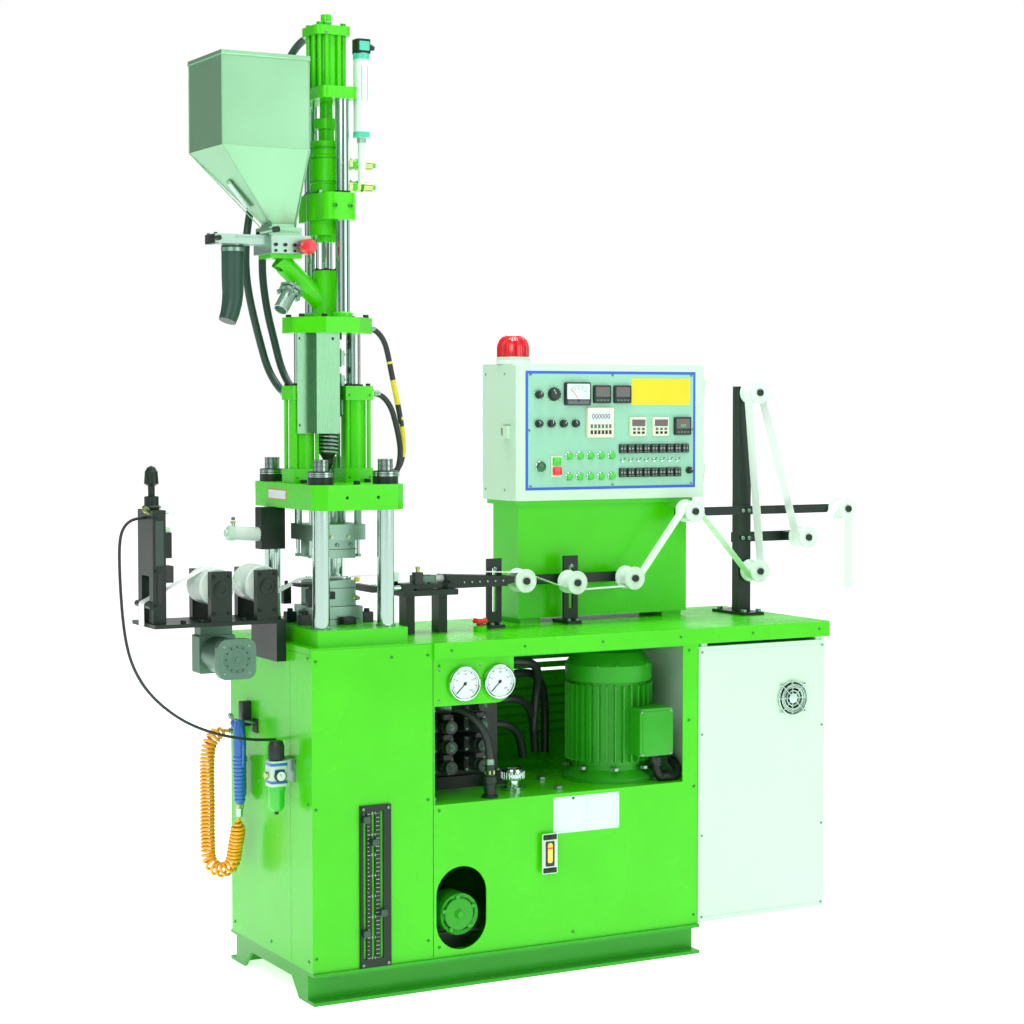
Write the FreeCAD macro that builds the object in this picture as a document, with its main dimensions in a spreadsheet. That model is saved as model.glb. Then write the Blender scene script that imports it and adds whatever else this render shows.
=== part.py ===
import FreeCAD, Part

import math
import os
import re

import Sketcher
from FreeCAD import Placement, Rotation, Vector

# Vertical injection moulding machine for moulding on to a tape. Millimetres, +Z up.
# Pieces are placed from the left end of the skid (X), the front of the cabinets (Y) and the
# floor (Z). Every placement then moves by ORIGIN, so that the model's own origin is the
# centre of the four anchor bolt holes at floor level.

SIZES = {
    # overall sizes
    "skid_length": 1070, "body_depth": 510, "skid_height": 75, "skid_proud": 8,
    "sheet": 3, "plate": 8,
    "flange_width": 45, "anchor_inset_x": 60, "anchor_inset_y": 10, "anchor_radius": 7,
    "foot_notch": 45,
    # cabinets and bench
    "press_width": 314, "press_top": 835, "press_plate": 15,
    "body_top": 794, "tank_top": 444, "post_width": 48, "window_edge": 4,
    "gauge_panel_right": 533, "gauge_panel_bottom": 681, "gauge_corner": 50,
    "pump_hole_x": 390, "pump_hole_z": 190, "pump_hole_radius": 68, "pump_hole_rise": 66,
    "bench_right": 1475, "bench_front": -8, "bench_back": 498, "bench_top": 834,
    "bench_thick": 4, "bench_lip": 24,
    "box_right": 1465, "box_bottom": 78, "box_top": 785, "box_depth": 500,
    "fan_x": 1360, "fan_z": 637, "fan_radius": 44, "fan_depth": 25, "fan_frame": 94,
    # hydraulics in the open bay
    "motor_x": 897, "motor_y": 158, "motor_radius": 98, "motor_low": 486, "motor_high": 700,
    "fin_height": 14, "fin_count": 32, "fin_thick": 3, "manifold_x": 360, "manifold_y": 150,
    "valve_rows": 5, "valve_pitch": 50, "port_x": 486, "port_y": 36,
    "port_top": 525, "oil_pump_radius": 50, "filler_x": 590, "filler_y": 110, "filler_radius": 28,
    "gauge_x": 394, "gauge_pitch": 95, "gauge_z": 733, "gauge_radius": 42.5,
    "gauge_case": 30,
    # clamp unit: four tie bars pulled down by a cylinder in the press cabinet
    "tower_x": 144, "tower_y": 228, "bar_pitch_x": 168, "bar_pitch_y": 296,
    "bar_radius": 20.5, "stud_radius": 18, "fit": 0.05, "seat": 0.3,
    "table_width": 236, "table_depth": 406, "table_thick": 38,
    "platen_z": 1153, "platen_thick": 60, "platen_corner": 28,
    "nut_radius": 30, "nut_height": 30, "stud_height": 58,
    "yoke_z": 360, "yoke_thick": 45, "ram_radius": 30, "clamp_bore": 55, "clamp_wall": 14,
    "clamp_height": 190, "clamp_head": 22, "piston": 24,
    "mould_width": 96, "mould_depth": 130, "mould_low": 104, "mould_gap": 54,
    "upper_mould": 44, "hanger_radius": 9,
    # lift cylinders and the carriage
    "lift_pitch": 137, "lift_square": 72, "lift_barrel": 30, "lift_bore": 24,
    "lift_rod": 17.5, "lift_height": 233, "lift_cap": 34,
    "lift_port_y": 212, "tower_port_y": 240, "port_reach": 300, "port_radius": 9,
    "carriage_z": 1572, "carriage_thick": 38, "carriage_half_x": 104, "carriage_half_y": 92,
    "carriage_cut": 60, "screw_radius": 13, "barrel_radius": 27, "barrel_bore": 15,
    "nozzle_z": 1240, "guard_z": 1332, "guard_front": 153, "guard_back": 186,
    "housing_radius": 33, "housing_height": 116, "column_dx": 13, "column_dy": 62,
    "column_radius": 17, "cylinder_z": 2128, "cylinder_flange": 28, "cylinder_top": 2282,
    "cylinder_radius": 42, "cylinder_bore": 34, "flange_half": 47, "rod_radius": 16,
    "crosshead_z": 1841, "crosshead_thick": 64, "motor_case": 42, "drive_high": 2032,
    # hopper on its slide
    "hopper_left": -165, "hopper_right": 53, "hopper_front": 120, "hopper_back": 336,
    "hopper_low": 1999, "hopper_high": 2214, "hopper_wall": 2, "outlet_x": 19,
    "outlet_half": 30, "outlet_z": 1815, "slide_z": 1758, "slide_thick": 55,
    "drain_x": -99,
    # control pedestal
    "pedestal_left": 716, "pedestal_right": 1232, "pedestal_front": 310,
    "pedestal_back": 448, "pedestal_low": 847, "pedestal_high": 1141,
    "panel_left": 695, "panel_right": 1270, "panel_front": 285, "panel_back": 466,
    "panel_low": 1153, "panel_high": 1506, "door_thick": 20, "hinge_radius": 5,
    "beacon_x": 733, "beacon_y": 370, "beacon_radius": 43,
    # tape path
    "tape_width": 36, "tape_thick": 0.8, "spool_radius": 30, "spool_core": 20,
    "spool_length": 50, "axle_radius": 5, "bracket_y": 258, "bracket_thick": 8,
    "arm_thick": 4, "post_x": 1386, "post_width_x": 40, "post_height": 616,
    "puller_z": 893, "puller_left": -325, "roller_radius": 44, "roller_length": 90,
    "column_left": -320, "column_width": 32, "puller_front": 150,
    "gearmotor_x": -150, "gearmotor_z": 812, "gearhead_side": 90, "gearhead_depth": 50,
    "gear_cap_side": 94, "gear_cap_depth": 20, "gear_body_radius": 43,
    "bearing_width": 52, "bearing_depth": 22, "bearing_height": 118,
    "puller_plate": 9, "puller_depth": 160, "wall_thick": 24, "wall_drop": 100,
    "column_depth": 104, "cheek_depth": 26, "column_rise": 264, "column_head": 154,
    "guide_rise": 42, "guide_radius": 8,
    # brackets that hold the first three idlers
    "bracket_width": 42, "bracket_height": 176, "bracket_foot": 80, "bracket_slot": 12,
    "bracket_slot_rise": 112, "bracket_bar_z": 938, "bracket_bar_height": 26,
    # tape guide table beside the mould
    "feeder_offset": 180, "feeder_length": 150, "feeder_depth": 100, "feeder_z": 930,
    "feeder_thick": 14, "feeder_leg": 24, "feeder_leg_depth": 40, "feeder_rod_z": 952,
    "feeder_rod_y": 44, "feeder_rod_radius": 6,
    # air service on the left side
    "air_x": -40, "air_y": 118, "air_low": 504, "air_side": 44, "air_height": 60,
    "bowl_radius": 20, "bowl_height": 62, "air_knob_radius": 19,
    "union_y": 440, "union_z": 592, "union_radius": 9, "union_length": 34,
    "gun_x": -43, "gun_y": 343, "grip_low": 426, "inlet_low": 396,
    # the valve block's hose fitting and the instruments on the door
    "fitting_z": 651, "fitting_height": 24, "solenoid_radius": 16,
    "field_inset_x": 28, "field_inset_z": 27, "button_pitch": 25, "button_radius": 8,
    "selector_pitch": 29,
    # small controls
    "stop_x": 539, "stop_y": 186, "stop_stem": 8, "stop_collar": 17, "stop_collar_rise": 14,
    "scale_left": 120, "scale_width": 80, "scale_thick": 6, "scale_height": 385,
    "slot_left": 128, "slot_pitch": 22, "slot_width": 8, "slot_low": 20, "slot_rise": 350,
    "slider_height": 16,
}
ORIGIN = ("skid_length / 2", "body_depth / 2", "0")
IDLERS = ((680, 954, 1), (830, 944, -1), (1004, 949, -1), (1190, 1119, 1),
          (1399, 953, -1), (1395, 1433, 1), (1558, 1040, -1), (1691, 1115, 1))
PULL_ROLLERS = ((-160, 973, 1), (-45, 976, -1))
SLIDERS = ((0, 420), (1, 365), (2, 196), (0, 150))
TURNS = {"x": Rotation(Vector(0, 1, 0), 90), "y": Rotation(Vector(1, 0, 0), -90),
         "z": Rotation()}

doc = FreeCAD.newDocument("injection_moulding_machine")
sheet = doc.addObject("Spreadsheet::Sheet", "Sizes")
for row, (size_name, size_value) in enumerate(SIZES.items(), start=1):
    sheet.set(f"A{row}", size_name)
    sheet.set(f"B{row}", str(size_value))
    sheet.setAlias(f"B{row}", size_name)
doc.recompute()
nodes = []


def bound(text):
    """An expression with each size name tied to its cell in the sheet."""
    return re.sub(r"[a-z_]{2,}", lambda m: "Sizes." + m.group(0) if m.group(0) in SIZES
                  else m.group(0), str(text))


def number(text):
    """The value of an expression now, worked out by the document from the same cells."""
    probe = doc.getObject("Probe") or doc.addObject("App::FeaturePython", "Probe")
    if "Value" not in probe.PropertiesList:
        probe.addProperty("App::PropertyFloat", "Value")
    probe.setExpression("Value", bound(text))
    probe.recompute()
    return float(probe.Value)


def place(item, x, y, z, along="z"):
    """Put an object at a place given by expressions, with its own Z along an axis."""
    item.Placement = Placement(Vector(), TURNS[along])
    for axis, value, shift in zip("xyz", (x, y, z), ORIGIN):
        item.setExpression(f"Placement.Base.{axis}", bound(f"{value} - ({shift})"))
    return item


def box(x, y, z, dx, dy, dz):
    """A block from its low corner and its three sizes."""
    item = doc.addObject("Part::Box", "Block")
    for name, value in (("Length", dx), ("Width", dy), ("Height", dz)):
        item.setExpression(name, bound(value))
    return place(item, x, y, z)


def rod(x, y, z, radius, length, along="z"):
    """A round bar that starts at a point and runs along an axis."""
    item = doc.addObject("Part::Cylinder", "Bar")
    item.setExpression("Radius", bound(radius))
    item.setExpression("Height", bound(length))
    return place(item, x, y, z, along)


def fuse(*items):
    """Join pieces into one solid."""
    item = doc.addObject("Part::MultiFuse", "Joined")
    item.Shapes = list(items)
    return item


def cut(base, *tools):
    """Take the tools away from the base."""
    item = doc.addObject("Part::Cut", "Cut")
    item.Base = base
    item.Tool = tools[0] if len(tools) == 1 else group(*tools)
    return item


def group(*items):
    """Hold separate solids together without joining them."""
    item = doc.addObject("Part::Compound", "Set")
    item.Links = list(items)
    return item


def outline(body, role, points):
    """A closed sketch on one of the body's origin planes, every corner driven by cells."""
    sketch = body.newObject("Sketcher::SketchObject", "Outline")
    plane = [f for f in body.Origin.OriginFeatures if f.Role == role][0]
    sketch.AttachmentSupport = (plane, [""])
    sketch.MapMode = "FlatFace"
    corners = [(number(a), number(b)) for a, b in points]
    count = len(points)
    for index in range(count):
        start = corners[index]
        end = corners[(index + 1) % count]
        sketch.addGeometry(Part.LineSegment(Vector(*start, 0), Vector(*end, 0)))
    for index in range(count):
        sketch.addConstraint(Sketcher.Constraint("Coincident", index, 2,
                                                 (index + 1) % count, 1))
    for index, corner in enumerate(points):
        for kind, value, letter in zip(("DistanceX", "DistanceY"), corner, "ab"):
            where = number(value)
            name = f"{letter}{index}"
            rule = Sketcher.Constraint(kind, -1, 1, index, 1, where)
            sketch.renameConstraint(sketch.addConstraint(rule), name)
            sketch.setExpression(f"Constraints.{name}", bound(value))
    return sketch


def turned(points, x, y, z, along="z"):
    """A turned piece: an outline of (radius, height) corners spun about an axis."""
    body = doc.addObject("PartDesign::Body", "Turned")
    sketch = outline(body, "XZ_Plane", points)
    spin = body.newObject("PartDesign::Revolution", "Spin")
    spin.Profile = sketch
    spin.ReferenceAxis = (sketch, ["V_Axis"])
    spin.Angle = 360
    return place(body, x, y, z, along)


def prism(points, length, x, y, z, along="z", rounding=None):
    """An outline pushed along an axis, its long edges rounded where a radius is given."""
    body = doc.addObject("PartDesign::Body", "Prism")
    role = {"x": "YZ_Plane", "y": "XZ_Plane", "z": "XY_Plane"}[along]
    sketch = outline(body, role, points)
    pad = body.newObject("PartDesign::Pad", "Push")
    pad.Profile = sketch
    pad.Reversed = along == "y"
    pad.setExpression("Length", bound(length))
    place(body, x, y, z)
    if rounding:
        doc.recompute()
        way = {"x": Vector(1, 0, 0), "y": Vector(0, 1, 0), "z": Vector(0, 0, 1)}[along]
        long_edges = [f"Edge{i}" for i, edge in enumerate(pad.Shape.Edges, start=1)
                      if abs(abs(edge.tangentAt(edge.FirstParameter).dot(way)) - 1) < 1e-6]
        fillet = body.newObject("PartDesign::Fillet", "Rounding")
        fillet.Base = (pad, long_edges)
        fillet.setExpression("Radius", bound(rounding))
    return body


def slab(dx, dy, dz, x, y, z, rounding, along="z"):
    """A block with its four long edges rounded."""
    corners = (("0", "0"), (dx, "0"), (dx, dy), ("0", dy))
    return prism(corners, dz, x, y, z, along, rounding)


def shell(x, y, z, dx, dy, dz, wall):
    """A closed sheet-metal box of one wall thickness."""
    inner = box(f"{x} + {wall}", f"{y} + {wall}", f"{z} + {wall}",
                f"{dx} - 2 * {wall}", f"{dy} - 2 * {wall}", f"{dz} - 2 * {wall}")
    return cut(box(x, y, z, dx, dy, dz), inner)


def node(name, item):
    """Name a finished sub-part and list it for export."""
    item.Label = name
    nodes.append(item)
    return item


def solid_feature(name, shape):
    """A sub-part whose shape is worked out by code from the sizes."""
    item = doc.addObject("Part::Feature", name)
    item.Shape = shape
    item.Placement = Placement(Vector(*[-number(v) for v in ORIGIN]), Rotation())
    return item


def four(pitch_x, pitch_y, maker):
    """Four copies of a piece at the corners of a rectangle about the tower's axis."""
    made = []
    for side in (-1, 1):
        for end in (-1, 1):
            made.append(maker(f"tower_x + {side} * {pitch_x} / 2",
                              f"tower_y + {end} * {pitch_y} / 2"))
    return made


def tie_bar_holes(z, radius, length):
    """Cutters for the four tie bars."""
    return four("bar_pitch_x", "bar_pitch_y", lambda x, y: rod(x, y, z, radius, length))


# ---------------------------------------------------------------- base and cabinets

def build_skid():
    """Two channels with their flanges outwards, joined by end plates."""
    web = "flange_width"
    front = (("0", "0"), (web, "0"), (web, "skid_height"), ("0", "skid_height"),
             ("0", "skid_height - plate"), (f"{web} - plate", "skid_height - plate"),
             (f"{web} - plate", "plate"), ("0", "plate"))
    back = [(f"body_depth + 2 * skid_proud - ({a})", b) for a, b in front]
    span = "body_depth + 2 * skid_proud - 2 * flange_width"
    foot = ((("0"), "0"), ("foot_notch", "0"), ("2 * foot_notch", "foot_notch"),
            (f"{span} - 2 * foot_notch", "foot_notch"), (f"{span} - foot_notch", "0"),
            (span, "0"), (span, "skid_height"), ("0", "skid_height"))
    pieces = [prism(front, "skid_length", "0", "-skid_proud", "0", "x"),
              prism(back, "skid_length", "0", "-skid_proud", "0", "x")]
    for x in ("0", "press_width", "skid_length - plate"):
        pieces.append(prism(foot, "plate", x, "flange_width - skid_proud", "0", "x"))
    holes = []
    for x in ("anchor_inset_x", "skid_length - anchor_inset_x"):
        for y in ("anchor_inset_y", "body_depth - anchor_inset_y"):
            holes.append(rod(x, y, "-1", "anchor_radius", "plate + 2"))
    return node("skid", cut(fuse(*pieces), *holes))


def build_press_cabinet():
    """Sheet walls with a thick plate at top and bottom, and the clamp cylinder inside."""
    case = box("0", "0", "skid_height", "press_width", "body_depth",
               "press_top - skid_height")
    room = box("sheet", "sheet", "skid_height + press_plate", "press_width - 2 * sheet",
               "body_depth - 2 * sheet", "press_top - skid_height - 2 * press_plate")
    holes = tie_bar_holes("press_top - press_plate - 1", "bar_radius + 3",
                          "press_plate + 2")
    return node("press_cabinet", group(cut(case, room, *holes), clamp_barrel()))


def clamp_barrel():
    """The clamp cylinder's barrel, bolted to the floor plate of the press cabinet."""
    floor = "skid_height + press_plate"
    wall = "clamp_bore + clamp_wall"
    points = (("0", "0"), (f"{wall} + 20", "0"), (f"{wall} + 20", "plate"),
              (wall, "plate"), (wall, "clamp_height"), ("ram_radius + fit", "clamp_height"),
              ("ram_radius + fit", "clamp_height - clamp_head"),
              ("clamp_bore", "clamp_height - clamp_head"), ("clamp_bore", "plate"),
              ("0", "plate"))
    return turned(points, "tower_x", "tower_y", floor)


def build_machine_body():
    """The oil tank and open pump bay, with the gauge panel and the round pump hole."""
    left = "press_width"
    width = "skid_length - press_width"
    high = "body_top - skid_height"
    case = box(left, "0", "skid_height", width, "body_depth", high)
    low_room = box(f"{left} + sheet", "sheet", "skid_height + sheet",
                   f"{width} - 2 * sheet", "body_depth - 2 * sheet",
                   "tank_top - skid_height - 2 * sheet")
    bay = box(f"{left} + sheet", "sheet", "tank_top", f"{width} - 2 * sheet",
              "body_depth - 2 * sheet", "body_top - tank_top + 1")
    window = box(f"{left} + window_edge", "-1", "tank_top",
                 f"{width} - post_width - window_edge", "sheet + 2",
                 "body_top - tank_top - window_edge")
    side = box("skid_length - sheet - 1", "post_width", "tank_top + window_edge",
               "sheet + 2", "body_depth - 2 * post_width",
               "body_top - tank_top - 2 * window_edge")
    panel = cut(box(f"{left} + sheet", "0", "gauge_panel_bottom",
                    "gauge_panel_right - press_width - sheet", "sheet",
                    "body_top - gauge_panel_bottom"),
                cut(box("gauge_panel_right - gauge_corner", "-1", "gauge_panel_bottom - 1",
                        "gauge_corner + 1", "sheet + 2", "gauge_corner + 1"),
                    rod("gauge_panel_right - gauge_corner", "-2",
                        "gauge_panel_bottom + gauge_corner", "gauge_corner",
                        "sheet + 4", "y")))
    holes = [box("pump_hole_x - pump_hole_radius", "-1",
                 "pump_hole_z - pump_hole_rise / 2", "2 * pump_hole_radius", "sheet + 2",
                 "pump_hole_rise")]
    for side_sign in (-1, 1):
        holes.append(rod("pump_hole_x", "-1",
                         f"pump_hole_z + {side_sign} * pump_hole_rise / 2",
                         "pump_hole_radius", "sheet + 2", "y"))
    for index in range(2):
        holes.append(rod(f"gauge_x + {index} * gauge_pitch", "-1", "gauge_z",
                         "gauge_case + seat", "sheet + 2", "y"))
    for index in range(9):
        holes.append(box("motor_x - 160", "body_depth - sheet - 1",
                         f"tank_top + 70 + {index} * 24", "260", "sheet + 2", "8"))
    return node("machine_body", cut(fuse(cut(case, low_room, bay, window, side), panel),
                                    *holes))


def build_bench_top():
    """The folded bench tray, open below, with a lip that rests on the body."""
    left = "press_width"
    width = "bench_right - press_width"
    depth = "bench_back - bench_front"
    tray = box(left, "bench_front", "body_top", width, depth, "bench_top - body_top")
    room = box(f"{left} + bench_thick", "bench_front + bench_thick",
               "body_top + bench_thick", f"{width} - 2 * bench_thick",
               f"{depth} - 2 * bench_thick", "bench_top - body_top - 2 * bench_thick")
    mouth = box(f"{left} + bench_lip", "bench_front + bench_lip", "body_top - 1",
                f"{width} - 2 * bench_lip", f"{depth} - 2 * bench_lip", "bench_thick + 2")
    collar = cut(rod("stop_x", "stop_y", "bench_top", "stop_collar", "stop_collar_rise"),
                 rod("stop_x", "stop_y", "bench_top", "stop_stem + fit",
                     "stop_collar_rise + 1"))
    return node("bench_top", fuse(cut(tray, room, mouth), collar))


def build_electrical_cabinet():
    """The white switch cabinet hung under the bench, with the fan's frame and guard."""
    left = "skid_length"
    width = "box_right - skid_length"
    case = shell(left, "0", "box_bottom", width, "box_depth", "box_top - box_bottom",
                 "sheet")
    hangers = [box(f"{left} + {offset}", "bench_lip - 20", "box_top", "20",
                   "box_depth - bench_lip - 10", "body_top - box_top")
               for offset in ("8", f"{width} - 28")]
    hole = rod("fan_x", "-1", "fan_z", "fan_radius", "sheet + 2", "y")
    frame = cut(box("fan_x - fan_frame / 2", "sheet", "fan_z - fan_frame / 2", "fan_frame",
                    "fan_depth", "fan_frame"),
                rod("fan_x", "sheet - 1", "fan_z", "fan_radius", "fan_depth + 2", "y"))
    spider = fuse(box("fan_x - fan_radius - 2", "fan_depth", "fan_z - 4",
                      "2 * fan_radius + 4", "sheet", "8"),
                  box("fan_x - 4", "fan_depth", "fan_z - fan_radius - 2", "8", "sheet",
                      "2 * fan_radius + 4"),
                  rod("fan_x", "sheet + 4", "fan_z", "axle_radius - fit",
                      "fan_depth - 2", "y"))
    rings = [box("fan_x - fan_radius - 4", "-4", "fan_z - 1.5", "2 * fan_radius + 8", "4",
                 "3"),
             box("fan_x - 1.5", "-4", "fan_z - fan_radius - 4", "3", "4",
                 "2 * fan_radius + 8")]
    for step in (1, 0.72, 0.44):
        rings.append(cut(rod("fan_x", "-6", "fan_z", f"fan_radius * {step} + 1.2", "3", "y"),
                         rod("fan_x", "-7", "fan_z", f"fan_radius * {step} - 1.2", "5",
                             "y")))
    whole = fuse(cut(case, hole), *hangers, frame, spider, *rings)
    return node("electrical_cabinet", whole)


def build_fan_rotor():
    """Hub and seven flat blades on the fan's pin."""
    hub = rod("fan_x", "sheet + 5", "fan_z", "15", "14", "y")
    blades = []
    for index in range(7):
        blade = box("fan_x", "sheet + 6", "fan_z", "fan_radius - 3", "10", "2.5")
        turn = Rotation(Vector(0, 1, 0), index * 360 / 7)
        blade.Placement = Placement(Vector(), turn)
        for axis, value, shift in zip("xyz", ("fan_x", "sheet + 6", "fan_z"), ORIGIN):
            blade.setExpression(f"Placement.Base.{axis}", bound(f"{value} - ({shift})"))
        blades.append(blade)
    bore = rod("fan_x", "sheet", "fan_z", "axle_radius", "30", "y")
    return node("fan_rotor", cut(fuse(hub, *blades), bore))


# ---------------------------------------------------------------- hydraulics

def build_pump_motor():
    """The upright finned motor on its bell housing, with its terminal box."""
    pieces = [turned((("0", "0"), ("motor_radius + 22", "0"), ("motor_radius + 22", "12"),
                      ("motor_radius - 4", "30"), ("motor_radius - 4", "42"),
                      ("0", "42")), "motor_x", "motor_y", "tank_top"),
              rod("motor_x", "motor_y", "motor_low", "motor_radius",
                  "motor_high - motor_low"),
              turned((("0", "0"), ("motor_radius + fin_height", "0"),
                      ("motor_radius + fin_height", "40"), ("motor_radius - 12", "72"),
                      ("motor_radius - 40", "80"), ("0", "80")),
                     "motor_x", "motor_y", "motor_high")]
    count = int(number("fin_count"))
    for index in range(count):
        fin = box("0", "0", "0", "motor_radius + fin_height", "fin_thick",
                  "motor_high - motor_low - 20")
        fin.Placement = Placement(Vector(), Rotation(Vector(0, 0, 1), index * 360 / count))
        for axis, value, shift in zip("xyz", ("motor_x", "motor_y", "motor_low + 10"),
                                      ORIGIN):
            fin.setExpression(f"Placement.Base.{axis}", bound(f"{value} - ({shift})"))
        pieces.append(fin)
    pieces.append(box("motor_x", "motor_y - motor_radius - 52", "motor_low + 30", "98",
                      "80", "120"))
    return node("pump_motor", fuse(*pieces))


# The fitting's outline seen from above: its slanted face meets the hose squarely.
HOSE_FITTING = (("409.1", "140.3"), ("409.1", "146"), ("391.4", "146"),
                ("391.4", "124.1"))


def build_hydraulic_unit():
    """Valve block with four solenoids, the breather cap and the pump in its hole."""
    base = box("manifold_x", "manifold_y + 40", "tank_top", "260", "140", "30")
    block = box("manifold_x + 10", "manifold_y + 60", "tank_top + 30", "230", "100",
                "valve_rows * valve_pitch + 20")
    pieces = [base, block]
    hose_row = 3
    for level_index in range(int(number("valve_rows"))):
        level = f"tank_top + 50 + {level_index} * valve_pitch"
        for column, offset in enumerate((20, 110)):
            pieces.append(box(f"manifold_x + {offset}", "manifold_y - 10", level, "60",
                              "80", "38"))
            if (level_index, column) != (hose_row, 0):
                pieces.append(rod(f"manifold_x + {offset} + 30", "manifold_y - 60",
                                  f"{level} + 19", "solenoid_radius", "52", "y"))
    port = turned((("0", "0"), ("20", "0"), ("20", "6"), ("14", "6"), ("14", "34"),
                   ("17", "36"), ("17", "52"), ("13", "54"), ("13", "port_top - tank_top"),
                   ("0", "port_top - tank_top")), "port_x", "port_y", "tank_top")
    cap = turned((("0", "0"), ("filler_radius", "0"), ("filler_radius", "8"),
                  ("filler_radius - 9", "8"), ("filler_radius - 9", "26"),
                  ("filler_radius", "26"), ("filler_radius", "48"),
                  ("filler_radius - 4", "54"), ("0", "54")), "filler_x", "filler_y",
                 "tank_top")
    pump = turned((("0", "0"), ("oil_pump_radius - 6", "0"), ("oil_pump_radius", "8"),
                   ("oil_pump_radius", "120"), ("oil_pump_radius - 14", "120"),
                   ("oil_pump_radius - 14", "180"), ("0", "180")), "pump_hole_x", "16",
                  "pump_hole_z - 18", "y")
    cradle = box("pump_hole_x - 40", "60", "skid_height + sheet", "80", "60",
                 "pump_hole_z - skid_height - sheet - 50")
    pieces.append(prism(HOSE_FITTING, "fitting_height", "0", "0", "fitting_z"))
    return node("hydraulic_unit", group(fuse(*pieces), cap, port, fuse(pump, cradle)))


def build_gauges():
    """Two flanged pressure gauges on their panel and the oil level gauge."""
    pieces = []
    for index in range(2):
        pieces.append(turned((("0", "0"), ("gauge_case", "0"), ("gauge_case", "24"),
                              ("gauge_radius", "24"), ("gauge_radius", "28"),
                              ("gauge_radius - 6", "36"), ("gauge_radius - 10", "36"),
                              ("gauge_radius - 10", "33"), ("0", "33")),
                             f"gauge_x + {index} * gauge_pitch", "24", "gauge_z", "y"))
    for gauge in pieces:
        turn = Rotation(Vector(1, 0, 0), 90)
        base = gauge.Placement.Base
        gauge.Placement = Placement(base, turn)
    level = slab("43", "99", "14", "605", "-14", "251", "4", "y")
    return node("gauges", group(*pieces, level))


def build_scale_plate():
    """The black plate with three slots that carries the four stroke switches' knobs."""
    plate = box("scale_left", "-scale_thick", "skid_height", "scale_width", "scale_thick",
                "scale_height")
    slots = [box(f"slot_left + {index} * slot_pitch", "-scale_thick - 1",
                 "skid_height + slot_low", "slot_width", "scale_thick + 2", "slot_rise")
             for index in range(3)]
    return node("scale_plate", cut(plate, *slots))


def build_slider(index, column, height):
    """One stroke switch's knob with its foot in the plate's slot."""
    x = f"slot_left + {column} * slot_pitch"
    foot = box(f"{x} + seat", "-scale_thick - 1", height, "slot_width - 2 * seat",
               "scale_thick + 1 - seat", "slider_height")
    knob = slab("16", "slider_height", "13", f"{x} - 4", "-scale_thick - 13 - seat",
                height, "3", "y")
    return node(f"stroke_slider_{index}", fuse(foot, knob))


# ---------------------------------------------------------------- clamp unit

def build_lower_platen():
    """The fixed platen on the press cabinet, bored for the tie bars."""
    block = slab("table_width", "table_depth", "table_thick",
                 "tower_x - table_width / 2", "tower_y - table_depth / 2", "press_top",
                 "6")
    return node("lower_platen", cut(block, *tie_bar_holes("press_top - 1",
                                                          "bar_radius + fit",
                                                          "table_thick + 2")))


def build_lower_mould():
    """Lower mould half: a wide base block and the cavity block."""
    base = "press_top + table_thick"
    low = box("tower_x - mould_width / 2 - 14", "tower_y - mould_depth / 2", base,
              "mould_width + 28", "mould_depth", "42")
    high = box("tower_x - mould_width / 2", "tower_y - mould_depth / 2 + 10",
               f"{base} + 42", "mould_width", "mould_depth - 20", "mould_low - 42")
    return node("lower_mould", fuse(low, high))


def build_upper_platen():
    """The moving platen that the four tie bars pull down, bored for the nozzle."""
    half_x = "table_width / 2"
    half_y = "table_depth / 2"
    c = "platen_corner"
    points = ((f"-{half_x} + {c}", f"-{half_y}"), (f"{half_x} - {c}", f"-{half_y}"),
              (half_x, f"-{half_y} + {c}"), (half_x, f"{half_y} - {c}"),
              (f"{half_x} - {c}", half_y), (f"-{half_x} + {c}", half_y),
              (f"-{half_x}", f"{half_y} - {c}"), (f"-{half_x}", f"-{half_y} + {c}"))
    block = prism(points, "platen_thick", "tower_x", "tower_y", "platen_z")
    nozzle = rod("tower_x", "tower_y", "platen_z - 1", "barrel_radius + 4",
                 "platen_thick + 2")
    hooks = [rod(f"tower_x + {dx}", f"tower_y - {half_y} - 1", "platen_z + 30", "4", "18",
                 "y") for dx in (-40, 40)]
    holes = tie_bar_holes("platen_z - 1", "stud_radius + fit", "platen_thick + 2")
    return node("upper_platen", cut(block, nozzle, *hooks, *holes))


def build_tie_bars():
    """Four chrome tie bars with their nuts, and the yoke and ram that pull them down."""
    def bar(x, y):
        return fuse(rod(x, y, "yoke_z", "bar_radius", "platen_z - yoke_z"),
                    rod(x, y, "platen_z", "stud_radius", "platen_thick + stud_height"),
                    rod(x, y, "platen_z + platen_thick", "nut_radius", "nut_height"))
    bars = four("bar_pitch_x", "bar_pitch_y", bar)
    yoke = box("tower_x - bar_pitch_x / 2 - 32", "tower_y - bar_pitch_y / 2 - 32",
               "yoke_z", "bar_pitch_x + 64", "bar_pitch_y + 64", "yoke_thick")
    ram_low = "skid_height + press_plate + plate + 62"
    ram = rod("tower_x", "tower_y", ram_low, "ram_radius", f"yoke_z - ({ram_low})")
    piston = rod("tower_x", "tower_y", ram_low, "clamp_bore - fit", "piston")
    return node("tie_bars", fuse(yoke, ram, piston, *bars))


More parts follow.
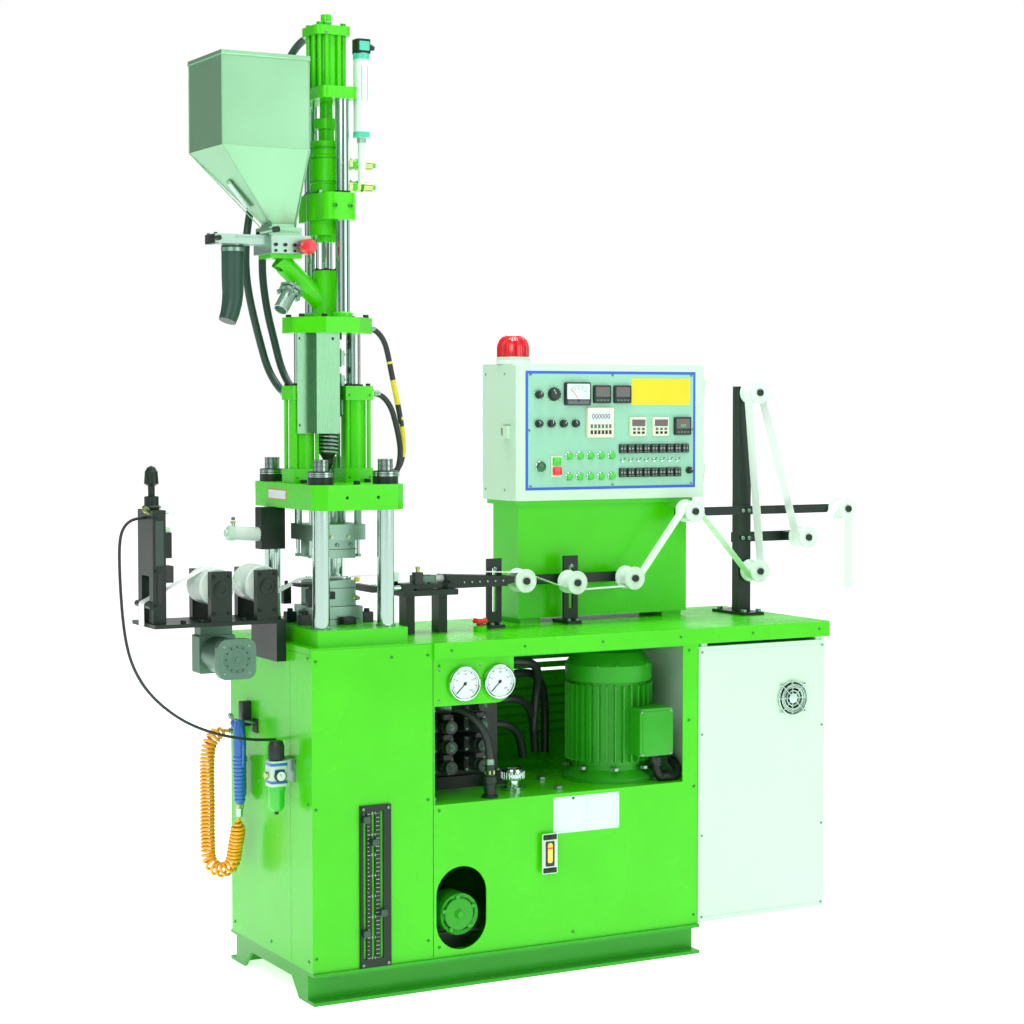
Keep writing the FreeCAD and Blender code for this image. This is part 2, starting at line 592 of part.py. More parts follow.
def build_upper_mould():
    """Upper mould half hung from the platen on four hangers, with its sprue bush."""
    bottom = "press_top + table_thick + mould_low + mould_gap"
    low = cut(box("tower_x - mould_width / 2", "tower_y - mould_depth / 2 + 10", bottom,
                  "mould_width", "mould_depth - 20", "upper_mould"),
              rod("tower_x", "tower_y", f"{bottom} - 1", "4", "upper_mould + 2"))
    bolster = cut(box("tower_x - mould_width / 2 - 22", "tower_y - mould_depth / 2",
                      f"{bottom} + upper_mould", "mould_width + 44", "mould_depth",
                      "platen_z - 40 - upper_mould - (" + bottom + ")"),
                  rod("tower_x", "tower_y", bottom, "14", "200"))
    hangers = []
    for side in (-1, 1):
        for end in (-1, 1):
            hangers.append(rod(f"tower_x + {side} * (mould_width / 2 + 8)",
                               f"tower_y + {end} * (mould_depth / 2 - 14)",
                               "platen_z - 40", "hanger_radius", "40"))
    return node("upper_mould", fuse(low, bolster, *hangers))


def build_lift_cylinders():
    """Two cylinders on the upper platen that raise and lower the injection carriage."""
    pieces = []
    base = "platen_z + platen_thick"
    for side in (-1, 1):
        x = f"tower_x + {side} * lift_pitch / 2"
        ends = [box(f"{x} - lift_square / 2", "tower_y - lift_square / 2", z,
                    "lift_square", "lift_square", "lift_cap")
                for z in (base, f"{base} + lift_height - lift_cap")]
        tube = rod(x, "tower_y", base, "lift_barrel", "lift_height")
        rods = [rod(f"{x} + {a} * (lift_square / 2 - 8)",
                    f"tower_y + {b} * (lift_square / 2 - 8)", base, "5",
                    "lift_height") for a in (-1, 1) for b in (-1, 1)]
        bore = rod(x, "tower_y", f"{base} + lift_cap", "lift_bore",
                   "lift_height - 2 * lift_cap")
        mouth = rod(x, "tower_y", f"{base} + lift_cap + 20", "lift_rod + fit",
                    "lift_height")
        ports = [rod(f"{x} + lift_square / 2 - 2", y, f"{base} + 17", "port_radius",
                     f"port_reach - ({x}) - lift_square / 2 + 2", "x")
                 for y in ("lift_port_y", "tower_port_y") if side > 0]
        pieces.append(cut(fuse(*ends, tube, *rods, *ports), bore, mouth))
    return node("lift_cylinders", group(*pieces))


# ---------------------------------------------------------------- injection carriage

def build_carriage_plate():
    """The eight-sided carriage plate with the two lift rods screwed into it."""
    x = "carriage_half_x"
    y = "carriage_half_y"
    c = "carriage_cut"
    points = ((f"-{x} + {c}", f"-{y}"), (f"{x} - {c}", f"-{y}"), (x, f"-{y} + {c}"),
              (x, f"{y} - {c}"), (f"{x} - {c}", y), (f"-{x} + {c}", y),
              (f"-{x}", f"{y} - {c}"), (f"-{x}", f"-{y} + {c}"))
    block = prism(points, "carriage_thick", "tower_x", "tower_y", "carriage_z")
    centre = rod("tower_x", "tower_y", "carriage_z - 1", "barrel_bore",
                 "carriage_thick + 2")
    rods = []
    for side in (-1, 1):
        rod_x = f"tower_x + {side} * lift_pitch / 2"
        low = "platen_z + platen_thick + lift_height - lift_cap - 40"
        rods.append(rod(rod_x, "tower_y", low, "lift_rod", f"carriage_z - ({low})"))
        rods.append(rod(rod_x, "tower_y", low, "lift_bore - fit", "20"))
    return node("carriage_plate", fuse(cut(block, centre), *rods))


def build_barrel():
    """The heated barrel: flange, heater bands, nozzle and nozzle coil, all turned."""
    top = "carriage_z - nozzle_z"
    points = [("barrel_bore", "72"), ("barrel_bore", top), ("barrel_radius + 8", top),
              ("barrel_radius + 8", f"{top} - 14")]
    for band in range(3):
        high = f"{top} - 20 - {band} * 62"
        points += [("barrel_radius - 2", f"{top} - 14") if band == 0 else
                   ("barrel_radius - 2", f"{high} + 6"),
                   ("barrel_radius - 2", high), ("barrel_radius + 3", high),
                   ("barrel_radius + 3", f"{high} - 54"),
                   ("barrel_radius - 2", f"{high} - 54")]
    points += [("barrel_radius - 2", "116"), ("19", "116"), ("19", "40"), ("13", "30"),
               ("13", "18"), ("4", "0"), ("2", "0"), ("2", "60")]
    return node("barrel", turned(points, "tower_x", "tower_y", "nozzle_z"))


def build_barrel_guard():
    """The folded sheet in front of the barrel, screwed up into the carriage plate."""
    t = "2"
    left = "tower_x - 97"
    mid = "tower_x - 61"
    right = "tower_x - 1"
    front = "guard_front"
    back = "guard_back"
    outer = ((left, back), (f"{mid}", back), (mid, front), (right, front), (right, back),
             (f"{right} - {t}", back), (f"{right} - {t}", f"{front} + {t}"),
             (f"{mid} + {t}", f"{front} + {t}"), (f"{mid} + {t}", f"{back} + {t}"),
             (left, f"{back} + {t}"))
    return node("barrel_guard", prism(outer, "carriage_z - guard_z", "0", "0", "guard_z"))


def build_feed_housing():
    """The round feed housing with its slanted throat and the throat's top flange."""
    base = "carriage_z + carriage_thick"
    case = rod("tower_x", "tower_y", base, "housing_radius", "housing_height")
    foot = rod("tower_x", "tower_y", base, "housing_radius + 8", "12")
    throat = slanted_throat("24")
    bore = rod("tower_x", "tower_y", f"{base} - 1", "barrel_bore", "housing_height + 2")
    flange = box("outlet_x - 36", "tower_y - 36", "slide_z - 10", "80", "72", "10")
    feed = slanted_throat("17")
    mouth = rod("outlet_x", "tower_y", "slide_z - 40", "17", "50")
    above = box("outlet_x - 60", "tower_y - 60", "slide_z", "160", "120", "60")
    return node("feed_housing", cut(fuse(case, foot, throat, flange), bore, feed, mouth,
                                    above))


def slanted_throat(radius):
    """A round bar from the hopper's outlet down to the middle of the feed housing."""
    item = doc.addObject("Part::Cylinder", "Throat")
    item.setExpression("Radius", bound(radius))
    run = "(tower_x - outlet_x)"
    drop = "(slide_z - carriage_z - carriage_thick - housing_height / 2 + 22)"
    item.setExpression("Height", bound(f"sqrt({run}^2 + {drop}^2)"))
    item.Placement = Placement(Vector(), Rotation(Vector(0, 1, 0), 90))
    item.setExpression("Placement.Rotation.Angle",
                       bound(f"90deg + atan2({drop}; {run})"))
    for axis, value, shift in zip("xyz", ("outlet_x", "tower_y", "slide_z - 12"), ORIGIN):
        item.setExpression(f"Placement.Base.{axis}", bound(f"{value} - ({shift})"))
    return item


def build_guide_columns():
    """Two chrome columns from the carriage plate up to the injection cylinder."""
    base = "carriage_z + carriage_thick"
    pieces = [rod(f"tower_x + {side} * column_dx", f"tower_y - {side} * column_dy", base,
                  "column_radius", f"cylinder_z - ({base})") for side in (-1, 1)]
    return node("guide_columns", group(*pieces))


def build_injection_cylinder():
    """The injection cylinder: two flanges, a tube and eight tie rods."""
    high = "cylinder_top"
    low_flange = slab("2 * flange_half", "2 * column_dy + 44", "cylinder_flange",
                      "tower_x - flange_half", "tower_y - column_dy - 22", "cylinder_z",
                      "16")
    tube = rod("tower_x", "tower_y", "cylinder_z", "cylinder_radius - 6",
               f"{high} - cylinder_z")
    top = slab("2 * flange_half", "2 * flange_half", "22", "tower_x - flange_half",
               "tower_y - flange_half", high, "14")
    stub = rod("tower_x", "tower_y", f"{high} + 22", "13", "31")
    rods = []
    for index in range(8):
        angle = math.radians(22.5 + 45 * index)
        rods.append(rod(f"tower_x + {math.cos(angle):.4f} * cylinder_radius",
                        f"tower_y + {math.sin(angle):.4f} * cylinder_radius",
                        "cylinder_z + 5", "6", f"{high} - cylinder_z"))
    bore = rod("tower_x", "tower_y", "cylinder_z + cylinder_flange", "cylinder_bore - 6",
               f"{high} - cylinder_z - cylinder_flange")
    mouth = rod("tower_x", "tower_y", "cylinder_z - 1", "rod_radius + fit", "60")
    return node("injection_cylinder", cut(fuse(low_flange, tube, top, stub, *rods), bore,
                                          mouth))


def build_transducer():
    """The linear transducer clamped beside the injection cylinder."""
    x = "tower_x + flange_half + 20"
    y = "tower_y - column_dy + 6"
    low = "cylinder_z - 88"
    pieces = [rod(x, y, low, "19", "200"),
              slab("34", "34", "34", f"{x} - 17", f"{y} - 17", f"{low} + 200", "3"),
              rod(x, y, f"{low} - 110", "9", "110"),
              box("tower_x + flange_half", f"{y} - 14", "cylinder_z + 4", "12", "28",
                  "18")]
    return node("transducer", fuse(*pieces))


def build_hopper_base():
    """The slide that the hopper stands on, its arm, its clamp knob and the drain tube."""
    block = box("outlet_x - 42", "tower_y - 56", "slide_z", "100", "112",
                "slide_thick - 12")
    arm = box("hopper_left + 10", "tower_y - 34", "slide_z + slide_thick - 34",
              "outlet_x - hopper_left - 52", "68", "22")
    mouth = rod("outlet_x", "tower_y", "slide_z - 1", "17", "slide_thick + 2")
    knob = turned((("0", "0"), ("9", "0"), ("9", "10"), ("16", "14"), ("16", "34"),
                   ("12", "40"), ("0", "40")), "outlet_x + 42", "tower_y - 56",
                  "slide_z + 16", "y")
    base = knob.Placement.Base
    knob.Placement = Placement(base, Rotation(Vector(1, 0, 0), 90))
    drain = rod("drain_x", "tower_y", "slide_z - 104", "24", "130")
    drain_hole = rod("drain_x", "tower_y", "slide_z - 110", "17", "170")
    return node("hopper_base", cut(fuse(block, arm, knob, drain), mouth, drain_hole))


def build_hopper():
    """The steel hopper: a straight box, four slopes to one side, and a square outlet."""
    def skin(gap):
        """The hopper's outside, or its inside where a gap is given."""
        wall = number("hopper_wall") * gap
        low = number("hopper_low")
        left = number("hopper_left") + wall
        right = number("hopper_right") - wall
        front = number("hopper_front") + wall
        back = number("hopper_back") - wall
        half = number("outlet_half") - wall
        cx = number("outlet_x")
        cy = number("tower_y")
        neck = number("outlet_z") + 14
        base = number("outlet_z") - gap
        top = number("hopper_high") + gap

        def ring(x0, x1, y0, y1, z):
            return Part.makePolygon([Vector(x0, y0, z), Vector(x1, y0, z),
                                     Vector(x1, y1, z), Vector(x0, y1, z),
                                     Vector(x0, y0, z)])
        rings = [ring(cx - half, cx + half, cy - half, cy + half, base),
                 ring(cx - half, cx + half, cy - half, cy + half, neck),
                 ring(left, right, front, back, low), ring(left, right, front, back, top)]
        return Part.makeLoft(rings, True, True)
    body = skin(0).cut(skin(1))
    x0 = number("outlet_x") - 42
    y0 = number("tower_y") - 42
    z0 = number("slide_z + slide_thick - 12")
    flange = Part.makeBox(84, 84, number("outlet_z") + 6 - z0, Vector(x0, y0, z0))
    half = number("outlet_half - hopper_wall")
    passage = Part.makeBox(2 * half, 2 * half, 60,
                           Vector(number("outlet_x") - half, number("tower_y") - half,
                                  z0 - 1))
    return node("hopper", solid_feature("hopper", body.fuse(flange).cut(passage)))


def build_hopper_lid():
    """The flat steel lid with a turned-down rim, which lifts off."""
    t = "1.5"
    lid = box(f"hopper_left - {t} - seat", f"hopper_front - {t} - seat",
              "hopper_high - 10", f"hopper_right - hopper_left + 2 * {t} + 2 * seat",
              f"hopper_back - hopper_front + 2 * {t} + 2 * seat", f"10 + {t}")
    room = box("hopper_left - seat", "hopper_front - seat", "hopper_high - 11",
               "hopper_right - hopper_left + 2 * seat",
               "hopper_back - hopper_front + 2 * seat", "11")
    return node("hopper_lid", cut(lid, room))


def build_crosshead():
    """The crosshead that slides on the columns, and the ram's rod above it."""
    reach = "column_dy + column_radius + 14"
    arm = slab("2 * (column_dx + column_radius + 12)", f"2 * ({reach})",
               "crosshead_thick", "tower_x - column_dx - column_radius - 12",
               f"tower_y - ({reach})", "crosshead_z", "24")
    hub = rod("tower_x", "tower_y", "crosshead_z", "motor_case + 8", "crosshead_thick")
    stub = rod("tower_x", "tower_y", "crosshead_z - 34", "motor_case", "34")
    nut = rod("tower_x", "tower_y", "crosshead_z - 50", "24", "16")
    holes = [rod(f"tower_x + {side} * column_dx", f"tower_y - {side} * column_dy",
                 "crosshead_z - 60", "column_radius + fit", "crosshead_thick + 120")
             for side in (-1, 1)]
    bore = rod("tower_x", "tower_y", "crosshead_z - 60", "screw_radius + fit",
               "crosshead_thick + 70")
    return node("crosshead", cut(fuse(arm, hub, stub, nut), bore, *holes))


def build_hydraulic_motor():
    """The screw's hydraulic motor with its ports, its bridge and the ram's rod."""
    low = "crosshead_z + crosshead_thick"
    case = turned((("0", "40"), ("screw_radius + 4", "40"), ("screw_radius + 4", "0"),
                   ("motor_case - 2", "0"), ("motor_case - 2", "24"), ("motor_case", "26"),
                   ("motor_case", "92"), ("motor_case - 3", "95"),
                   ("motor_case - 3", f"drive_high - ({low})"),
                   ("20", f"drive_high - ({low})"),
                   ("20", f"drive_high - ({low}) + 30"),
                   ("30", f"drive_high - ({low}) + 30"),
                   ("30", f"drive_high - ({low}) + 54"),
                   ("rod_radius", f"drive_high - ({low}) + 54"),
                   ("rod_radius", f"cylinder_top - 40 - ({low})"),
                   ("cylinder_bore - 6 - fit", f"cylinder_top - 40 - ({low})"),
                   ("cylinder_bore - 6 - fit", f"cylinder_top - 20 - ({low})"),
                   ("0", f"cylinder_top - 20 - ({low})")), "tower_x", "tower_y", low)
    ports = []
    for height in (25, 78):
        ports.append(rod("tower_x + 30", "tower_y + 6", f"{low} + {height}", "12", "56",
                         "x"))
        ports.append(rod("tower_x + 86", "tower_y + 6", f"{low} + {height}", "7", "44",
                         "x"))
    return node("hydraulic_motor", fuse(case, *ports))


def build_feed_screw():
    """The plasticising screw: shank in the crosshead and a plain bar for its flight."""
    tip = "nozzle_z + 130"
    top = "crosshead_z + crosshead_thick + 38"
    points = (("0", "0"), ("screw_radius - 1", "18"), ("screw_radius - 1", "300"),
              ("screw_radius", "300"), ("screw_radius", f"{top} - ({tip})"),
              ("0", f"{top} - ({tip})"))
    return node("feed_screw", turned(points, "tower_x", "tower_y", tip))


# ---------------------------------------------------------------- control pedestal

def build_pedestal():
    """The green stand between the bench and the control box."""
    feet = [box(x, "pedestal_front + 10", "bench_top", "60", "pedestal_back - pedestal_front - 20",
                "pedestal_low - bench_top")
            for x in ("pedestal_left + 10", "pedestal_right - 70")]
    case = shell("pedestal_left", "pedestal_front", "pedestal_low",
                 "pedestal_right - pedestal_left", "pedestal_back - pedestal_front",
                 "pedestal_high - pedestal_low", "sheet")
    top = box("pedestal_left - 12", "pedestal_front - 12", "pedestal_high",
              "pedestal_right - pedestal_left + 24", "pedestal_back - pedestal_front + 24",
              "panel_low - pedestal_high")
    return node("pedestal", fuse(case, top, *feet))


def build_control_box():
    """The white control box, open at the front, with hinge pins and the lamp on top."""
    t = "sheet"
    depth = "panel_back - panel_front - door_thick"
    width = "panel_right - panel_left"
    high = "panel_high - panel_low"
    front = "panel_front + door_thick"
    case = cut(box("panel_left", front, "panel_low", width, depth, high),
               box(f"panel_left + {t}", f"{front} - 1", f"panel_low + {t}",
                   f"{width} - 2 * {t}", f"{depth} - {t} + 1", f"{high} - 2 * {t}"))
    rim = cut(box("panel_left", front, "panel_low", width, "sheet", high),
              box("panel_left + 16", f"{front} - 1", "panel_low + 16", f"{width} - 32",
                  "sheet + 2", f"{high} - 32"))
    latch = box("panel_left - 12", f"{front} + 4", "panel_low + 160", "12", "26", "34")
    ears = [box("panel_right", f"{front} - hinge_radius + 3", z, "14", "20", "24")
            for z in ("panel_low + 40", "panel_high - 84")]
    pins = [rod("panel_right + 8", f"{front} + 4", f"{z} + 20", "hinge_radius - 1.5", "24")
            for z in ("panel_low + 40", "panel_high - 84")]
    lamp = turned((("0", "0"), ("beacon_radius", "0"), ("beacon_radius", "16"),
                   ("beacon_radius - 3", "20"), ("beacon_radius - 3", "42"),
                   ("beacon_radius - 10", "60"), ("beacon_radius - 24", "72"),
                   ("0", "75")), "beacon_x", "beacon_y", "panel_high")
    return node("control_box", group(fuse(case, rim, latch, *ears, *pins), lamp))


def build_control_door():
    """The door that carries the panel, on two lift-off hinges at its right side."""
    width = "panel_right - panel_left"
    skin = slab(width, "panel_high - panel_low", "door_thick - seat", "panel_left",
                "panel_front", "panel_low", "6", "y")
    hollow = slab(f"{width} - 2 * sheet", "panel_high - panel_low - 2 * sheet",
                  "door_thick", "panel_left + sheet", "panel_front + sheet",
                  "panel_low + sheet", "4", "y")
    door = cut(skin, hollow)
    pin_y = "panel_front + door_thick + 4"
    knuckles = []
    for z in ("panel_low + 64.3", "panel_high - 59.7"):
        barrel = fuse(rod("panel_right + 8", pin_y, z, "hinge_radius + 2", "22"),
                      box("panel_right - 4", "panel_front + 6", z, "10",
                          "door_thick - 6 - seat", "22"),
                      box("panel_right + 1", "panel_front + 6", z, "8",
                          "door_thick - 2", "22"))
        knuckles.append(cut(barrel, rod("panel_right + 8", pin_y, f"{z} - 1",
                                        "hinge_radius - 1.5 + fit", "24")))
    return node("control_door", fuse(door, *knuckles))


def build_door_controls():
    """The meter, timers, counter, modules, switches and buttons, as seated blocks."""
    face = "panel_front"
    left = "panel_left + field_inset_x"
    low = "panel_low + field_inset_z"
    rows = ((111, 229, 76, 66, 12), (197, 237, 48, 44, 8), (250, 237, 48, 44, 8),
            (179, 127, 64, 74, 12), (280, 142, 40, 46, 10), (335, 142, 40, 46, 10),
            (388, 142, 46, 46, 14), (59, 32, 25, 50, 12))
    blocks = []
    for x, z, wide, tall, deep in rows:
        blocks.append(box(f"{left} + {x}", f"{face} - {deep}", f"{low} + {z}", wide, deep,
                          tall))
    for index in range(5):
        for height in (64, 12):
            blocks.append(rod(f"{left} + 101 + {index} * button_pitch", f"{face} - 12",
                              f"{low} + {height} + button_radius", "button_radius",
                              "12", "y"))
    for index in range(4):
        blocks.append(rod(f"{left} + 30 + {index} * selector_pitch", f"{face} - 16",
                          f"{low} + 172", "button_radius", "16", "y"))
    return node("door_controls", group(*blocks))


def build_emergency_stop():
    """The red mushroom button on its round base on the bench."""
    points = (("0", "0"), ("stop_stem", "0"), ("stop_stem", "14"), ("19", "16"),
              ("20", "22"), ("16", "28"), ("0", "30"))
    return node("emergency_stop", turned(points, "stop_x", "stop_y", "bench_top + 6"))


# ---------------------------------------------------------------- tape path

def build_idler(index, x, z):
    """One flanged idler spool, bored for its pin."""
    edge = "spool_length"
    points = (("axle_radius + fit", "0"), ("spool_radius", "0"), ("spool_radius", "4"),
              ("spool_core", "6"), ("spool_core", f"{edge} - 6"),
              ("spool_radius", f"{edge} - 4"), ("spool_radius", edge),
              ("axle_radius + fit", edge))
    spool = turned(points, x, "tower_y - spool_length / 2", z, "y")
    return node(f"idler_{index}", spool)


def idler_pin(x, z, y_end):
    """A pin with a head in front of its idler, back to what carries it."""
    start = "tower_y - spool_length / 2 - 2"
    return fuse(rod(x, start, z, "axle_radius", f"{y_end} - ({start})", "y"),
                rod(x, f"{start} - 4", z, "9", "4 + 2 - seat", "y"))


BRACKETS = (618, 843)


def build_tape_stands():
    """Two slotted brackets with their bar, and the mast with its two arms."""
    back = "bracket_y"
    pieces = []
    for x in BRACKETS:
        left_side = f"{x} - bracket_width / 2"
        foot = box(left_side, f"{back} - 20", "bench_top", "bracket_width",
                   "bracket_foot", "bracket_thick")
        plate = cut(box(left_side, back, "bench_top", "bracket_width", "bracket_thick",
                        "bracket_height"),
                    box(f"{x} - bracket_slot / 2", f"{back} - 1", "bench_top + 40",
                        "bracket_slot", "bracket_thick + 2", "bracket_slot_rise"))
        pieces.append(fuse(foot, plate))
    bar = box(f"{BRACKETS[0]} - bracket_width / 2", f"{back} + bracket_thick",
              "bracket_bar_z", "442", "bracket_thick", "bracket_bar_height")
    pins = [idler_pin(x, z, f"{back} + bracket_thick") for x, z, _ in IDLERS[:3]]
    pins[1] = idler_pin(IDLERS[1][0], IDLERS[1][1], back)
    left = fuse(*pieces, bar, *pins)
    post = box("post_x - post_width_x / 2", back, "bench_top", "post_width_x", "30",
               "post_height")
    foot = box("post_x - 34", f"{back} - 45", "bench_top", "68", "150", "bracket_thick")
    arm_high = box("1160", f"{back} - arm_thick", "1104", "556", "arm_thick", "23")
    arm_low = box("1366", f"{back} + 30", "1028", "216", "6", "27")
    web = [box("1530", f"{back} + 0.0", "1030", "24", "36", "23")]
    mast_pins = [idler_pin(IDLERS[3][0], IDLERS[3][1], f"{back} - arm_thick"),
                 idler_pin(IDLERS[4][0], IDLERS[4][1], back),
                 idler_pin(IDLERS[5][0], IDLERS[5][1], back),
                 idler_pin(IDLERS[6][0], IDLERS[6][1], f"{back} + 30"),
                 idler_pin(IDLERS[7][0], IDLERS[7][1], f"{back} - arm_thick")]
    right = fuse(post, foot, arm_high, arm_low, *web, *mast_pins)
    return node("tape_stands", group(left, right))


def build_tape_feeder():
    """The tape guide table and its twin-rod cylinder, on brackets from the bench."""
    x0 = "tower_x + feeder_offset"
    top_z = "feeder_z + feeder_thick"
    bed = box(x0, "tower_y - feeder_depth / 2", "feeder_z", "feeder_length",
              "feeder_depth", "feeder_thick")
    top = box(f"{x0} + 20", "tower_y - 40", f"{top_z} + 4", "90", "80", "10")
    legs = [box(f"{x0} + {dx}", "tower_y - feeder_leg_depth / 2", "bench_top",
                "feeder_leg", "feeder_leg_depth", "feeder_z - bench_top")
            for dx in (20, 110)]
    rods = [rod("tower_x + 96", f"tower_y + {side} * feeder_rod_y", "feeder_rod_z",
                "feeder_rod_radius", "90", "x") for side in (-1, 1)]
    head = box("tower_x + 92", "tower_y - feeder_rod_y - 10", top_z, "16",
               "2 * feeder_rod_y + 20", "16")
    blocks = [box(f"{x0} - 6", f"tower_y + {side} * feeder_rod_y - 10",
                  "feeder_rod_z - 16", "30", "20", "26") for side in (-1, 1)]
    spacers = [box(f"{x0} + 40", f"tower_y + {dy}", top_z, "40", "10", "4")
               for dy in (-40, 30)]
    guide = prism((("0", "0"), ("150", "0"), ("190", "8"), ("190", "24"), ("0", "34")),
                  "60", f"{x0} + 130", "tower_y - 30", top_z, "y")
    return node("tape_feeder", fuse(bed, top, *legs, *rods, head, *blocks, *spacers,
                                    guide))


def build_pull_roller(index, x, z):
    """One knurled pull roller bored for its shaft."""
    points = (("axle_radius + fit + 4", "0"), ("roller_radius - 3", "0"),
              ("roller_radius", "3"), ("roller_radius", "roller_length - 3"),
              ("roller_radius - 3", "roller_length"),
              ("axle_radius + fit + 4", "roller_length"))
    roller = turned(points, x, "tower_y - roller_length / 2", z, "y")
    return node(f"pull_roller_{index}", roller)


def build_puller_frame():
    """The puller's plate, bearing blocks, shafts, slotted column and tension handle."""
    front = "puller_front"
    plate = box("puller_left", front, "puller_z - puller_plate", "-puller_left",
                "puller_depth", "puller_plate")
    wall = box("-wall_thick", front, "puller_z - wall_drop", "wall_thick",
               "puller_depth", "wall_drop - puller_plate")
    pieces = [plate, wall]
    for x, z, _ in PULL_ROLLERS:
        for y in (f"{front} + 4", f"tower_y + roller_length / 2 + 6"):
            pieces.append(box(f"{x} - bearing_width / 2", y, "puller_z",
                              "bearing_width", "bearing_depth", "bearing_height"))
        pieces.append(rod(x, f"{front} + 2", z, "axle_radius + 4",
                          "tower_y + roller_length / 2 + 32 - puller_front", "y"))
    front_edge = "tower_y - column_depth / 2"
    cheek = [box("column_left", y, "puller_z", "column_width", "cheek_depth",
                 "column_rise")
             for y in (front_edge, "tower_y + column_depth / 2 - cheek_depth")]
    head = box("column_left", front_edge, "puller_z + column_rise - column_head",
               "column_width", "column_depth", "column_head")
    guide = rod("column_left - 2", front_edge, "puller_z + guide_rise", "guide_radius",
                "column_depth", "y")
    grip_x = "column_left + column_width / 2"
    handle = turned((("0", "0"), ("17", "0"), ("17", "30"), ("8", "32"), ("8", "54"),
                     ("17", "60"), ("15", "88"), ("9", "98"), ("0", "102")),
                    grip_x, "tower_y", "puller_z + column_rise")
    valve = box("column_left + column_width", "tower_y - 20", "puller_z + 150", "26",
                "40", "60")
    return node("puller_frame", fuse(*pieces, *cheek, head, guide, handle, valve))


def build_puller_motor():
    """The gearmotor below the plate: square gearhead, round motor and end cap."""
    x = "gearmotor_x"
    z = "gearmotor_z"
    head = slab("gearhead_side", "gearhead_side", "gearhead_depth",
                f"{x} - gearhead_side / 2", "puller_front + 60",
                f"{z} - gearhead_side / 2", "4", "y")
    body = rod(x, "puller_front - 48", z, "gear_body_radius", "110", "y")
    cap = slab("gear_cap_side", "gear_cap_side", "gear_cap_depth",
               f"{x} - gear_cap_side / 2", "puller_front - 66",
               f"{z} - gear_cap_side / 2", "22", "y")
    hanger = box(f"{x} - 40", "puller_front + 66", f"{z} + gearhead_side / 2 - 1", "80",
                 "40", f"puller_z - puller_plate - {z} - gearhead_side / 2 + 1")
    return node("puller_motor", fuse(head, body, cap, hanger))


def arc_path(points):
    """Straight runs and tangent arcs through a list of route points, as one wire."""
    points = [Vector(*p) for p in points]
    edges = []
    radii = []
    length = 0
    start = points[0]
    for before, at, after in zip(points, points[1:], points[2:]):
        back = (before - at)
        ahead = (after - at)
        half = (math.pi - back.getAngle(ahead)) / 2
        reach = 0.45 * min(back.Length, ahead.Length)
        radius = reach / math.tan(half)
        radii.append(round(radius, 1))
        back.normalize()
        ahead.normalize()
        first = at + back * reach
        last = at + ahead * reach
        bisector = (back + ahead).normalize()
        middle = at + bisector * (radius / math.cos(half) - radius)
        edges.append(Part.LineSegment(start, first).toShape())
        edges.append(Part.Arc(first, middle, last).toShape())
        length += (first - start).Length + 2 * half * radius
        start = last
    edges.append(Part.LineSegment(start, points[-1]).toShape())
    length += (points[-1] - start).Length
    return Part.Wire(edges), length, radii


def cord(name, points, diameter):
    """A round cord's solid along its route, checked against its section and length."""
    wire, length, radii = arc_path(points)
    way = wire.Edges[0].tangentAt(wire.Edges[0].FirstParameter)
    ring = Part.Wire(Part.makeCircle(diameter / 2, wire.Edges[0].Vertexes[0].Point, way))
    tube = wire.makePipeShell([ring], True, False)
    share = tube.Volume / (math.pi * diameter ** 2 / 4 * length)
    print(f"{name}: {length:.0f} mm, volume share {share:.4f}, radii {radii}")
    return tube


LOOP_ROUTE = ((-320.3, 228, 1138), (-346, 226, 1137), (-367, 222, 1126), (-381, 217, 1107),
              (-388, 211, 1080), (-391, 204, 1044), (-392, 198, 1000), (-391, 193, 950),
              (-388, 190, 900), (-382, 188, 852), (-370, 188, 806), (-350, 188, 764),
              (-322, 188, 726), (-286, 188, 692), (-244, 190, 662), (-196, 194, 638),
              (-142, 200, 619), (-86, 207, 606), (-40, 214, 599), (-0.3, 218, 597))
CURLY_ROUTE = ((-34.4, 440, 592), (-56, 440, 592), (-76, 440, 578), (-88, 440, 556),
               (-91, 440, 516), (-91, 440.5, 464), (-90, 440, 410), (-91, 441, 362),
               (-90, 440, 318), (-90, 440, 281.6), (-84.4, 431.4, 263.6),
               (-74.6, 416.2, 253.3), (-63.4, 398.8, 253.3), (-53.6, 383.6, 263.6),
               (-48, 375, 281.6), (-46.5, 368, 316), (-43.5, 356, 352), (-43, 350, 392))
BAY_HOSE_ROUTE = ((486, 36, 525.3), (486.5, 37, 569), (474, 49.4, 613), (452, 74, 646),
                  (424.5, 104.7, 662), (400, 131.5, 663))
CYLINDER_HOSE_ROUTE = (
    (130, 275.8, 2293), (130, 317, 2292), (120, 354, 2275), (110, 383, 2244),
    (98, 398, 2204), (86, 402, 2160), (73, 401, 2112), (58, 397, 2058), (43, 392, 2002),
    (28, 388, 1946), (13, 384, 1892), (1, 381, 1838), (-5, 380, 1782), (-5, 380, 1728),
    (2, 381, 1676), (13, 382, 1627), (25, 382, 1581), (36, 381.3, 1540.6),
    (44, 375.7, 1505), (51, 358.8, 1473), (56, 332.5, 1448.6), (59.5, 299.6, 1430),
    (60, 265.2, 1429))
FLANGE_HOSE_ROUTE = (
    (150, 312.6, 2142), (150, 350, 2141), (143, 383, 2127), (136, 407, 2100),
    (126, 418, 2064), (112, 419, 2022), (96, 415, 1976), (79, 409, 1928),
    (63, 402, 1878), (50, 396, 1826), (43, 391, 1772), (42, 388, 1716), (48, 386, 1660),
    (57, 384, 1610), (66, 382.5, 1574), (74, 381.3, 1540.6), (81, 375.7, 1505),
    (86, 358.8, 1473), (90, 332.5, 1448.6), (92.2, 299.6, 1430), (92.5, 265.2, 1429))
